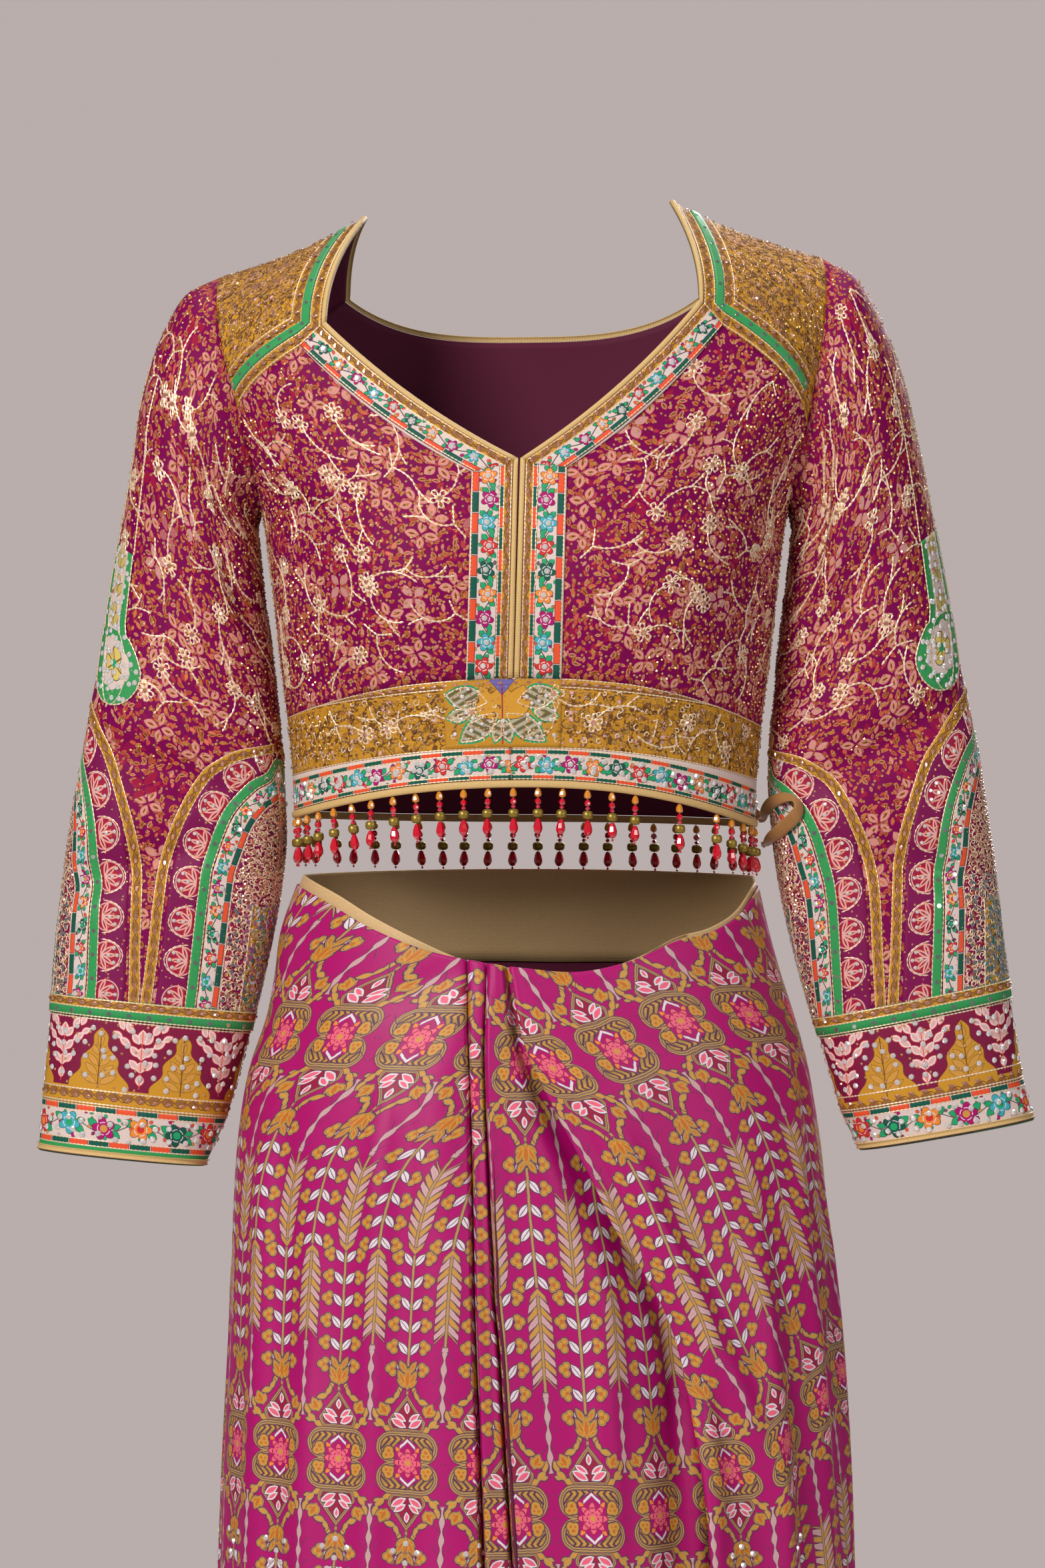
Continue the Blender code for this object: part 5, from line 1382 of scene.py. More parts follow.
def fan_finish(name, pitch, radius, middle):
    """A row of round leafy fans on plum: u across the row, v along."""
    finish = Finish(name, roughness=0.6)
    tree = finish.tree
    coat = Coat(tree, finish.vary(PLUM, 0.1, 0.3))
    local = finish.v.wrap(pitch) - pitch / 2
    spot = Spot(tree, finish.u - middle, local)
    reach = spot.reach((radius * 0.35, 0.0))
    coat.paint(PALE_PINK, radius - reach)
    coat.paint(CRIMSON, radius - 0.7 - reach)
    blades = leaves(spot, [(radius * 0.80, 0.0, angle, radius * 1.15, radius * 0.30) for angle in FAN_BLADES])
    coat.lined(PALE_PINK, blades, 0.3, ORANGE_RED)
    coat.paint(CRIMSON, blades - radius * 0.09, 0.2)
    return finish.done(coat.colour, (1.2, 0.3), blades.mask(0.8), 0.0003, 0.7)


def trim_finish(split):
    """The strip above the cuff: an ochre chain down to the split, and green satin below it."""
    finish = Finish("cuff trim", roughness=0.5)
    coat = Coat(finish.tree, RIBBON_GREEN)
    chain_zone(coat, finish.v, finish.u, 0.2, split, YOKE_GOLD)
    return finish.done(coat.colour, (1.0, 0.25), finish.weave(0.5), 0.0002, 0.6)


MOTIF_LEAVES = (
    (9.0, 7.0, 14.0, 26.0, 14.0),
    (2.5, 0.0, -36.0, 29.0, 13.0),
    (1.2, -4.0, -76.0, 14.0, 7.0),
    (19.0, 1.0, -10.0, 15.0, 8.0),
)
MOTIF_PETALS = (
    (0.0, -4.0, 90.0, 22.0, 15.0),
    (1.5, -3.5, 60.0, 24.0, 11.0),
    (2.5, -3.0, 36.0, 18.0, 9.0),
)


def motif_finish():
    """The large leafy flower at the middle of the hem band, on the band's own gold."""
    finish = Finish("hem band motif", roughness=0.55)
    tree = finish.tree
    spot = Spot(tree, abs(finish.u), finish.v)
    coat = Coat(tree, finish.vary(YOKE_GOLD, 0.06, 0.4))
    leaf = leaves(spot, MOTIF_LEAVES)
    coat.layers(leaf, (EMERALD, 1.5), (VINE, 0.3), (srgb(190, 182, 160), 0))
    ribs = ((spot.x * 0.6 + abs(spot.y) * 1.1) * 1.2).sine() * 0.5
    coat.paint(srgb(112, 104, 62), ribs.under(leaf - 1.2), 0.4)
    coat.layers(leaves(spot, MOTIF_PETALS), (UMBER, 0.5), (srgb(222, 160, 52), 0))
    bud = ((finish.v - 11.5) * 0.8 - abs(finish.u)).under(21.5 - finish.v)
    coat.lined(srgb(112, 104, 176), bud, 0.4, UMBER)
    coat.paint(CRIMSON, (0.4 - abs(finish.u)).under(19.0 - abs(finish.v)), 0.3)
    return finish.done(coat.colour, (1.0, 0.3), finish.weave(0.6), 0.0003, 0.8)


TREE_PITCH = 52.0
TREE_FOOT = 44.0
CUFF_PLUM = srgb(128, 16, 62)
SPRAY_PETALS = (
    (0.0, 30.0, 90.0, 9.0, 6.0),
    (0.0, 20.0, 90.0, 8.0, 6.4),
    (0.0, 12.0, 90.0, 7.0, 6.4),
    (0.0, 4.0, 90.0, 7.0, 5.0),
    (1.5, 30.0, 52.0, 8.0, 4.4),
    (1.5, 22.0, 48.0, 8.5, 4.6),
    (1.5, 14.0, 44.0, 8.0, 4.6),
    (6.5, 36.0, 60.0, 8.0, 4.4),
    (7.0, 28.0, 36.0, 9.0, 4.4),
    (12.0, 38.0, 66.0, 7.0, 4.0),
    (12.5, 33.0, 30.0, 7.0, 3.6),
    (5.0, 42.0, 80.0, 6.0, 3.6),
)
TREE_LEAVES = (
    (0.0, 26.0, 90.0, 9.0, 3.6),
    (0.6, 21.0, 50.0, 8.0, 3.2),
    (0.6, 14.0, 46.0, 10.0, 3.6),
    (0.6, 8.0, 40.0, 11.0, 4.0),
    (0.8, 3.0, 28.0, 12.0, 4.0),
)


def cuff_finish():
    """Ochre trees and pale sprays by turns on plum: u round the cuff, v down from its upper edge."""
    finish = Finish("cuff trees", roughness=0.58)
    tree = finish.tree
    coat = Coat(tree, finish.vary(CUFF_PLUM, 0.08, 0.3))
    up = TREE_FOOT - finish.v
    x = finish.u.wrap(TREE_PITCH) - TREE_PITCH / 2
    spray = Spot(tree, abs(x), up)
    pale = leaves(spray, SPRAY_PETALS)
    coat.layers(pale, (ORANGE_RED, 0.5), (PETAL_WHITE, 0), (PALE_PINK, -0.9))
    coat.paint(ORANGE_RED, (0.3 - abs(x)).under(up - 2.0).under(38.0 - up))
    half = abs((finish.u + TREE_PITCH / 2).wrap(TREE_PITCH) - TREE_PITCH / 2)
    lobes = (up * 0.42).sine() * 1.5
    cone = 19.5 - up * 0.50 + lobes - half
    cone = cone.under(38.5 - up)
    coat.layers(cone, (UMBER, 0.4), (YOKE_GOLD, 0))
    twig = leaves(Spot(tree, half, up), TREE_LEAVES)
    coat.paint(UMBER, (twig + 0.3).under(cone - 1.0), 0.25)
    coat.paint(OCHRE, twig.under(cone - 1.0), 0.25)
    coat.paint(UMBER, (0.35 - half).under(cone - 1.0))
    chain_zone(coat, up, finish.u, -9.0, 0.0, YOKE_GOLD)
    height = pale.mask(0.8) * 0.5 + cone.mask(0.6) * 0.3 + finish.weave(0.6) * 0.2
    return finish.done(coat.colour, (1.2, 0.3), height, 0.0003, 0.8)


def patch_finish():
    """The round patch above the arches: a green scalloped rim round a pale middle with a flower."""
    finish = Finish("scalloped patch", roughness=0.55)
    tree = finish.tree
    spot = Spot(tree, finish.u, finish.v)
    coat = Coat(tree, RIBBON_GREEN)
    reach = spot.reach()
    scallop = abs((spot.turn() * 5.0).sine()) * 1.3
    coat.paint(BORDER_GROUND, (12.2 + scallop - reach).over((7.2 - abs(finish.u)).under(finish.v - 16.0)))
    fan = abs((spot.turn() * 1.5).sine())
    coat.lined(PATCH_YELLOW, 9.6 * (fan * 0.55 + 0.35) - reach, 0.5, VINE)
    coat.paint(UMBER, (0.35 - abs(fan - 0.7) * reach * 0.9).under(8.0 - reach).under(reach - 2.0), 0.3)
    coat.paint(EMERALD, 2.2 - reach)
    blade = Spot(tree, abs(finish.u), finish.v.wrap(15.0) - 7.5)
    sprig = leaves(blade, ((0.4, -5.0, 58, 9.0, 4.0), (0.2, 0.5, 84, 6.0, 3.4))).under(finish.v - 17.0)
    coat.lined(srgb(206, 186, 104), sprig, 0.5, UMBER)
    return finish.done(coat.colour, (1.0, 0.25), finish.weave(0.6), 0.0002, 0.7)


# The saree's columns of print: where one column runs across each stretch, and where its flower rows lie
PRINT_LINE_COLUMNS = ("height", "place")
PRINT_LINES = {
    "drape_left": (
        (-1.0000, -0.1640),
        (-0.3834, -0.1522),
        (-0.3169, -0.1494),
        (-0.2573, -0.1486),
        (-0.2207, -0.1470),
        (-0.1842, -0.1449),
        (-0.1599, -0.1417),
        (-0.1355, -0.1356),
        (-0.1152, -0.1246),
        (-0.0889, -0.1031),
        (-0.0621, -0.0922),
        (-0.0341, -0.0760),
        (-0.0138, -0.0577),
        (0.0105, -0.0354),
    ),
    "drape_pleat": ((-1.0000, -0.0240), (-0.3800, -0.0345), (-0.1000, -0.0360), (0.0000, -0.0365)),
    "drape_centre": (
        (-1.0000, 0.0600),
        (-0.3830, 0.0206),
        (-0.3181, 0.0157),
        (-0.2410, 0.0101),
        (-0.1599, 0.0024),
        (-0.0763, -0.0025),
        (0.0024, -0.0102),
    ),
    "drape_right": (
        (-1.0000, 0.2080),
        (-0.6000, 0.1960),
        (-0.3790, 0.1841),
        (-0.3262, 0.1764),
        (-0.2654, 0.1602),
        (-0.2207, 0.1444),
        (-0.1802, 0.1249),
        (-0.1396, 0.1087),
        (-0.1152, 0.0965),
        (-0.0868, 0.0762),
        (-0.0694, 0.0616),
        (-0.0442, 0.0437),
        (-0.0179, 0.0255),
        (0.0024, 0.0113),
    ),
    "drape_back": ((-1.0, 0.0), (0.04, 0.0)),
}
PRINT_ROW_COLUMNS = ("across", "flower_height", "half_repeat")
PRINT_ROWS = {
    "drape_left": ((-0.10, -0.0600, 0.2520), (0.10, -0.0630, 0.2560)),
    "drape_pleat": ((-0.05, -0.0950, 0.2600), (0.05, -0.0950, 0.2600)),
    "drape_centre": ((-0.05, -0.0763, 0.2751), (0.05, -0.0763, 0.2751)),
    "drape_right": (
        (-0.047, -0.0791, 0.2451),
        (0.0, -0.0694, 0.2244),
        (0.047, -0.0507, 0.2227),
        (0.094, -0.0479, 0.2227),
    ),
    "drape_back": ((-0.2, -0.0600, 0.2600), (0.2, -0.0600, 0.2600)),
}
# Columns whose flowers lie half a repeat lower start one column further on
PRINT_START = {"drape_left": 1, "drape_pleat": 0, "drape_centre": 0, "drape_right": 0, "drape_back": 0}


# Cloth pieces
NARROWEST_SHEET = 0.0105


def lengths_across(grid):
    steps = np.linalg.norm(np.diff(grid, axis=1), axis=2)
    return np.concatenate([np.zeros((len(grid), 1)), np.cumsum(steps, axis=1)], axis=1)


def lengths_along(grid):
    return lengths_across(grid.transpose(1, 0, 2)).T


class Cloth:
    """A grid of points with normals and cloth coordinates in metres, rows by columns."""

    def __init__(self, grid, normals=None, cloth=None, around=False):
        self.grid = grid
        self.around = around
        self.normals = grid_normals(grid, around) if normals is None else normals
        if cloth is None:
            over, along = lengths_across(grid), lengths_along(grid)
            cloth = np.stack([over - over[:, -1:] / 2, along], axis=2)
        self.cloth = cloth
        self.tree = None

    def at(self, i, j):
        """The point and normal at row i and column j, which may lie between whole ones."""
        rows, cols = self.grid.shape[:2]
        i, j = np.clip(i, 0, rows - 1.001), np.clip(j, 0, cols - 1.001)
        a, b = i.astype(int), j.astype(int)
        s, t = (i - a)[:, None], (j - b)[:, None]
        found = []
        for field in (self.grid, self.normals):
            low = field[a, b] * (1 - t) + field[a, b + 1] * t
            high = field[a + 1, b] * (1 - t) + field[a + 1, b + 1] * t
            found.append(low * (1 - s) + high * s)
        return found[0], unit(found[1])

    def where(self, places):
        """The rows and columns at which cloth coordinates lie."""
        rows, cols = self.grid.shape[:2]
        if self.tree is None:
            flat = self.cloth.reshape(-1, 2)
            self.tree = mathutils.kdtree.KDTree(len(flat))
            for k, (u, v) in enumerate(flat.tolist()):
                self.tree.insert((u, v, 0.0), k)
            self.tree.balance()
        nearest = np.array([self.tree.find((u, v, 0.0))[1] for u, v in np.asarray(places).tolist()])
        i, j = (nearest // cols).astype(float), (nearest % cols).astype(float)
        down, over = np.gradient(self.cloth, axis=0), np.gradient(self.cloth, axis=1)
        for _ in range(2):
            a = np.clip(i.round().astype(int), 0, rows - 1)
            b = np.clip(j.round().astype(int), 0, cols - 1)
            here, p, q = self.cloth[a, b], down[a, b], over[a, b]
            miss = places - here
            size = p[:, 0] * q[:, 1] - p[:, 1] * q[:, 0]
            size = np.where(np.abs(size) < 1e-12, 1e-12, size)
            i = np.clip(a + (miss[:, 0] * q[:, 1] - miss[:, 1] * q[:, 0]) / size, 0, rows - 1)
            j = np.clip(b + (miss[:, 1] * p[:, 0] - miss[:, 0] * p[:, 1]) / size, 0, cols - 1)
        return i, j

    def place(self, places, lift=0.0):
        """Points on the cloth, and their normals, at these cloth coordinates."""
        points, normals = self.at(*self.where(np.asarray(places, float)))
        return points + normals * lift, normals

    def laid(self, places, across, along):
        """A strip laid on this cloth, from its places on it and its own cloth coordinates."""
        points, normals = self.place(places.reshape(-1, 2))
        shape = places.shape[:2] + (3,)
        return Cloth(points.reshape(shape), normals.reshape(shape), grid_places(across, along))

    def lifted(self, height):
        return Cloth(self.grid + self.normals * height, self.normals, self.cloth, self.around)


def add_to_scene(name, data):
    made = bpy.data.objects.new(name, data)
    bpy.context.scene.collection.objects.link(made)
    return made


def plain_object(name, points, faces, materials):
    mesh = bpy.data.meshes.new(name)
    mesh.from_pydata(points, [], faces)
    for material in materials:
        mesh.materials.append(material)
    return add_to_scene(name, mesh)


def corner_points(mesh):
    """The point at each corner of each face."""
    corners = np.empty(len(mesh.loops), dtype=np.int32)
    mesh.loops.foreach_get("vertex_index", corners)
    return corners


def add_object(name, points, faces, cloth, materials, indices=None, flat=False):
    """An object from points, faces, cloth coordinates for each point, and its materials."""
    made = plain_object(name, points.tolist(), faces, materials)
    mesh = made.data
    layer = mesh.uv_layers.new(name="cloth")
    corners = corner_points(mesh)
    layer.data.foreach_set("uv", np.asarray(cloth, dtype=np.float32)[corners].ravel())
    if indices is not None:
        mesh.polygons.foreach_set("material_index", np.asarray(indices, dtype=np.int32))
    mesh.polygons.foreach_set("use_smooth", np.full(len(mesh.polygons), not flat))
    mesh.update()
    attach(made, "root")
    return made


def wall(name, cloth, material, inner=None, low=-CLOTH, high=0.0):
    """A thin closed wall on a cloth, with its inner face in the inner material."""
    kept = slice(None, -1) if cloth.around else slice(None)
    grid, normals, places = cloth.grid[:, kept], cloth.normals[:, kept], cloth.cloth[:, kept]
    rows, cols = grid.shape[:2]
    count = rows * cols
    points = np.concatenate([(grid + normals * height).reshape(-1, 3) for height in (high, low)])
    edge = np.arange(cols if cloth.around else cols - 1)
    i, j = (found.ravel() for found in np.meshgrid(np.arange(rows - 1), edge, indexing="ij"))
    right = (j + 1) % cols
    outer = np.stack([i * cols + j, i * cols + right, (i + 1) * cols + right, (i + 1) * cols + j], axis=1)
    faces = [outer, outer[:, ::-1] + count]
    after = (edge + 1) % cols
    top = (rows - 1) * cols
    faces.append(np.stack([after, edge, edge + count, after + count], axis=1))
    faces.append(np.stack([edge + top, after + top, after + top + count, edge + top + count], axis=1))
    if not cloth.around:
        side = np.arange(rows - 1) * cols
        faces.append(np.stack([side, side + cols, side + cols + count, side + count], axis=1))
        last = side + cols - 1
        faces.append(np.stack([last + cols, last, last + count, last + cols + count], axis=1))
    if (normals[:-1, :-1] * np.cross(np.diff(grid, axis=1)[:-1], np.diff(grid, axis=0)[:, :-1])).sum() < 0:
        faces = [f[:, ::-1] for f in faces]
    uv = np.tile(places.reshape(-1, 2), (2, 1))
    indices = np.concatenate([np.full(len(f), int(k == 1)) for k, f in enumerate(faces)])
    materials = [material, inner or material]
    made = add_object(name, points, np.concatenate(faces).tolist(), uv, materials, indices)
    if cloth.around:
        mend_seam(made.data, cols, count, cloth.cloth[:, -1])
    return made


def mend_seam(mesh, cols, count, ends):
    """Cloth coordinates of a tube's last column, whose faces end on the first column's points."""
    layer = mesh.uv_layers["cloth"]
    quads = corner_points(mesh).reshape(-1, 4) % count
    wraps = (quads % cols == cols - 1).any(axis=1)[:, None] & (quads % cols == 0)
    uv = np.empty(len(mesh.loops) * 2, dtype=np.float32)
    layer.data.foreach_get("uv", uv)
    uv = uv.reshape(-1, 4, 2)
    uv[wraps] = ends[quads[wraps] // cols]
    layer.data.foreach_set("uv", uv.ravel())


def laid_wall(name, cloth, material, low, high):
    """A thin wall that lies on another cloth, in no solid's place."""
    piece = wall(name, cloth, material, None, low, high)
    return piece


def sew(node, cloth, slot, material, inner=None, low=-CLOTH, high=0.0, held="stretched", rests_on=()):
    """A cloth wall in place of a solid, which it hides."""
    piece = wall(node + "_cloth", cloth, material, inner, low, high)
    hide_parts(node)
    width = float(lengths_across(cloth.grid)[:, -1].max())
    length = float(lengths_along(cloth.grid)[-1].max())
    if min(width, length) > NARROWEST_SHEET:
        steps_over, steps_along = np.diff(cloth.grid, axis=1)[:-1], np.diff(cloth.grid, axis=0)[:, :-1]
        area = float(np.linalg.norm(np.cross(steps_over, steps_along), axis=2).sum())
        flat = (round(width, 3), round(length, 3))
        area = round(min(area, 0.999 * flat[0] * flat[1]), 5)
    return piece


# The wound saree
FRONT_STRETCHES = ("drape_left", "drape_pleat", "drape_centre", "drape_right")
FOLD_PARTS = 5


def curve_through(points, parts):
    """A smooth curve through points in a row, with each span cut in equal parts."""
    points = np.asarray(points, float)
    ends = np.concatenate([2 * points[:1] - points[1:2], points, 2 * points[-1:] - points[-2:-1]])
    t = (np.arange(parts) / parts)[None, :, None]
    a, b, c, d = (ends[k : len(ends) - 3 + k][:, None] for k in range(4))
    spans = 0.5 * (2 * b + (c - a) * t + (2 * a - 5 * b + 4 * c - d) * t**2 + (3 * b - a - 3 * c + d) * t**3)
    return np.concatenate([spans.reshape(-1, points.shape[1]), points[-1:]])


def saree_stretch(name):
    """One stretch of the saree's front: its points, angles and heights, finer than its solid."""
    rows = []
    for share in hanging_share():
        height = WAIST_MIDDLE + (DRAPE_BOTTOM - WAIST_MIDDLE) * share
        places, depths = curve_through(fold_columns(height)[name], FOLD_PARTS).T
        angles = drape_angle(places, np.full(len(places), height))
        if name == "drape_left":
            angles = np.concatenate([np.linspace(-90, angles[0], SIDE_STEPS + 1)[:-1], angles])
            depths = np.concatenate([np.zeros(SIDE_STEPS), depths])
        if name == "drape_right":
            fade = depths[-1] * np.linspace(1, 0, SIDE_STEPS + 1)[1:] ** 2
            angles = np.concatenate([angles, np.linspace(angles[-1], 90, SIDE_STEPS + 1)[1:]])
            depths = np.concatenate([depths, fade])
        top = waist_height(angles)
        rows.append((angles, top + (DRAPE_BOTTOM - top) * share, depths))
    return np.array(rows).transpose(1, 0, 2)


def print_places(name, grid):
    """Cloth coordinates of a stretch, in metres of print: its columns of flowers follow the cloth's hang."""
    over = lengths_across(grid)
    places = np.empty(grid.shape[:2] + (2,))
    for k, row in enumerate(grid):
        height = row[:, 2].mean()
        line = float(from_table(PRINT_LINES[name], PRINT_LINE_COLUMNS, "place", height))
        forward = np.maximum.accumulate(row[:, 0] + np.arange(len(row)) * 1e-9)
        if name == "drape_back":
            middle = over[k, len(row) // 2]
        else:
            middle = np.interp(line, forward, over[k])
        places[k, :, 0] = over[k] - middle
    rows = PRINT_ROWS[name]
    across = column(rows, PRINT_ROW_COLUMNS, "across")
    flower = np.interp(places[..., 0], across, column(rows, PRINT_ROW_COLUMNS, "flower_height"))
    half = np.interp(places[..., 0], across, column(rows, PRINT_ROW_COLUMNS, "half_repeat"))
    places[..., 1] = (grid[..., 2] - flower) / half * HALF_REPEAT / 1000
    places[..., 0] += PRINT_START[name] * COLUMN_PITCH / 1000
    return places


# How a hanging fold narrows at its top and widens at its foot, and the lengths over which it fades in and out
FOLD_NARROW = 0.75
FOLD_WIDEN = 0.5
FOLD_FADE_IN = 0.10
FOLD_FADE_OUT = 0.12
# Folds that reach this far down go on to the hem
FOLD_TO_HEM = -0.95
# The hollow beside each fold: its share of the depth, and its place in widths
HOLLOW_SHARE = 0.6
HOLLOW_PLACE = 1.9
# Soft hanging folds all round. Columns: top_turn, foot_turn, top, foot, width, depth
SAREE_FOLDS = (
    (-62.0, -58.0, -0.06, -1.00, 5.0, 0.0050),
    (-44.0, -46.0, -0.16, -0.90, 4.0, 0.0032),
    (-28.0, -31.0, -0.05, -1.00, 3.4, 0.0046),
    (-8.0, 10.0, -0.02, -1.00, -2.0, 0.0036),
    (14.0, 12.0, -0.14, -1.00, 3.0, 0.0034),
    (7.0, 58.0, -0.05, -0.40, -3.2, 0.0056),
    (33.0, 36.0, -0.20, -1.00, -3.2, 0.0050),
    (48.0, 60.0, -0.14, -1.00, 4.2, 0.0046),
    (66.0, 72.0, -0.06, -0.80, 4.6, 0.0042),
    (88.0, 92.0, -0.10, -1.00, 5.0, 0.0060),
    (112.0, 108.0, -0.05, -0.70, 4.0, 0.0048),
    (128.0, 130.0, -0.16, -1.00, 5.0, 0.0066),
    (149.0, 146.0, -0.06, -0.85, 4.4, 0.0054),
    (168.0, 172.0, -0.12, -1.00, 5.4, 0.0068),
    (193.0, 190.0, -0.05, -0.66, 4.0, 0.0048),
    (212.0, 216.0, -0.14, -1.00, 5.2, 0.0066),
    (236.0, 232.0, -0.08, -0.90, 4.6, 0.0054),
    (258.0, 262.0, -0.12, -1.00, 5.2, 0.0056),
)


def soft_folds(grid, angles, heights):
    """The grid pushed in and out in soft folds that fade in below the waist."""
    push = np.zeros(heights.shape)
    for top_turn, foot_turn, top, foot, width, depth in SAREE_FOLDS:
        share = np.clip((heights - top) / (foot - top), 0, 1)
        turn = top_turn + (foot_turn - top_turn) * share
        off = ((angles - turn + 180) % 360 - 180) / (width * (FOLD_NARROW + FOLD_WIDEN * share))
        fade = np.clip((top - heights) / FOLD_FADE_IN, 0, 1)
        fade = fade * np.clip((heights - foot) / FOLD_FADE_OUT + (foot < FOLD_TO_HEM), 0, 1)
        push += depth * fade * (np.exp(-off**2) - HOLLOW_SHARE * np.exp(-((off - HOLLOW_PLACE) ** 2)))
    return grid + surface_normals(drape_surface, angles, heights) * push[..., None]


# Where a stretch of the saree turns under at a fold line of the front. Columns: stretch, line, depth, reach
TUCKS = (
    ("drape_left", "groove_left", 0.0040, 0.012),
    ("drape_pleat", "groove_right", 0.0050, 0.007),
    ("drape_centre", "swag", 0.0120, 0.015),
)
TUCK_TOP = -0.03
TUCK_FADE = 0.06


def tuck(name, grid, angles, heights):
    """The grid with its cloth turned inwards just before the fold line that ends it."""
    for stretch, line, depth, reach in TUCKS:
        if stretch == name:
            rows = sorted(FOLDS)
            place = np.interp(heights, column(rows, FOLD_COLUMNS, "height"), column(rows, FOLD_COLUMNS, line))
            off = np.maximum(place - grid[..., 0], 0) / reach
            push = -depth * np.exp(-off**2) * np.clip((TUCK_TOP - heights) / TUCK_FADE, 0, 1)
            grid = grid + surface_normals(drape_surface, angles, heights) * push[..., None]
    return grid


def make_saree(finish, lining):
    """The saree's five stretches."""
    grids, made = {}, {}
    for name in FRONT_STRETCHES:
        angles, heights, depths = saree_stretch(name)
        grid = soft_folds(drape(angles, heights, depths), angles, heights)
        grids[name] = tuck(name, grid, angles, heights)
    angles = np.linspace(90, 270, BACK_DRAPE_STEPS + 1)
    top = waist_height(angles)
    heights = top + (DRAPE_BOTTOM - top) * hanging_share()[:, None]
    angles = np.broadcast_to(angles, heights.shape)
    grids["drape_back"] = soft_folds(drape(angles, heights, np.zeros(heights.shape)), angles, heights)
    for name, grid in grids.items():
        made[name] = Cloth(grid, grid_normals(grid), print_places(name, grid))
        sew(name, made[name], "saree_cloth", finish, lining, held="draped")
    return made


# Cloth of the blouse. Columns of creases: x0, z0, x1, z1, depth, reach
BODY_CREASES = (
    (-0.205, 0.290, -0.120, 0.262, -0.0022, 0.007),
    (-0.200, 0.262, -0.135, 0.232, 0.0015, 0.006),
    (0.205, 0.280, 0.118, 0.258, -0.0020, 0.007),
    (0.200, 0.255, 0.140, 0.226, 0.0014, 0.006),
    (-0.175, 0.170, -0.085, 0.158, -0.0012, 0.006),
    (0.165, 0.166, 0.100, 0.150, -0.0011, 0.006),
)
BACK_CREASES = (
    (-0.190, 0.285, -0.105, 0.250, -0.0022, 0.008),
    (0.190, 0.280, 0.120, 0.240, -0.0020, 0.008),
    (-0.060, 0.200, -0.045, 0.120, -0.0016, 0.009),
    (0.055, 0.215, 0.038, 0.130, -0.0015, 0.009),
    (0.160, 0.175, 0.080, 0.160, -0.0011, 0.006),
    (-0.160, 0.170, -0.095, 0.150, -0.0010, 0.006),
)
# How much of a crease is left in the rows and columns next to a panel's edges
EDGE_SHARES = np.linspace(0, 1, 9)[:-1]
# The level that cloth coordinates are measured round, and how closely
ROUND_HEIGHT = 0.20
ROUND_SAMPLES = 1081
EDGE_SAMPLES = 400


def by_height(flat):
    """Cloth coordinates of a body panel: the length round the body from its front, and the height."""
    angles = np.linspace(-180, 360, ROUND_SAMPLES)
    line = torso(angles, np.full(len(angles), ROUND_HEIGHT))
    along = lengths(line)
    along -= np.interp(0.0, angles, along)
    return np.stack([np.interp(flat[..., 0], angles, along), flat[..., 1]], axis=2)


def beside_edge(grid):
    """Cloth coordinates of a border: the distance from its first column's line, and the place along it."""
    edge = run(grid[:, 0], EDGE_SAMPLES)
    step = np.linalg.norm(edge[1] - edge[0])
    away = np.linalg.norm(grid[:, :, None] - edge[None, None], axis=3)
    return np.stack([away.min(axis=2), away.argmin(axis=2) * step], axis=2)


def body_cloth(flat):
    """The smooth cloth of a panel of the blouse's body."""
    points = torso(flat[..., 0], flat[..., 1])
    return Cloth(points, surface_normals(torso, flat[..., 0], flat[..., 1]), by_height(flat))


def creased(panel, table, facing):
    """A panel with its creases, which fade towards its edges."""
    edge = np.ones(panel.grid.shape[:2])
    for k, share in enumerate(EDGE_SHARES):
        for line in (edge[k], edge[-1 - k], edge[:, k], edge[:, -1 - k]):
            np.minimum(line, share, out=line)
    push = (fold_push(panel.grid, panel.normals, table, facing) * edge)[..., None]
    grid = panel.grid + panel.normals * push
    ups = grid_normals(grid)
    ups = np.where(push == 0, panel.normals, ups * np.sign((ups * panel.normals).sum()))
    return Cloth(grid, ups, panel.cloth)


def edge_strip(edge, beside, normals, width=PIPING_WIDTH):
    """A rounded strip past an edge, as a cord that lies along it."""
    way = unit(edge - beside)
    t = np.linspace(0, 1, PIPING_STEPS + 1)
    grid = edge[:, None] + way[:, None] * (SEAM + width * t)[None, :, None]
    bulge = PIPING_RISE * np.sqrt(np.clip(1 - (2 * t - 1) ** 2, 0, 1))
    grid = grid + normals[:, None] * bulge[None, :, None]
    places = grid_places((width * t)[None, :], lengths(edge)[:, None])
    return Cloth(grid, np.repeat(normals[:, None], len(t), axis=1), places)


def make_front(side, looks):
    word = side_name(side)
    flat = front_flat(side)
    panel = body_cloth(flat)
    sew("front_" + word, creased(panel, BODY_CREASES, -1), "blouse_cloth", looks["ground"], looks["lining"])
    cols = slice(0, FINE * STRIP_STEPS + 1)
    borders = {}
    for part, rows in (("placket", slice(0, PLACKET_ROWS + 1)), ("neck", slice(PLACKET_ROWS, None))):
        grid, normals = panel.grid[rows, cols], panel.normals[rows, cols]
        border = Cloth(grid, normals, beside_edge(grid))
        look, front = looks[part + "_border"], "front_" + word + "_cloth"
        sew(part + "_border_" + word, border, "floral_border", look, **LAID, rests_on=[front])
        borders[part] = border
        cord = edge_strip(grid[:, 0], grid[:, 1], normals[:, 0])
        sew(part + "_piping_" + word, cord, "piping", looks["piping"], **PIPED)
    return flat, panel, borders


def make_back(looks):
    flat = back_flat()
    panel = body_cloth(flat)
    sew("back", creased(panel, BACK_CREASES, 1), "blouse_cloth", looks["ground"], looks["lining"])
    return flat, panel


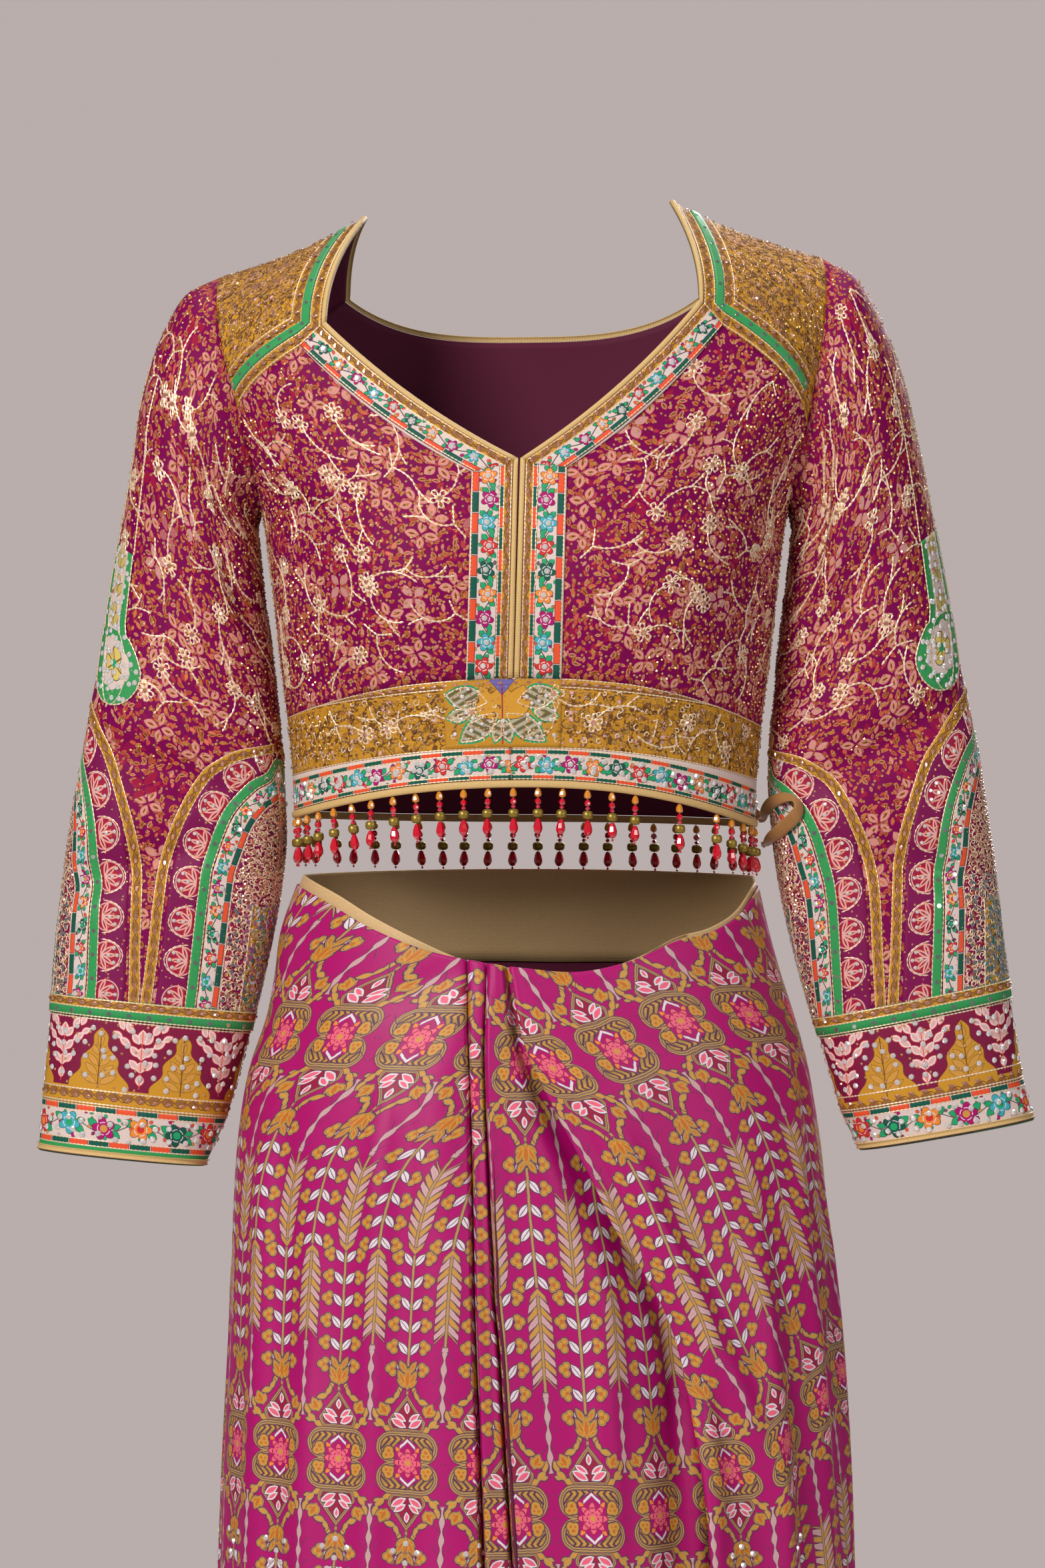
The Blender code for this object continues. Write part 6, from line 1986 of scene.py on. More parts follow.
def make_yoke(side, front, back, front_normals, back_normals, looks):
    grid = yoke_grid(side, front, back)
    normals = grid_normals(grid) * -side
    normals[:, 0], normals[:, -1] = front_normals, back_normals
    cloth = Cloth(grid, normals, grid_places(lengths_across(grid), lengths_along(grid)))
    sew("yoke_" + side_name(side), cloth, "yoke_cloth", looks["yoke"], looks["lining"])
    return cloth


def make_collar(yokes, back, looks):
    """The piping round the neck, over both yokes and the back panel between them."""
    middle = slice(BACK_YOKE_STEPS + 1, -BACK_YOKE_STEPS - 1)
    right, left = yokes[1], yokes[-1]
    edge = np.concatenate([right.grid[0], back.grid[-1, middle], left.grid[0, ::-1]])
    beside = np.concatenate([right.grid[1], back.grid[-2, middle], left.grid[1, ::-1]])
    ups = np.concatenate([right.normals[0], back.normals[-1, middle], left.normals[0, ::-1]])
    sew("collar_piping", edge_strip(edge, beside, ups), "piping", looks["piping"], **PIPED)


def tube_cloth(grid, normals=None):
    """A tube's cloth coordinates: round from its outer line, and along."""
    normals = tube_normals(grid) if normals is None else normals
    places = grid_places(lengths_across(grid), lengths_along(grid).mean(axis=1, keepdims=True))
    return Cloth(grid, normals, places, around=True)


# How much deeper the sleeves' creases are here than in their solids
SLEEVE_FOLD_DEPTH = 1.9


def make_sleeve(side, loop, looks):
    word = side_name(side)
    grid = sleeve_rings(side, loop)
    folds = [row for row in SLEEVE_CREASES if row[0] * side > 0]
    normals = tube_normals(grid)
    push = SLEEVE_FOLD_DEPTH * (fold_push(grid, normals, folds, -1) + fold_push(grid, normals, folds, 1))
    grid[1:] += (normals * push[..., None])[1:]
    cloth = tube_cloth(grid)
    sew("sleeve_" + word, cloth, "blouse_cloth", looks["sleeve"], looks["lining"])
    along = lengths_along(grid).mean(axis=1)
    end = along > along[-1] - CUFF_TRIM_LENGTH
    trim = tube_cloth(grid[end], cloth.normals[end])
    sleeve = "sleeve_" + word + "_cloth"
    sew("cuff_trim_" + word, trim, "green_band", looks["trim"], **LAID, rests_on=[sleeve])
    cuff = tube_cloth(tube_between(CUFF_BAND[side], CUFF_BAND_ROWS))
    sew("cuff_band_" + word, cuff, "blouse_cloth", looks["cuff"], looks["lining"])
    border = tube_cloth(shortened(tube_between(CUFF_BORDER[side], CUFF_BORDER_ROWS), CUFF_PIPING))
    border.cloth = border.cloth[..., ::-1]
    sew("cuff_border_" + word, border, "floral_border", looks["cuff_border"], looks["lining"])
    cord = edge_strip(border.grid[-1], border.grid[-2], border.normals[-1], CUFF_PIPING - SEAM)
    cord = Cloth(*(field.transpose(1, 0, 2) for field in (cord.grid, cord.normals, cord.cloth)), True)
    sew("cuff_piping_" + word, cord, "piping", looks["piping"], **PIPED)
    return cloth, trim, cuff, border


def band_cloth(angles, low, high, rows):
    """A band round the body between two edges: cloth coordinates run up from its lower edge, and along."""
    t = np.linspace(0, 1, rows + 1)[:, None]
    z = low * (1 - t) + high * t
    around = np.broadcast_to(angles, z.shape)
    grid = torso(around, z)
    over = lengths_across(grid).mean(axis=0)
    return Cloth(grid, surface_normals(torso, around, z), grid_places(lengths_along(grid), over[None]))


def make_bands(fronts, back, looks):
    """The gold band and the floral border round the lower edge."""
    middle = float(angle_at(centre_x(BORDER_TOP[0]), BORDER_TOP[0]))
    stretches = (
        ("front_left", np.append(fronts[-1][0, ::-1, 0], middle)),
        ("front_right", np.insert(fronts[1][0, :, 0], 0, middle)),
        ("back", back[0, :, 0]),
    )
    made = {}
    for where, angles in stretches:
        top, border, hem = (edge_height(edge, angles) for edge in (BAND_TOP, BORDER_TOP, HEM))
        band = band_cloth(angles, border, top, HEM_BAND_ROWS)
        sew("hem_band_" + where, band, "yoke_cloth", looks["hem_band"], looks["lining"])
        low = band_cloth(angles, hem + HEM_PIPING, border, HEM_BORDER_ROWS)
        sew("hem_border_" + where, low, "floral_border", looks["hem_border"], looks["lining"])
        made[where] = (band, low)
    return made


def make_tape(looks):
    """The plain tape inside the waist."""
    angles = np.linspace(-180, 180, TAPE_SAMPLES)
    place = WAIST_HALF_WIDTH * np.sin(np.radians(angles))
    show = from_table(TAPE_SHOW, TAPE_COLUMNS, "show", place, key="place")
    show = np.where(np.cos(np.radians(angles)) > 0, show, TAPE_SHOW[0][1])
    in_front = np.clip(TAPE_TURN * np.cos(np.radians(angles)), 0, 1)
    at_folds = in_front * np.exp(-(((place - TAPE_FOLDS[0]) / TAPE_FOLDS[1]) ** 4))
    depth = TAPE_DEPTH["back"] * (1 - in_front) + TAPE_DEPTH["front"] * in_front
    depth += (TAPE_DEPTH["folds"] - TAPE_DEPTH["front"]) * at_folds
    top = waist_height(angles)
    lap = TAPE_LAP["plain"] + (TAPE_LAP["folds"] - TAPE_LAP["plain"]) * at_folds
    heights = curve_through(np.array([top - TAPE_DROP, top - lap, top + show]), TAPE_PARTS)
    tape = tube_cloth(np.array([drape(angles, height, depth, 1 - at_folds) for height in heights]))
    held = {"held": "draped", "rests_on": ["drape_back_cloth"]}
    sew("waist_tape", tape, "waist_tape", looks["tape"], low=-TAPE_WALL, **held)


def make_blouse(looks):
    back_places, back = make_back(looks)
    fronts, yokes, parts = {}, {}, {"back": back}
    for side in (-1, 1):
        fronts[side], front, borders = make_front(side, looks)
        on_seam = slice(BACK_YOKE_STEPS, None, -1) if side > 0 else slice(-BACK_YOKE_STEPS - 1, None)
        count = (front.grid.shape[1] - 1) // BACK_YOKE_STEPS
        seam, ups = (split(field[-1, on_seam], count) for field in (back.grid, back.normals))
        yokes[side] = make_yoke(side, front.grid[-1], seam, front.normals[-1], ups, looks)
        loop = armhole_loop(side, front.grid, back.grid, yokes[side].grid)
        parts[side] = (front, borders, yokes[side], make_sleeve(side, loop, looks))
    make_collar(yokes, back, looks)
    parts["bands"] = make_bands(fronts, back_places, looks)
    make_tape(looks)
    return parts


# Threads, stones and beads
class Heap:
    """Points and faces gathered into one mesh."""

    def __init__(self):
        self.points, self.faces, self.count = [], [], 0

    def add(self, points, faces):
        points = np.asarray(points, float).reshape(-1, 3)
        self.points.append(points)
        self.faces += (np.asarray(faces).reshape(-1, np.shape(faces)[-1]) + self.count).tolist()
        self.count += len(points)

    def build(self, name, material, slot, flat=False):
        if not self.faces:
            return None
        points = np.concatenate(self.points)
        piece = add_object(name, points, self.faces, np.zeros((len(points), 2)), [material], flat=flat)
        return piece


def circle(sides):
    return np.arange(sides) / sides * 2 * math.pi


def sideways(path, normals):
    """The ways across a path on a surface."""
    return unit(np.cross(normals, unit(np.gradient(path, axis=0), 1e-9)), 1e-9)


def add_thread(heap, path, normals, radius, sides):
    """A thin tube along a path on a surface."""
    side, turn = sideways(path, normals), circle(sides)
    ring_points = np.cos(turn)[None, :, None] * side[:, None] + np.sin(turn)[None, :, None] * normals[:, None]
    k = np.arange(len(path) - 1)[:, None] * sides
    j = np.arange(sides)[None, :]
    nxt = (j + 1) % sides
    faces = np.stack([k + j, k + nxt, k + sides + nxt, k + sides + j], axis=2)
    heap.add(path[:, None] + ring_points * radius, faces)


def add_ribbon(heap, path, normals, half, low, high):
    """A raised ribbon along a path on a surface: its edges low, its middle high."""
    side = sideways(path, normals)
    half, low, high = (np.broadcast_to(value, len(path))[:, None] for value in (half, low, high))
    foot = path + normals * low
    k = np.arange(len(path) - 1)[:, None] * 3
    j = np.arange(2)[None, :]
    faces = np.stack([k + j, k + j + 1, k + j + 4, k + j + 3], axis=2)
    heap.add(np.stack([foot + side * half, path + normals * high, foot - side * half], axis=1), faces)


# A chain stitch's narrow share where its links meet, its heights against its width, and its fewest points
LINK_NARROW = 0.30
LINK_FOOT = 0.02
LINK_RISE = (0.28, 0.56)
LINK_POINTS = 9
LINK_PITCH = 0.0032
SHORT_LINK_PITCH = 0.0026
LINK_WIDTH = 0.0016


def add_chain(heap, path, normals, width=LINK_WIDTH, pitch=LINK_PITCH):
    """Chain stitch along a path: raised links, wide at their middles and narrow where they meet."""
    along = lengths(path)
    if along[-1] < pitch:
        return
    at = np.linspace(0, along[-1], max(2 * int(along[-1] / pitch) + 1, LINK_POINTS))
    wide = np.arange(len(at)) % 2
    half = width / 2 * (LINK_NARROW + (1 - LINK_NARROW) * wide)
    high = width * np.where(wide == 1, LINK_RISE[1], LINK_RISE[0])
    points, ups = between(at, along, path), unit(between(at, along, normals))
    add_ribbon(heap, points, ups, half, width * LINK_FOOT, high)


def stamp(heap, shape, faces, places, normals, ways, sizes, stretch=1.0):
    """Copies of a small shape on a surface, its z along the normal and its x along the given way."""
    if not len(places):
        return
    side = unit(np.cross(normals, ways), 1e-9)
    way = np.cross(side, normals)
    sizes = np.broadcast_to(np.asarray(sizes, float), len(places))[:, None, None]
    x, y, z = (shape[None, :, k, None] for k in range(3))
    points = places[:, None] + sizes * (x * stretch * way[:, None] + y * side[:, None] + z * normals[:, None])
    heap.add(points, np.asarray(faces)[None] + (np.arange(len(places)) * len(shape))[:, None, None])


def dome(sides, levels):
    """A round shape of triangles from (radius, height) levels, closed at its top."""
    points = [[r * math.cos(a), r * math.sin(a), h] for r, h in levels[:-1] for a in circle(sides)]
    points.append([0, 0, levels[-1][1]])
    faces = []
    for level in range(len(levels) - 2):
        for j in range(sides):
            a, b = level * sides + j, level * sides + (j + 1) % sides
            faces += [(a, b, b + sides), (a, b + sides, a + sides)]
    top, last = len(points) - 1, (len(levels) - 2) * sides
    faces += [(last + j, last + (j + 1) % sides, top) for j in range(sides)]
    return np.array(points), faces


BEAD = dome(5, ((1.0, 0.1), (0.0, 1.0)))
STONE = dome(8, ((1.0, 0.05), (0.58, 0.55), (0.0, 0.55)))
SEQUIN = dome(6, ((1.0, 0.0), (0.92, 0.14), (0.0, 0.14)))
# Half widths of the stones and beads, in metres
STONE_SIZE = 0.0019
BEAD_SIZES = (0.00075, 0.00105)
STUD_SHAPES = {"copper": BEAD, "crystal": STONE, "rose": STONE, "silver": SEQUIN, "teal": SEQUIN}


def spread(cloth, pitch, generator, margin=1.0, loose=0.42):
    """Cloth coordinates scattered evenly over a cloth, about one pitch apart."""
    low, high = cloth.cloth.reshape(-1, 2).min(axis=0), cloth.cloth.reshape(-1, 2).max(axis=0)
    x, y = np.meshgrid(np.arange(low[0], high[0], pitch), np.arange(low[1], high[1], pitch))
    places = np.stack([x.ravel(), y.ravel()], axis=1)
    places = places + generator.uniform(-loose, loose, places.shape) * pitch
    return places[inside(cloth, places, margin)]


def inside(cloth, places, margin=1.0):
    """Which cloth coordinates lie on the cloth, and not within a margin of rows or columns from its edge."""
    i, j = cloth.where(places)
    rows, cols = cloth.grid.shape[:2]
    a, b = i.round().astype(int), j.round().astype(int)
    size = np.abs(np.gradient(cloth.cloth, axis=0)).max() + np.abs(np.gradient(cloth.cloth, axis=1)).max()
    near = np.linalg.norm(cloth.cloth[a, b] - places, axis=1) < size
    return near & (i > margin) & (i < rows - 1 - margin) & (j > margin) & (j < cols - 1 - margin)


def put(cloth, places, lift=0.0):
    """Points, normals and a way across, for cloth coordinates."""
    points, normals = cloth.place(places, lift)
    ways = np.cross(np.array([0.0, 0.0, 1.0]), normals)
    return points, normals, ways


def turned(ways, normals, generator):
    """The ways turned at random about their normals."""
    angle = generator.uniform(0, 2 * math.pi, len(ways))[:, None]
    return ways * np.cos(angle) + np.cross(normals, ways) * np.sin(angle)


# One branch of the embroidery: lengths in millimetres and angles in degrees, some between two limits
STEM_LENGTH, STEM_BEND = (26, 34), (60, 120)
TWIG_LENGTH, TWIG_HEADING, TWIG_BEND = (9, 15), (95, 140), 20.0
# Columns: heading against the stem's end, bend
END_TWIGS = ((-80, 10.0), (70, -10.0))
END_TWIG_LENGTH = (8, 13)
FLOWER_AHEAD = 4.0
PETAL_START, PETAL_REACH, PETAL_WIDTH = 0.8, 5.2, 4.2
STEM_STEPS, TWIG_STEPS, PETAL_POINTS = 14, 6, 15


def arc(start, heading, length, bend_angle, steps):
    """Points of a stem from a start, which turns steadily through an angle."""
    t = (np.arange(steps) + 0.5) / steps
    angle = np.radians(heading + bend_angle * t)
    step = np.stack([np.cos(angle), np.sin(angle)], axis=1) * length / steps
    return np.concatenate([[start], start + np.cumsum(step, axis=0)])


def flower_loops(middle, petals, heading):
    """Outlines of pointed petals round a middle."""
    loops = []
    t = np.linspace(0, 1, PETAL_POINTS)
    out = 0.5 - 0.5 * np.cos(2 * math.pi * t)
    swing = np.sin(2 * math.pi * t) * np.sqrt(out)
    for k in range(petals):
        angle = math.radians(heading + 360 * k / petals)
        c, s = math.cos(angle), math.sin(angle)
        reach = np.array([c, s]) * (PETAL_START + PETAL_REACH * out[:, None])
        loops.append(middle + reach + np.array([-s, c]) * (swing[:, None] * PETAL_WIDTH / 2))
    return loops


def branch(generator, kind):
    """Chains and flower middles of one branch round the origin, in metres."""
    flowers = []
    bend_angle = generator.uniform(*STEM_BEND) * generator.choice([-1, 1])
    stem = arc(np.zeros(2), 0.0, generator.uniform(*STEM_LENGTH), bend_angle, STEM_STEPS)
    heading = generator.uniform(*TWIG_HEADING) * -np.sign(bend_angle)
    chains = [stem, arc(stem[5], heading, generator.uniform(*TWIG_LENGTH), TWIG_BEND, TWIG_STEPS)]
    if kind == 0:
        for aside, bend_over in END_TWIGS:
            length = generator.uniform(*END_TWIG_LENGTH)
            chains.append(arc(stem[-1], bend_angle + aside, length, bend_over, TWIG_STEPS))
    else:
        end = math.radians(bend_angle)
        flowers.append(stem[-1] + np.array([math.cos(end), math.sin(end)]) * FLOWER_AHEAD)
        chains += flower_loops(flowers[0], 4 + kind, generator.uniform(0, 90))
    return [c / 1000 for c in chains], [f / 1000 for f in flowers]


def embroider(name, cloth, pitch, generator, looks, beads_pitch, keep=None, thread="zari"):
    """Branches of gold chain stitch over a cloth, with stones in their flowers and beads between."""
    threads, beads, stones = Heap(), Heap(), Heap()
    hearts = []
    anchors = spread(cloth, pitch, generator, 3.0, 0.35)
    if keep is not None:
        anchors = anchors[keep(anchors)]
    for k, anchor in enumerate(anchors):
        turn = generator.uniform(0, 2 * math.pi)
        c, s = math.cos(turn), math.sin(turn)
        spin = np.array([[c, s], [-s, c]])
        chains, flowers = branch(generator, k % 3)
        shift = chains[0].mean(axis=0)
        for chain in chains:
            places = (chain - shift) @ spin + anchor
            if inside(cloth, places, 1.2).all():
                points, normals = cloth.place(places)
                add_chain(threads, points, normals)
        for flower in flowers:
            hearts.append((flower - shift) @ spin + anchor)
    if hearts:
        hearts = np.array(hearts)
        hearts = hearts[inside(cloth, hearts, 2.0)]
    if len(hearts):
        points, normals, ways = put(cloth, hearts, 0.0003)
        stamp(stones, *STONE, points, normals, ways, STONE_SIZE)
    points, normals, ways = put(cloth, spread(cloth, beads_pitch, generator, 0.6), 0.0001)
    ways = turned(ways, normals, generator)
    stamp(beads, *BEAD, points, normals, ways, generator.uniform(*BEAD_SIZES, len(points)))
    threads.build(name + "_thread", looks[thread], "blouse_cloth")
    beads.build(name + "_beads", looks["copper"], "blouse_cloth", True)
    stones.build(name + "_stones", looks["rose"], "blouse_cloth", True)


# Borders, yokes and bands
def dress_path(name, cloth, places, looks, width=0.0013, pitch=SHORT_LINK_PITCH):
    """Chain stitch along each of these paths of cloth coordinates."""
    heap = Heap()
    for path in places:
        points, normals = cloth.place(path)
        add_chain(heap, points, normals, width, pitch)
    heap.build(name, looks["zari"], "blouse_cloth")


def studs(name, cloth, places, looks, look, slot, size, stretch=1.0, across=False, lift=0.0002):
    """Stones or beads at these cloth coordinates."""
    places = np.asarray(places, float)
    places = places[inside(cloth, places, 0.1)]
    heap = Heap()
    if len(places):
        points, normals, ways = put(cloth, places, lift)
        ways = np.cross(normals, ways) if across else ways
        stamp(heap, *STUD_SHAPES[look], points, normals, ways, size, stretch)
    heap.build(name, looks[look], slot, True)


def along_line(u, start, end, step):
    """Cloth coordinates in a line along the cloth, at one place across."""
    v = np.arange(start, end, step)
    return np.stack([np.full(len(v), u), v], axis=1)


def round_line(v, start, end, step):
    """Cloth coordinates in a line across the cloth, at one place along."""
    return along_line(v, start, end, step)[:, ::-1]


def dress_border(name, cloth, looks, edges, flowers, stones=None):
    """Chain edging at places across a border, stones in its flowers, and marquise stones on its chain."""
    low, high = cloth.cloth[..., 1].min(), cloth.cloth[..., 1].max()
    paths = [along_line(u / 1000, low + 0.001, high - 0.001, 0.0012) for u in edges]
    dress_path(name + "_edging", cloth, paths, looks, 0.0009)
    if flowers is not None:
        pitch = FLOWER_PITCH / 1000
        first = math.ceil(low / pitch - 0.5)
        index = np.arange(first, int(high / pitch) + 1)
        swing = np.where(index % 2 == 0, -0.5, 0.5) * flowers[1] * 0.25
        places = np.stack([(flowers[0] - swing) / 1000, (index + 0.5) * pitch], axis=1)
        studs(name + "_crystals", cloth, places, looks, "crystal", "floral_border", STONE_SIZE)
    if stones is not None:
        v = np.arange(low + 0.003, high - 0.002, 0.0062)
        u = np.full(len(v), stones / 1000) + np.where(np.arange(len(v)) % 2 == 0, -0.0008, 0.0008)
        places = np.stack([u, v], axis=1)
        studs(name + "_marquise", cloth, places, looks, "rose", "floral_border", 0.00105, 1.9, True)


def dress_front(side, front, borders, looks, generator):
    word = side_name(side)
    placket, neck = (borders[part].lifted(LAID_TOP) for part in ("placket", "neck"))
    dress_border("placket_" + word, placket, looks, (0.5, 4.8, 7.3, 24.2), (13.9, 6.5), 2.3)
    dress_border("neck_" + word, neck, looks, (0.5, 5.3, 16.6), (9.8, 4.4), 2.6)

    def off_border(places):
        return front.where(places)[1] > FINE * STRIP_STEPS + 1

    embroider("front_" + word, front, 0.028, generator, looks, 0.0046, off_border)


# How far the yoke's ribbon reaches
YOKE_EDGE = 0.0255
# Lines of chain beside the yoke's edges, and its rows of stones. Columns: place, look, size, stretch, step
YOKE_CHAINS = (0.0012, 0.0088, 0.0162, 0.0232)
YOKE_ROWS = (
    (0.0050, "rose", 0.0011, 1.8, 9),
    (0.0195, "rose", 0.0011, 1.8, 9),
    ((FRONT_STRIPS[1][1] + FRONT_STRIPS[2][1]) / 2, "silver", 0.0013, 1.0, 12),
)


def corner_path(far, distance, counts):
    """A line this far from the yoke's front seam and neck edge, with the steps on each of its two legs."""
    corner = np.array([[distance, far[1]], [distance, distance], [far[0], distance]])
    return joined(run(corner[:2], counts[0]), run(corner[1:], counts[1]))


def yoke_ribbon(side, yoke, looks):
    """The green ribbon along the yoke's front seam and neck edge, with chain edging and sequins."""
    word = side_name(side)
    across, along = yoke.cloth[..., 0], yoke.cloth[..., 1]
    far = (float(across[10:40, -1].min()) - 0.002, float(along[-1, 2:12].min()) - 0.001)
    distances = np.linspace(FRONT_STRIPS[1][1], FRONT_STRIPS[2][1], 6)
    places = np.stack([corner_path(far, distance, (30, 40)) for distance in distances], axis=1)
    ribbon = yoke.laid(places, distances[None, :], lengths(places[:, 0])[:, None])
    sew("yoke_band_" + word, ribbon, "green_band", looks["green"], **LAID)
    paths = [corner_path(far, distance, (50, 60)) for distance in YOKE_CHAINS]
    dress_path("yoke_edging_" + word, yoke.lifted(0.0002), paths, looks, 0.0010)
    raised = yoke.lifted(LAID_TOP)
    for place, look, size, stretch, step in YOKE_ROWS:
        path = corner_path(far, place, (90, 120))[3::step]
        name = "yoke_" + look + str(int(place * 10000)) + "_" + word
        studs(name, raised, path, looks, look, "yoke_cloth", size, stretch)


# Points along one curl of thread, half its width, and how far it turns, in radians
CURL_POINTS = 5
CURL_HALF = 0.00038
CURL_SWEEP = (2.6, 5.2)


def add_curls(heap, cloth, places, generator, sizes, low, swell):
    """Small raised loops of thread, one at each place."""
    rise = low + swell * np.sin(np.linspace(0, math.pi, CURL_POINTS))
    for place in places:
        turn = generator.uniform(0, 2 * math.pi)
        t = np.linspace(0, generator.uniform(*CURL_SWEEP), CURL_POINTS) + turn
        path = place + np.stack([np.cos(t), np.sin(t)], axis=1) * generator.uniform(*sizes)
        points, normals = cloth.place(path)
        add_ribbon(heap, points, normals, CURL_HALF, rise - CURL_HALF, rise)


def curls(name, cloth, pitch, generator, looks, keep, tones=("zari", "brown")):
    """Loops of thread in two tones, closely strewn."""
    for tone in tones:
        heap = Heap()
        places = spread(cloth, pitch, generator, 1.5)
        add_curls(heap, cloth, places[keep(places)], generator, (0.0011, 0.0019), 0.0005, 0.0007)
        heap.build(name + "_curls_" + tone, looks[tone], "yoke_cloth")


def dress_yoke(side, yoke, looks, generator):
    word = side_name(side)
    yoke_ribbon(side, yoke, looks)

    def field(places):
        return (np.abs(places) > YOKE_EDGE).all(axis=1)

    curls("yoke_" + word, yoke, 0.0068, generator, looks, field, ("antique", "brown"))
    embroider("yoke_branch_" + word, yoke, 0.026, generator, looks, 0.011, field, "antique")
    places = spread(yoke, 0.0056, generator, 1.0)
    places = places[field(places)]
    studs("yoke_beads_" + word, yoke, places, looks, "copper", "yoke_cloth", 0.0008)


def dress_bands(bands, looks, generator):
    for where, (band, low) in bands.items():
        span = (band.cloth[..., 1].min(), band.cloth[..., 1].max())
        top = band.cloth[..., 0].max() * 1000
        ends = (span[0] + 0.001, span[1] - 0.001)
        paths = [along_line(across / 1000, *ends, 0.0012) for across in (0.6, top - 5.4, top - 0.6)]
        dress_path("hem_edging_" + where, band, paths, looks, 0.0010)
        row = along_line((top - 2.9) / 1000, span[0] + 0.004, span[1] - 0.003, 0.0068)
        studs("hem_marquise_" + where, band, row, looks, "rose", "yoke_cloth", 0.0011, 1.8)

        def field(places, limit=(top - 6.5) / 1000):
            return places[:, 0] < limit

        curls("hem_" + where, band, 0.0096, generator, looks, field)
        embroider("hem_branch_" + where, band, 0.024, generator, looks, 0.010, field)
        places = spread(band, 0.0052, generator, 1.0)
        studs("hem_beads_" + where, band, places[field(places)], looks, "copper", "yoke_cloth", 0.0008)
        dress_border("hem_low_" + where, low, looks, (0.5, 2.9, 15.6, 18.4), (9.25, 5.4), None)
        places = spread(low, 0.0075, generator, 1.5)
        near = np.abs(places[:, 0] - 0.0093) < 0.0052
        studs("hem_gems_" + where, low, places[near], looks, "crystal", "floral_border", STONE_SIZE)


MOTIF_MIDDLE = -0.0135
MOTIF_HALF = 0.036
MOTIF_TURN = 26.0


def add_motif(looks, generator):
    """The large flower at the middle of the hem band, with chain stitch and stones over it."""
    middle = float(angle_at(MOTIF_MIDDLE, BORDER_TOP[0]))
    turn = np.linspace(middle - MOTIF_TURN, middle + MOTIF_TURN, 61)
    low, high = edge_height(BORDER_TOP, turn) + 0.0008, edge_height(BAND_TOP, turn) - 0.0008
    motif = band_cloth(turn, low, high, HEM_BAND_ROWS)
    across = motif.cloth[..., 1] - motif.cloth[:, 30:31, 1]
    keep = np.abs(across[0]) < MOTIF_HALF
    up = motif.cloth[..., 0] - motif.cloth[..., 0].max(axis=0, keepdims=True) / 2
    own = np.stack([across, up], axis=2)[:, keep]
    motif = Cloth(motif.grid[:, keep], motif.normals[:, keep], own)
    laid_wall("hem_motif", motif, looks["motif"], 0.0001, 0.0004)
    lifted = motif.lifted(0.0005)
    paths = []
    t = np.linspace(0, 1, 26)
    out = 0.5 - 0.5 * np.cos(math.pi * np.concatenate([t, 1 - t[1:]]))
    for x, y, angle, length, width in MOTIF_LEAVES:
        along = length * out
        aside = np.sin(math.pi * along / length) * width * 0.5
        aside[len(t):] *= -1
        c, s = math.cos(math.radians(angle)), math.sin(math.radians(angle))
        xs, ys = x + along * c - aside * s, y + along * s + aside * c
        for sign in (-1, 1):
            path = np.stack([sign * xs, ys], axis=1) / 1000
            if inside(lifted, path, 0.3).all():
                paths.append(path)
    dress_path("hem_motif_edging", lifted, paths, looks, 0.0010)
    for part, pitch, look, size in (("gems", 0.0085, "crystal", 0.0014), ("beads", 0.0060, "copper", 0.0009)):
        spots = spread(lifted, pitch, generator, 0.8)
        off_bloom = (np.abs(spots[:, 0]) > 0.011) | (spots[:, 1] < -0.004)
        studs("hem_motif_" + part, lifted, spots[off_bloom], looks, look, "yoke_cloth", size)


# Sleeves: nested pointed arches on the lower half, mirrored about the lines that run down its front and back
ARCH_COLUMNS = ("height", "braid", "green")
ARCHES = (
    (0.1340, 82.0, 98.0),
    (0.1215, 54.0, 82.0),
    (0.1100, 39.0, 74.0),
    (0.1000, 30.0, 60.0),
    (0.0800, 20.5, 47.0),
    (0.0550, 11.5, 38.5),
    (0.0300, 7.5, 34.5),
    (-0.0100, 5.6, 32.5),
    (-0.0333, 4.2, 31.5),
    (-0.0600, 3.4, 31.0),
)
AXIS_COLUMNS = ("height", "place")
AXIS = {
    -1: ((-0.0400, -0.2385), (-0.0330, -0.2375), (0.0290, -0.2330), (0.0800, -0.2300), (0.1400, -0.2250)),
    1: ((-0.0400, 0.2240), (-0.0330, 0.2240), (0.0290, 0.2235), (0.0800, 0.2210), (0.1400, 0.2150)),
}


class Sleeve:
    """A sleeve's cloth, and the way from (height, distance from its middle line) to cloth coordinates."""

    def __init__(self, side, cloth):
        self.cloth = cloth
        grid = cloth.grid[::-1]
        over = lengths_across(grid)
        self.heights = grid[..., 2].mean(axis=1)
        self.along = cloth.cloth[::-1, 0, 1]
        self.round = over[:, -1]
        rows = sorted(AXIS[side])
        middle = np.interp(self.heights, *(column(rows, AXIS_COLUMNS, name) for name in AXIS_COLUMNS))
        front = slice(grid.shape[1] // 2)
        self.axis = np.array([
            np.interp(-side * place, np.sort(-side * xs), us)
            for place, xs, us in zip(middle, grid[:, front, 0], over[:, front])
        ])

    def place(self, heights, distance, behind):
        """Cloth coordinates at a height and a distance from the front middle line, or from the back one."""
        heights = np.asarray(heights, float)
        v = np.interp(heights, self.heights, self.along)
        size = np.interp(heights, self.heights, self.round)
        u = np.interp(heights, self.heights, self.axis)
        u = (u + size / 2 if behind else u) + distance
        return np.stack([u % size, np.broadcast_to(v, u.shape)], axis=-1)

    def limit(self, heights):
        """How far the arches of one side may reach round."""
        return np.interp(heights, self.heights, self.round) / 4


ARCH_STEP = 0.0022


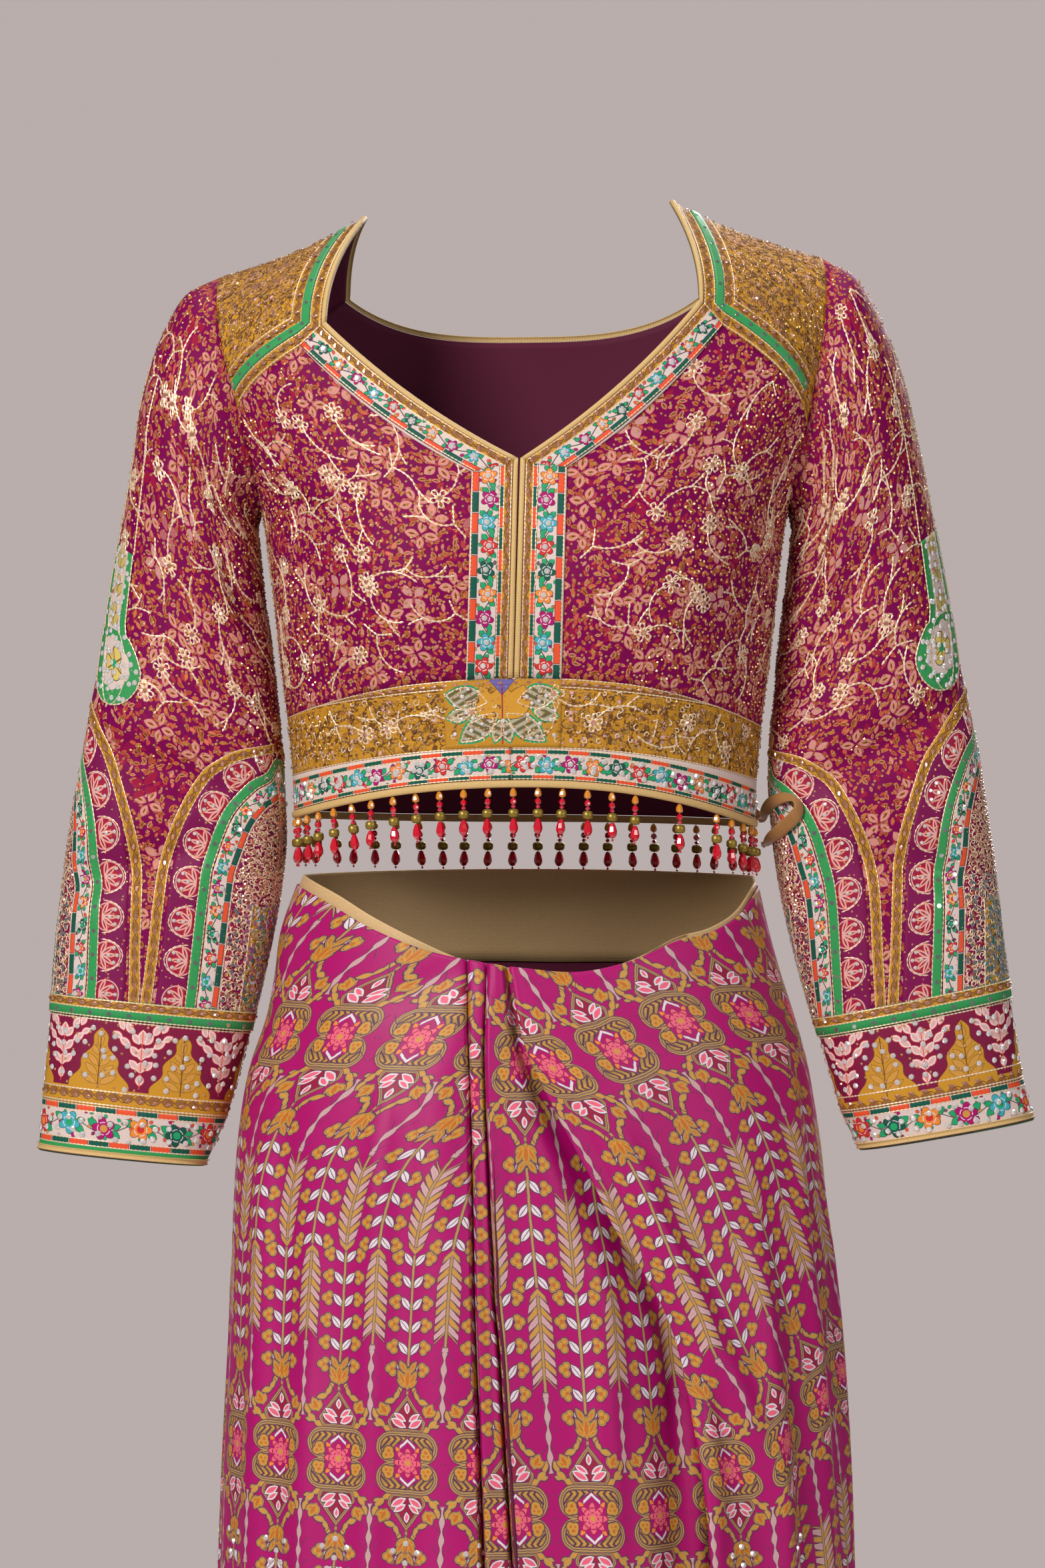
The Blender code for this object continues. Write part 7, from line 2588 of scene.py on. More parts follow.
def arch_curve(sleeve, name):
    """Heights and distances down one side of an arch, from its point to the cuff."""
    distances = column(ARCHES, ARCH_COLUMNS, name) / 1000
    fine = curve_through(np.stack([column(ARCHES, ARCH_COLUMNS, "height"), distances], axis=1), 10)
    fine = fine[(fine[:, 1] <= sleeve.limit(fine[:, 0])) & (fine[:, 0] > sleeve.heights[0] + 0.004)]
    return run(fine, int(np.linalg.norm(np.diff(fine, axis=0), axis=1).sum() / ARCH_STEP))


def strip_between(sleeve, name, sign, behind, low, high, steps=4):
    """A band beside an arch's line, between two distances from it, as a cloth: across and along."""
    fine = arch_curve(sleeve, name)
    way = unit(np.gradient(fine, axis=0))
    out = np.stack([-way[:, 1], way[:, 0]], axis=1)
    out *= np.sign(out[len(out) // 2, 1])
    t = np.linspace(low, high, steps + 1)
    plan = fine[:, None] + out[:, None] * t[None, :, None]
    plan[..., 1] = np.minimum(plan[..., 1], sleeve.limit(plan[..., 0]) + 0.0004)
    places = sleeve.place(plan[..., 0], sign * plan[..., 1], behind)
    return sleeve.cloth.laid(places, t[None, :], lengths(fine)[:, None])


BRAID_WIDTH = 0.0062
GREEN_WIDTH = 0.0060
STRIPE = (0.0042, 0.0182)
# Strips beside the arches. Columns: part, arch, low, high, steps, look, slot, lift
ARCH_STRIPS = (
    ("fans", "green", -0.0215, -GREEN_WIDTH / 2, 8, "fans", "blouse_cloth", 0.0001),
    ("panel", "green", STRIPE[1], 0.052, 14, "dense", "blouse_cloth", 0.0001),
    ("braid", "braid", -BRAID_WIDTH / 2, BRAID_WIDTH / 2, 4, "braid", "yoke_cloth", 0.0004),
    ("green", "green", -GREEN_WIDTH / 2, GREEN_WIDTH / 2, 4, "green", "green_band", 0.0004),
    ("stripe", "green", *STRIPE, 8, "stripe", "floral_border", 0.0004),
)
# The strips' walls below and above their lift
STRIP_BELOW = 0.0001
STRIP_ABOVE = 0.0003
# Chain along the strips. Columns: part, places across
ARCH_CHAINS = (("braid", (-0.0034, 0.0034)), ("green", (-0.0033, 0.0033)), ("stripe", (0.0046, 0.0178)))
# Stones down the strips. Columns: name, part, across, start, step, look, slot, size, stretch, turned across
ARCH_STONES = (
    ("marquise", "braid", 0.0, 0.004, 0.0085, "rose", "yoke_cloth", 0.0012, 1.7, True),
    ("mirror", "green", 0.0, 0.006, 0.0150, "silver", "green_band", 0.0016, 1.0, False),
)
STRIPE_PITCH = FLOWER_PITCH / 1000
STRIPE_STONES = (
    ("gems", "stripe", 0.0112, STRIPE_PITCH / 2, STRIPE_PITCH, "crystal", "floral_border", STONE_SIZE, 1.0, False),
)
# The leaf low on the panel: below this height and past this place across
LEAF_TOP = 0.022
LEAF_START = 0.0325
# The sleeve's branches stop above the arches
BRANCH_FOOT = 0.1300


def set_stones(end, raised, rows, looks):
    """Stones in lines down the strips."""
    for name, part, across, start, step, look, slot, size, stretch, turned_across in rows:
        spots = along_line(across, start, raised[part].cloth[..., 1].max(), step)
        name = "sleeve_" + name + "_" + end
        studs(name, raised[part], spots, looks, look, slot, size, stretch, turned_across)


def dress_sleeve(side, cloth, looks, generator):
    word = side_name(side)
    sleeve = Sleeve(side, cloth)
    for number, (sign, behind) in enumerate(((-1, False), (1, False), (-1, True), (1, True))):
        end = word + "_" + str(number + 1)
        strips, raised = {}, {}
        for part, arch, low, high, steps, look, slot, lift in ARCH_STRIPS:
            strips[part] = strip_between(sleeve, arch, sign, behind, low, high, steps)
            raised[part] = strips[part].lifted(0.0005)
            name = "sleeve_" + part + "_" + end
            laid_wall(name, strips[part], looks[look], lift - STRIP_BELOW, lift + STRIP_ABOVE)
        for k, (part, places) in enumerate(ARCH_CHAINS):
            last = strips[part].cloth[..., 1].max()
            paths = [along_line(u, 0.001, last, 0.0015) for u in places]
            name = "sleeve_edging_" + end + "_" + str(k + 1)
            dress_path(name, raised[part], paths, looks, 0.0010, LINK_PITCH)
        set_stones(end, raised, ARCH_STONES, looks)
        dress_fans(end, strips["fans"], looks)
        set_stones(end, raised, STRIPE_STONES, looks)
        dress_panel(end, strips["panel"], looks, generator)
        add_leaf(end, strips["panel"], looks, generator)

    def above(places):
        return np.interp(places[:, 1], sleeve.along[::-1], sleeve.heights[::-1]) > BRANCH_FOOT

    embroider("sleeve_" + word, cloth, 0.030, generator, looks, 0.0056, above)


def add_leaf(end, panel, looks, generator):
    """The gold leaf low on the panel, where the panel is wide enough, with chain and sequins."""
    rows = panel.grid[:, 0, 2] < LEAF_TOP
    cols = panel.cloth[0, :, 0] > LEAF_START
    if rows.sum() <= 2:
        return
    leaf = Cloth(*(field[rows][:, cols] for field in (panel.grid, panel.normals, panel.cloth))).lifted(0.0004)
    laid_wall("sleeve_leaf_" + end, leaf, looks["panel_leaf"], 0.0, 0.0003)
    heap = Heap()
    add_chain(heap, leaf.grid[:, 0] + leaf.normals[:, 0] * 0.0005, leaf.normals[:, 0], 0.0012)
    heap.build("sleeve_leaf_edge_" + end, looks["zari"], "blouse_cloth")
    for look, step in (("silver", 0.0046), ("teal", 0.0074)):
        spots = spread(leaf, step, generator, 0.5)
        studs("sleeve_leaf_" + look + "_" + end, leaf, spots, looks, look, "yoke_cloth", 0.0014, lift=0.0006)


# The patch above the arches, on the sleeve's outer side: a round end with a strip above it
# Columns: the round end's place round the sleeve, the strip's, and the height of the round end
PATCH = {-1: (0.031, 0.024, 0.150), 1: (0.031, 0.024, 0.157)}
PATCH_RADIUS = 0.0210
PATCH_STRIP = (0.0126, 0.058)
PATCH_LINES = 0.150


def add_patch(side, cloth, looks, generator):
    """The keyhole-shaped patch, as its own thin cloth with chain stitch round it."""
    word = side_name(side)
    sleeve = Sleeve(side, cloth)
    round_at, strip_at, height = PATCH[side]
    middle = float(np.interp(height, sleeve.heights, sleeve.along))
    size = float(np.interp(height, sleeve.heights, sleeve.round))
    ahead, behind = (cloth.place(np.array([[u % size, middle]]))[0][0][1] for u in (round_at, -round_at))
    sign = 1 if ahead < behind else -1
    turn = np.linspace(-math.pi / 2, math.asin(PATCH_STRIP[0] / PATCH_RADIUS) + math.pi / 2, 22)
    low = np.stack([PATCH_RADIUS * np.cos(turn), PATCH_RADIUS * np.sin(turn)], axis=1)
    low = low[low[:, 1] < PATCH_RADIUS * 0.80]
    up = run(np.array([[PATCH_STRIP[0], low[-1, 1] + 0.0004], [PATCH_STRIP[0], PATCH_STRIP[1]]]), 24)
    outline = np.concatenate([low, up])
    rise = outline[:, 1]
    shift = np.interp(rise, (0.0, PATCH_RADIUS), (0.0, strip_at - round_at))
    t = np.linspace(-1, 1, 17)
    half = outline[:, 0][:, None] * t
    places = grid_places((sign * (round_at + (half + shift[:, None]))) % size, middle - rise[:, None])
    patch = cloth.laid(places, half, rise[:, None])
    laid_wall("sleeve_patch_" + word, patch, looks["patch"], 0.0003, 0.0007)
    heap = Heap()
    for k in (0, -1):
        add_chain(heap, patch.grid[:, k] + patch.normals[:, k] * 0.0008, patch.normals[:, k], 0.0013)
        inner = patch.grid[:, 4 if k == 0 else -5]
        add_chain(heap, inner + patch.normals[:, 4] * 0.0008, patch.normals[:, 4], 0.0010)
    heap.build("sleeve_patch_edge_" + word, looks["zari"], "blouse_cloth")
    rise = np.arange(PATCH_STRIP[1], PATCH_LINES, 0.0013)
    round_here = np.interp(height + rise, sleeve.heights, sleeve.round)
    edges = [(sign * (strip_at + edge * PATCH_STRIP[0])) % round_here for edge in (-1, 1)]
    lines = [np.stack([edge, middle - rise], axis=1) for edge in edges]
    dress_path("sleeve_lines_" + word, cloth, lines, looks, 0.0015)
    spots = spread(patch, 0.0056, generator, 0.8)
    studs("sleeve_patch_gems_" + word, patch.lifted(0.0007), spots, looks, "crystal", "floral_border", 0.0018)


FAN_PITCH = 0.0240
FAN_MIDDLE = -12.2
TRIM_SPLIT = 6.0
# Stones on a fan's blades: places against the fan's own middle
FAN_STONES = ((-0.0035, 0.0), (-0.0015, 0.0045), (-0.0015, -0.0045), (0.002, 0.0))


def dress_fans(end, fans, looks):
    """A ring of chain round each fan, and stones on its blades."""
    heap, places = Heap(), []
    last = fans.cloth[..., 1].max()
    middle = float(np.median(fans.cloth[..., 0]))
    raised = fans.lifted(0.0004)
    t = np.linspace(-math.pi / 2, math.pi / 2, 22)
    for v in np.arange(FAN_PITCH / 2, last, FAN_PITCH):
        ring_path = np.stack([middle + 0.0068 - 0.0138 * np.cos(t), v + 0.0100 * np.sin(t)], axis=1)
        if inside(fans, ring_path, 0.2).all():
            points, normals = raised.place(ring_path)
            add_chain(heap, points, normals, 0.0010)
        places += [(middle + x, v + y) for x, y in FAN_STONES]
    heap.build("fan_rings_" + end, looks["zari"], "blouse_cloth")
    studs("fan_gems_" + end, raised, places, looks, "crystal", "blouse_cloth", 0.0013)


# How far up from the cuff the panel has mirrors, with stones above them
MIRROR_REACH = 0.075


def dress_panel(end, panel, looks, generator):
    """Close raised embroidery in gold thread, with stones and mirrors low down."""
    heap = Heap()
    add_curls(heap, panel, spread(panel, 0.0032, generator, 0.4), generator, (0.0012, 0.0022), 0.0006, 0.0006)
    heap.build("panel_curls_" + end, looks["zari"], "blouse_cloth")
    top = panel.cloth[..., 1].max() - MIRROR_REACH
    places = spread(panel, 0.0048, generator, 0.5)
    low, high = places[places[:, 1] > top], places[places[:, 1] < top]
    studs("panel_mirrors_" + end, panel, low, looks, "silver", "blouse_cloth", 0.0014, lift=0.001)
    studs("panel_stones_" + end, panel, high, looks, "rose", "blouse_cloth", 0.0011, 1.5, lift=0.0008)


# How low on the cuff band its strewn stones may lie above its lower edge
CUFF_STONES_UP = 0.012


def dress_cuff(side, trim, cuff, border, looks, generator):
    word = side_name(side)
    size, end = trim.cloth[..., 0].max(), trim.cloth[..., 1].max()
    raised = trim.lifted(LAID_TOP)
    split_at = TRIM_SPLIT / 1000
    paths = [round_line(v, 0.001, size, 0.0013) for v in (0.0006, split_at, end - 0.0005)]
    dress_path("trim_edging_" + word, raised, paths, looks, 0.0011)
    row = round_line(TRIM_SPLIT / 2000 + 0.0003, 0.004, size, 0.0085)
    studs("trim_marquise_" + word, raised, row, looks, "rose", "yoke_cloth", 0.0012, 1.7)
    row = round_line((split_at + end) / 2, 0.006, size, 0.0125)
    studs("trim_mirrors_" + word, raised, row, looks, "silver", "green_band", 0.0016)
    size, low = cuff.cloth[..., 0].max(), cuff.cloth[..., 1].max()
    paths = [round_line(v, 0.001, size, 0.0013) for v in (0.0012, low - 0.0096, low - 0.0012)]
    dress_path("cuff_edging_" + word, cuff, paths, looks)
    row = round_line(low - 0.0052, 0.004, size, 0.0085)
    studs("cuff_marquise_" + word, cuff, row, looks, "rose", "blouse_cloth", 0.0012, 1.7)
    places = spread(border, 0.0090, generator, 0.8, 0.3)
    places = places[(places[:, 0] > 0.005) & (places[:, 0] < 0.021)]
    studs("cuff_border_gems_" + word, border, places, looks, "crystal", "floral_border", 0.0020)
    paths = [along_line(u / 1000, 0.001, border.cloth[..., 1].max(), 0.0013) for u in (0.4, 4.0, 21.8, 25.4)]
    dress_path("cuff_border_edging_" + word, border, paths, looks, 0.0009)
    places = spread(cuff, 0.0088, generator, 0.8, 0.3)
    places = places[places[:, 1] < low - CUFF_STONES_UP]
    studs("cuff_gems_" + word, cuff, places, looks, "crystal", "blouse_cloth", STONE_SIZE)
    places = spread(cuff, 0.0105, generator, 0.8, 0.4)
    places = places[places[:, 1] < low - CUFF_STONES_UP]
    studs("cuff_beads_" + word, cuff, places, looks, "copper", "blouse_cloth", 0.0009)


# The bead fringe and the tie
def lathe(profile, sides):
    """A faceted turned shape, from (radius, drop) rows, closed at both ends."""
    points = [[0, 0, -profile[0][1]]]
    points += [[r * math.cos(a), r * math.sin(a), -d] for r, d in profile[1:-1] for a in circle(sides)]
    points.append([0, 0, -profile[-1][1]])
    faces = [(0, 1 + (j + 1) % sides, 1 + j) for j in range(sides)]
    for level in range(len(profile) - 3):
        a = 1 + level * sides
        for j in range(sides):
            k = (j + 1) % sides
            faces += [(a + j, a + k, a + sides + k), (a + j, a + sides + k, a + sides + j)]
    last = 1 + (len(profile) - 3) * sides
    faces += [(last + j, last + (j + 1) % sides, len(points) - 1) for j in range(sides)]
    return np.array(points), faces


# Beads down one strand in millimetres: (radius, drop) rows
AMBER_BEAD = ((0.0, 0.6), (1.0, 0.9), (1.9, 2.4), (2.3, 4.2), (1.9, 5.4), (0.8, 6.1), (0.0, 6.2))
ROUND_BEAD = ((0.0, 6.6), (1.2, 6.9), (2.0, 8.2), (2.0, 9.2), (1.2, 10.4), (0.0, 10.6))
SMALL_BEAD = ((0.0, 10.8), (1.0, 11.0), (1.5, 11.9), (1.0, 12.8), (0.0, 13.0))
DISC_BEAD = ((0.0, 13.2), (2.2, 13.4), (3.2, 14.4), (3.3, 16.0), (3.2, 17.4), (2.2, 18.4), (0.0, 18.6))
DROP_BEAD = ((0.0, 19.0), (1.2, 19.3), (2.2, 21.6), (2.9, 24.6), (2.7, 26.4), (1.5, 28.2), (0.0, 28.8))
TIP_BEAD = ((0.0, 29.0), (0.7, 29.3), (0.8, 30.0), (0.0, 30.8))
STRAND_PARTS = (
    ("amber", AMBER_BEAD, 8), ("red", ROUND_BEAD, 8), ("pink", SMALL_BEAD, 6), ("olive", DISC_BEAD, 12),
    ("red", DROP_BEAD, 8), ("pink", TIP_BEAD, 5),
)
# Columns: name, first and last angle, missing strands
FRINGES = (("fringe_front", -90.0, 90.0, MISSING_STRANDS), ("fringe_back", 90.0, 270.0, ()))
# How much a strand leans, how flat its discs are, and where its thread runs
STRAND_LEAN = 0.035
DISC_FLAT = 0.72
STRAND_LINE = (0.0012, -0.010, -0.020, -0.0305)
STRAND_THREAD = 0.00022


def lean_over(points, lean):
    """Hanging points moved sideways with their drop."""
    points[:, 0] += -points[:, 2] * lean[0]
    points[:, 1] += -points[:, 2] * lean[1]
    return points


def make_fringe(looks, generator):
    """The hem's piping and its hanging strands of beads."""
    for name, first, last, missing in FRINGES:
        angles = np.linspace(first, last, 181)
        edge_low = edge_height(HEM, angles)
        z = np.array([edge_low - 0.0003, edge_low + HEM_PIPING / 2, edge_low + HEM_PIPING - SEAM])
        z = curve_through(z, 3)
        around = np.broadcast_to(angles, z.shape)
        normals = surface_normals(torso, around, z)
        bulge = PIPING_RISE * np.sqrt(np.clip(1 - np.linspace(-1, 1, len(z)) ** 2, 0, 1))
        grid = torso(around, z) + normals * bulge[:, None, None]
        cord = Cloth(grid, normals, np.stack([z, lengths_across(grid)], axis=2))
        sew(name, cord, "piping", looks["piping"], **PIPED)
        near = np.array([a for k, a in enumerate(strand_angles(first, last)) if k not in missing])
        roots = torso(near, edge_height(HEM, near))
        ups = surface_normals(torso, near, edge_height(HEM, near))
        roots = roots - ups * 0.0006
        heaps = {look: Heap() for look in ("amber", "red", "pink", "olive", "cord")}
        for root in roots:
            lean = generator.normal(0, STRAND_LEAN, 2)
            spin = generator.uniform(0, 2 * math.pi)
            for look, profile, sides in STRAND_PARTS:
                points, faces = lathe([(r / 1000, d / 1000) for r, d in profile], sides)
                c, s = math.cos(spin), math.sin(spin)
                points = points @ np.array([[c, s, 0], [-s, c, 0], [0, 0, 1]])
                if look == "olive":
                    points[:, 1] *= DISC_FLAT
                heaps[look].add(lean_over(points, lean) + root, faces)
                spin += generator.uniform(0, 1.0)
            line = lean_over(np.array([[0, 0, z] for z in STRAND_LINE]), lean)
            add_thread(heaps["cord"], line + root, np.tile([0, -1.0, 0], (len(line), 1)), STRAND_THREAD, 4)
        for look, heap in heaps.items():
            heap.build(name + "_" + look, looks[look], "beads", look != "olive")


# The loop's curl, and the knot's two turns. Columns: tilt, radius
RIBBON_CURL = 0.0008
KNOT_TURNS = ((0.5, 0.0040), (-0.7, 0.0036))
# The knot's ribbon: half its thickness and half its width
KNOT_RIBBON = (0.0019, 0.0030)


def make_tie(looks):
    """The satin loop beside the right hem, and its knot."""
    line = curve_through(np.array([row[:3] for row in RIBBON]), 6)
    lean = np.radians(curve_through(np.array([[row[3]] for row in RIBBON]), 6)[:, 0])
    way = unit(np.gradient(line, axis=0))
    flat = unit(np.cross(way, np.array([0, 1.0, 0])))
    over = flat * np.cos(lean)[:, None] + np.array([0, 1.0, 0]) * np.sin(lean)[:, None]
    t = np.linspace(-1, 1, 7)
    normals = np.cross(over, way)
    curl = RIBBON_CURL * (t**2 - 0.4)
    half = t * RIBBON_WIDTH / 2
    grid = line[:, None] + over[:, None] * half[None, :, None] + normals[:, None] * curl[None, :, None]
    own = grid_places(half[None, :], lengths(line)[:, None])
    cloth = Cloth(grid, np.repeat(normals[:, None], len(t), axis=1), own)
    sew("tie_loop", cloth, "ribbon", looks["ribbon"], low=-RIBBON_WALL)
    turns = np.linspace(0, 2 * math.pi, 25)
    tube = np.linspace(0, 2 * math.pi, 13)
    heap = Heap()
    for tilt, big in KNOT_TURNS:
        c, s = np.cos(turns) * big, np.sin(turns) * big
        ring_line = np.stack([c, s * math.cos(tilt), s * math.sin(tilt)], axis=1)
        out = unit(ring_line)
        up = np.cross(unit(np.gradient(ring_line, axis=0)), out)
        thick, wide = KNOT_RIBBON[0] * np.cos(tube), KNOT_RIBBON[1] * np.sin(tube)
        points = ring_line[:, None] + out[:, None] * thick[None, :, None] + up[:, None] * wide[None, :, None]
        k = (np.arange(len(turns) - 1)[:, None] * len(tube) + np.arange(len(tube) - 1)[None]).reshape(-1)
        faces = np.stack([k, k + 1, k + len(tube) + 1, k + len(tube)], axis=1)
        heap.add(points + np.array(KNOT), faces)
    knot = heap.build("tie_knot_satin", looks["ribbon"], "ribbon")
    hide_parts("tie_knot")


# Stones and sequins sewn on the saree's motifs, low on the skirt
SEWN_TOP = -0.365
SEWN_PLACES = (
    (0.0, 50.0), (0.0, 55.5), (8.0, 55.0), (8.0, 62.0),
    (0.0, 62.0), (8.0, 76.0), (4.5, 69.0), (0.0, 76.0),
)


# Columns: name, look, shape, size
SEWN_KINDS = (("gems", "crystal", STONE, 0.0020), ("sequins", "rose", SEQUIN, 0.0013))


def sewn_places(low, high):
    """Places on the print between two corners, in millimetres, for each kind of stone."""
    kinds = ([], [])
    for column_index in range(int(low[0] / COLUMN_PITCH) - 1, int(high[0] / COLUMN_PITCH) + 2):
        middle = column_index * COLUMN_PITCH
        shift = 0.0 if column_index % 2 == 0 else HALF_REPEAT
        for repeat in range(int(low[1] / HALF_REPEAT / 2) - 2, int(high[1] / HALF_REPEAT / 2) + 3):
            base = repeat * 2 * HALF_REPEAT + shift
            for k, (x, y) in enumerate(SEWN_PLACES):
                signs = (-1, 1) if x else (1,)
                kinds[k % 2].extend((middle + sx * x, base + sy * y) for sx in signs for sy in (-1, 1))
    return kinds


def dress_saree(stretches, looks):
    for name, cloth in stretches.items():
        flat = cloth.cloth.reshape(-1, 2)
        low, high = flat.min(axis=0) * 1000, flat.max(axis=0) * 1000
        for (word, look, shape, size), places in zip(SEWN_KINDS, sewn_places(low, high)):
            places = np.array(places) / 1000
            places = places[((places > low / 1000) & (places < high / 1000)).all(axis=1)]
            if len(places):
                places = places[inside(cloth, places, 2.0)]
            if not len(places):
                continue
            points, normals, ways = put(cloth, places, 0.0001)
            keep = points[:, 2] < SEWN_TOP
            heap = Heap()
            stamp(heap, *shape, points[keep], normals[keep], ways[keep], size)
            heap.build(name + "_" + word, looks[look], "saree_cloth", True)


# Stage, lights and camera
FLOOR = -1.002
FLOOR_COLOUR = srgb(206, 198, 196)
FLOOR_RADIUS = 3.0
BACKDROP_COLOUR = srgb(190, 180, 178)
BACKDROP_SIZE = (14.0, 30.0, 12.0)
BACKDROP_GLOW = 0.78
WORLD_COLOUR = srgb(200, 190, 188)
WORLD_GLOW = 0.26
# Columns: name, place, aim, size, power, colour
LIGHTS = (
    ("key", (-1.7, -2.9, 1.6), (0, 0, -0.1), 1.2, 104, (1.0, 0.98, 0.95)),
    ("fill", (2.4, -2.8, 0.9), (0, 0, 0), 1.6, 27, (0.97, 0.98, 1.0)),
    ("top", (0.2, 0.4, 2.6), (0, 0, 0.2), 1.6, 30, (1.0, 1.0, 1.0)),
    ("rear", (1.3, 3.0, 1.5), (0, 0, -0.2), 1.8, 62, (0.98, 0.98, 1.0)),
)
# The camera stands level, this far in front of the wearer's middle
CAMERA_PLACE = (-0.0015, -4.0, 0.0935)
SENSOR = 36.0
FOCAL = 147.0


def plain(name, colour, roughness=0.6, metallic=0.0, extra=()):
    """A material of one colour."""
    values = {"Base Color": colour, "Roughness": roughness, "Metallic": metallic}
    return new_material(name, {**values, **dict(extra)})[0]


def make_floor():
    """A pale round floor, just under the hem."""
    points = [(FLOOR_RADIUS * math.cos(a), FLOOR_RADIUS * math.sin(a), FLOOR) for a in circle(96)]
    return plain_object("floor", points, [tuple(range(len(points)))], [plain("floor", FLOOR_COLOUR, 0.9)])


def make_backdrop():
    """A plain pale wall, far behind."""
    x, y, z = BACKDROP_SIZE
    points = [(-x, y, -z), (x, y, -z), (x, y, z), (-x, y, z)]
    glow = {"Specular IOR Level": 0.0, "Emission Color": BACKDROP_COLOUR, "Emission Strength": BACKDROP_GLOW}
    paper = plain("backdrop", BACKDROP_COLOUR, 1.0, 0.0, glow)
    return plain_object("backdrop", points, [(0, 1, 2, 3)], [paper])


def add_light(name, place, aim, size, power, colour):
    lamp = bpy.data.lights.new(name, "AREA")
    lamp.shape = "DISK"
    lamp.size = size
    lamp.energy = power
    lamp.color = colour
    made = add_to_scene(name, lamp)
    made.location = place
    way = mathutils.Vector(aim) - mathutils.Vector(place)
    made.rotation_euler = way.to_track_quat("-Z", "Y").to_euler()
    return made


def make_stage():
    lights = [add_light(*row) for row in LIGHTS]
    make_floor()
    make_backdrop()
    scene = bpy.context.scene
    world = scene.world or bpy.data.worlds.new("world")
    scene.world = world
    world.use_nodes = True
    background = world.node_tree.nodes["Background"]
    background.inputs["Color"].default_value = WORLD_COLOUR
    background.inputs["Strength"].default_value = WORLD_GLOW
    scene.view_settings.view_transform = "Standard"


def make_camera():
    lens = bpy.data.cameras.new("camera")
    lens.sensor_fit = "VERTICAL"
    lens.sensor_height = SENSOR
    lens.lens = FOCAL
    camera = add_to_scene("camera", lens)
    camera.location = CAMERA_PLACE
    camera.rotation_euler = (math.pi / 2, 0, 0)
    bpy.context.scene.camera = camera


# The strong coat of cut glass and foil
GLASS_COAT = {"Coat Weight": 1.0, "Coat Roughness": 0.03, "Coat IOR": 1.8}
# Columns: look, name, colour, roughness, metallic
PLAIN_LOOKS = (
    ("lining", "lining", LINING, 0.8, 0.0),
    ("zari", "gold thread", srgb(246, 220, 188), 0.36, 0.28),
    ("antique", "antique thread", srgb(176, 124, 76), 0.36, 0.35),
    ("brown", "brown thread", srgb(122, 76, 42), 0.5, 0.1),
    ("copper", "copper beads", srgb(230, 186, 126), 0.24, 0.55),
    ("olive", "olive discs", srgb(150, 124, 48), 0.38, 0.5),
    ("cord", "bead thread", srgb(200, 170, 150), 0.6, 0.0),
)
GLASS_LOOKS = (
    ("crystal", "clear stones", srgb(238, 234, 234), 0.08, 0.35),
    ("rose", "rose stones", srgb(222, 158, 132), 0.10, 0.6),
    ("silver", "mirrors", srgb(196, 204, 206), 0.10, 0.9),
    ("amber", "amber glass", srgb(226, 142, 36), 0.08, 0.0),
    ("red", "red glass", srgb(214, 4, 40), 0.15, 0.0),
    ("pink", "pink glass", srgb(220, 30, 66), 0.15, 0.0),
    ("teal", "teal sequins", srgb(60, 150, 160), 0.12, 0.7),
)
# Where each border's zones run across it, in millimetres
PLACKET_ZONES = {"chain": ((0.0, 4.7),), "floral": (7.4, 20.4), "dashes": ((4.8, 7.6), (20.2, 23.8))}
NECK_ZONES = {"chain": ((0.0, 5.4),), "floral": (5.4, 14.2), "dashes": ((14.2, 17.4),)}
HEM_ZONES = {"chain": (), "floral": (3.0, 15.5), "dashes": ((0.2, 2.6), (15.8, 18.2))}
STRIPE_ZONES = {"chain": (), "floral": (4.4, 13.4), "dashes": ((13.8, 16.8),)}
CUFF_ZONES = {
    "chain": (),
    "floral": (4.2, 21.6),
    "dashes": ((0.4, 3.8), (22.0, 25.2)),
    "green": ((25.8, 50.0),),
    "pitch": 23.0,
}
YOKE_LINES = (("u", 1.5, 8.6), ("u", 16.0, 23.0), ("v", 1.5, 8.6), ("v", 16.0, 23.0))
HEM_LINES = (("u", 36.0, 42.5),)
GOLD_GRAIN = (OCHRE, GOLD_LEAF, srgb(176, 116, 56), UMBER, PALE_PINK, YOKE_GOLD)
PANEL_GRAIN = (STRING, GOLD_LEAF, PALE_PINK, srgb(176, 96, 76))
LEAF_GRAIN = (OCHRE, TEAL, BORDER_GROUND, EMERALD, GOLD_LEAF)


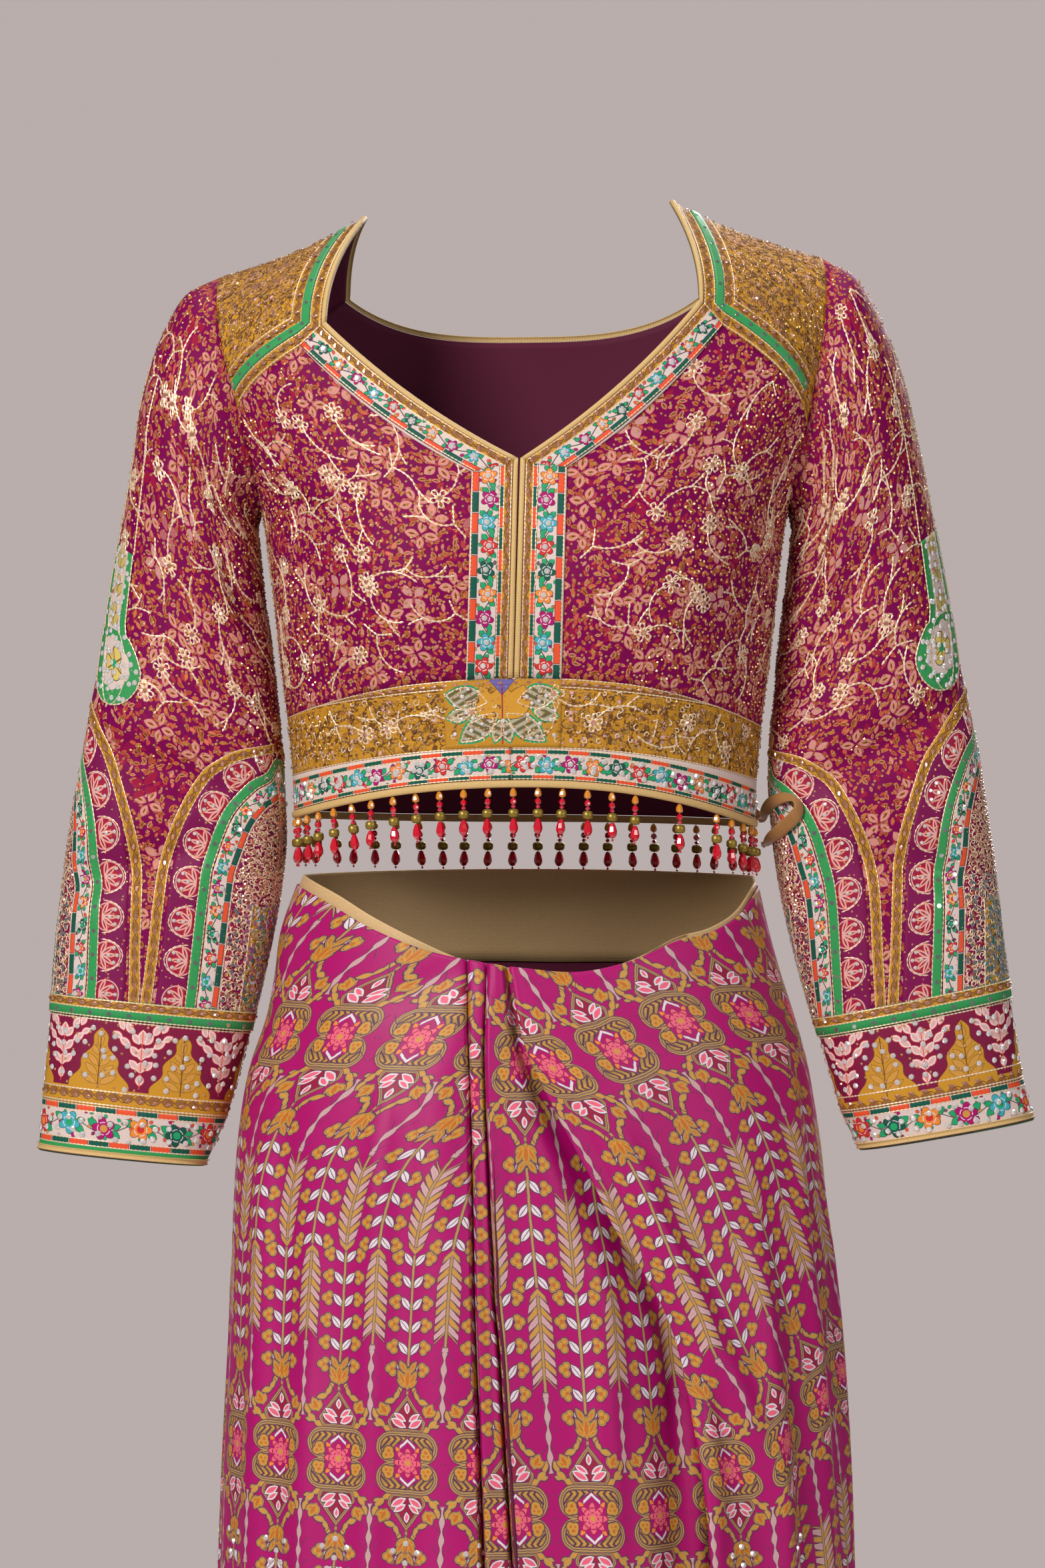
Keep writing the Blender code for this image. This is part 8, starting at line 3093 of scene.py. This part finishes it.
def make_looks():
    """Every material of the outfit."""
    looks = {look: plain(*row) for look, *row in PLAIN_LOOKS}
    looks.update((look, plain(*row, GLASS_COAT)) for look, *row in GLASS_LOOKS)
    return {
        **looks,
        "ground": leafy_finish("blouse ground"),
        "sleeve": leafy_finish("sleeve ground"),
        "yoke": gold_finish("yoke gold", YOKE_GOLD, UMBER, GOLD_GRAIN, YOKE_LINES),
        "hem_band": gold_finish("hem band gold", YOKE_GOLD, UMBER, GOLD_GRAIN, HEM_LINES),
        "dense": gold_finish("sleeve panel", PLUM, CRIMSON, PANEL_GRAIN),
        "panel_leaf": gold_finish("sleeve panel leaf", YOKE_GOLD, UMBER, LEAF_GRAIN),
        "placket_border": border_finish("placket border", PLACKET_ZONES),
        "neck_border": border_finish("neck border", NECK_ZONES),
        "hem_border": border_finish("hem border", HEM_ZONES),
        "cuff_border": border_finish("cuff border", CUFF_ZONES),
        "stripe": border_finish("sleeve stripe", STRIPE_ZONES),
        "braid": chain_finish("sleeve braid", BRAID_WIDTH * 1000),
        "fans": fan_finish("sleeve fans", FAN_PITCH * 1000, 9.0, FAN_MIDDLE),
        "trim": trim_finish(TRIM_SPLIT),
        "patch": patch_finish(),
        "motif": motif_finish(),
        "cuff": cuff_finish(),
        "green": satin_finish("green ribbon", RIBBON_GREEN),
        "ribbon": satin_finish("tie satin", srgb(175, 125, 70)),
        "piping": thread_finish("piping", srgb(215, 180, 120), 0.8),
        "tape": thread_finish("waist tape", srgb(215, 180, 130), 0.5),
    }


SEED = 7


def main():
    looks = make_looks()
    generator = np.random.default_rng(SEED)
    stretches = make_saree(saree_finish(), looks["lining"])
    dress_saree(stretches, looks)
    parts = make_blouse(looks)
    for side in (-1, 1):
        front, borders, yoke, (sleeve, trim, cuff, border) = parts[side]
        dress_front(side, front, borders, looks, generator)
        dress_yoke(side, yoke, looks, generator)
        dress_sleeve(side, sleeve, looks, generator)
        add_patch(side, sleeve, looks, generator)
        dress_cuff(side, trim, cuff, border, looks, generator)
    embroider("back", parts["back"], 0.034, generator, looks, 0.0060)
    dress_bands(parts["bands"], looks, generator)
    add_motif(looks, generator)
    make_fringe(looks, generator)
    make_tie(looks)
    make_stage()
    make_camera()


main()
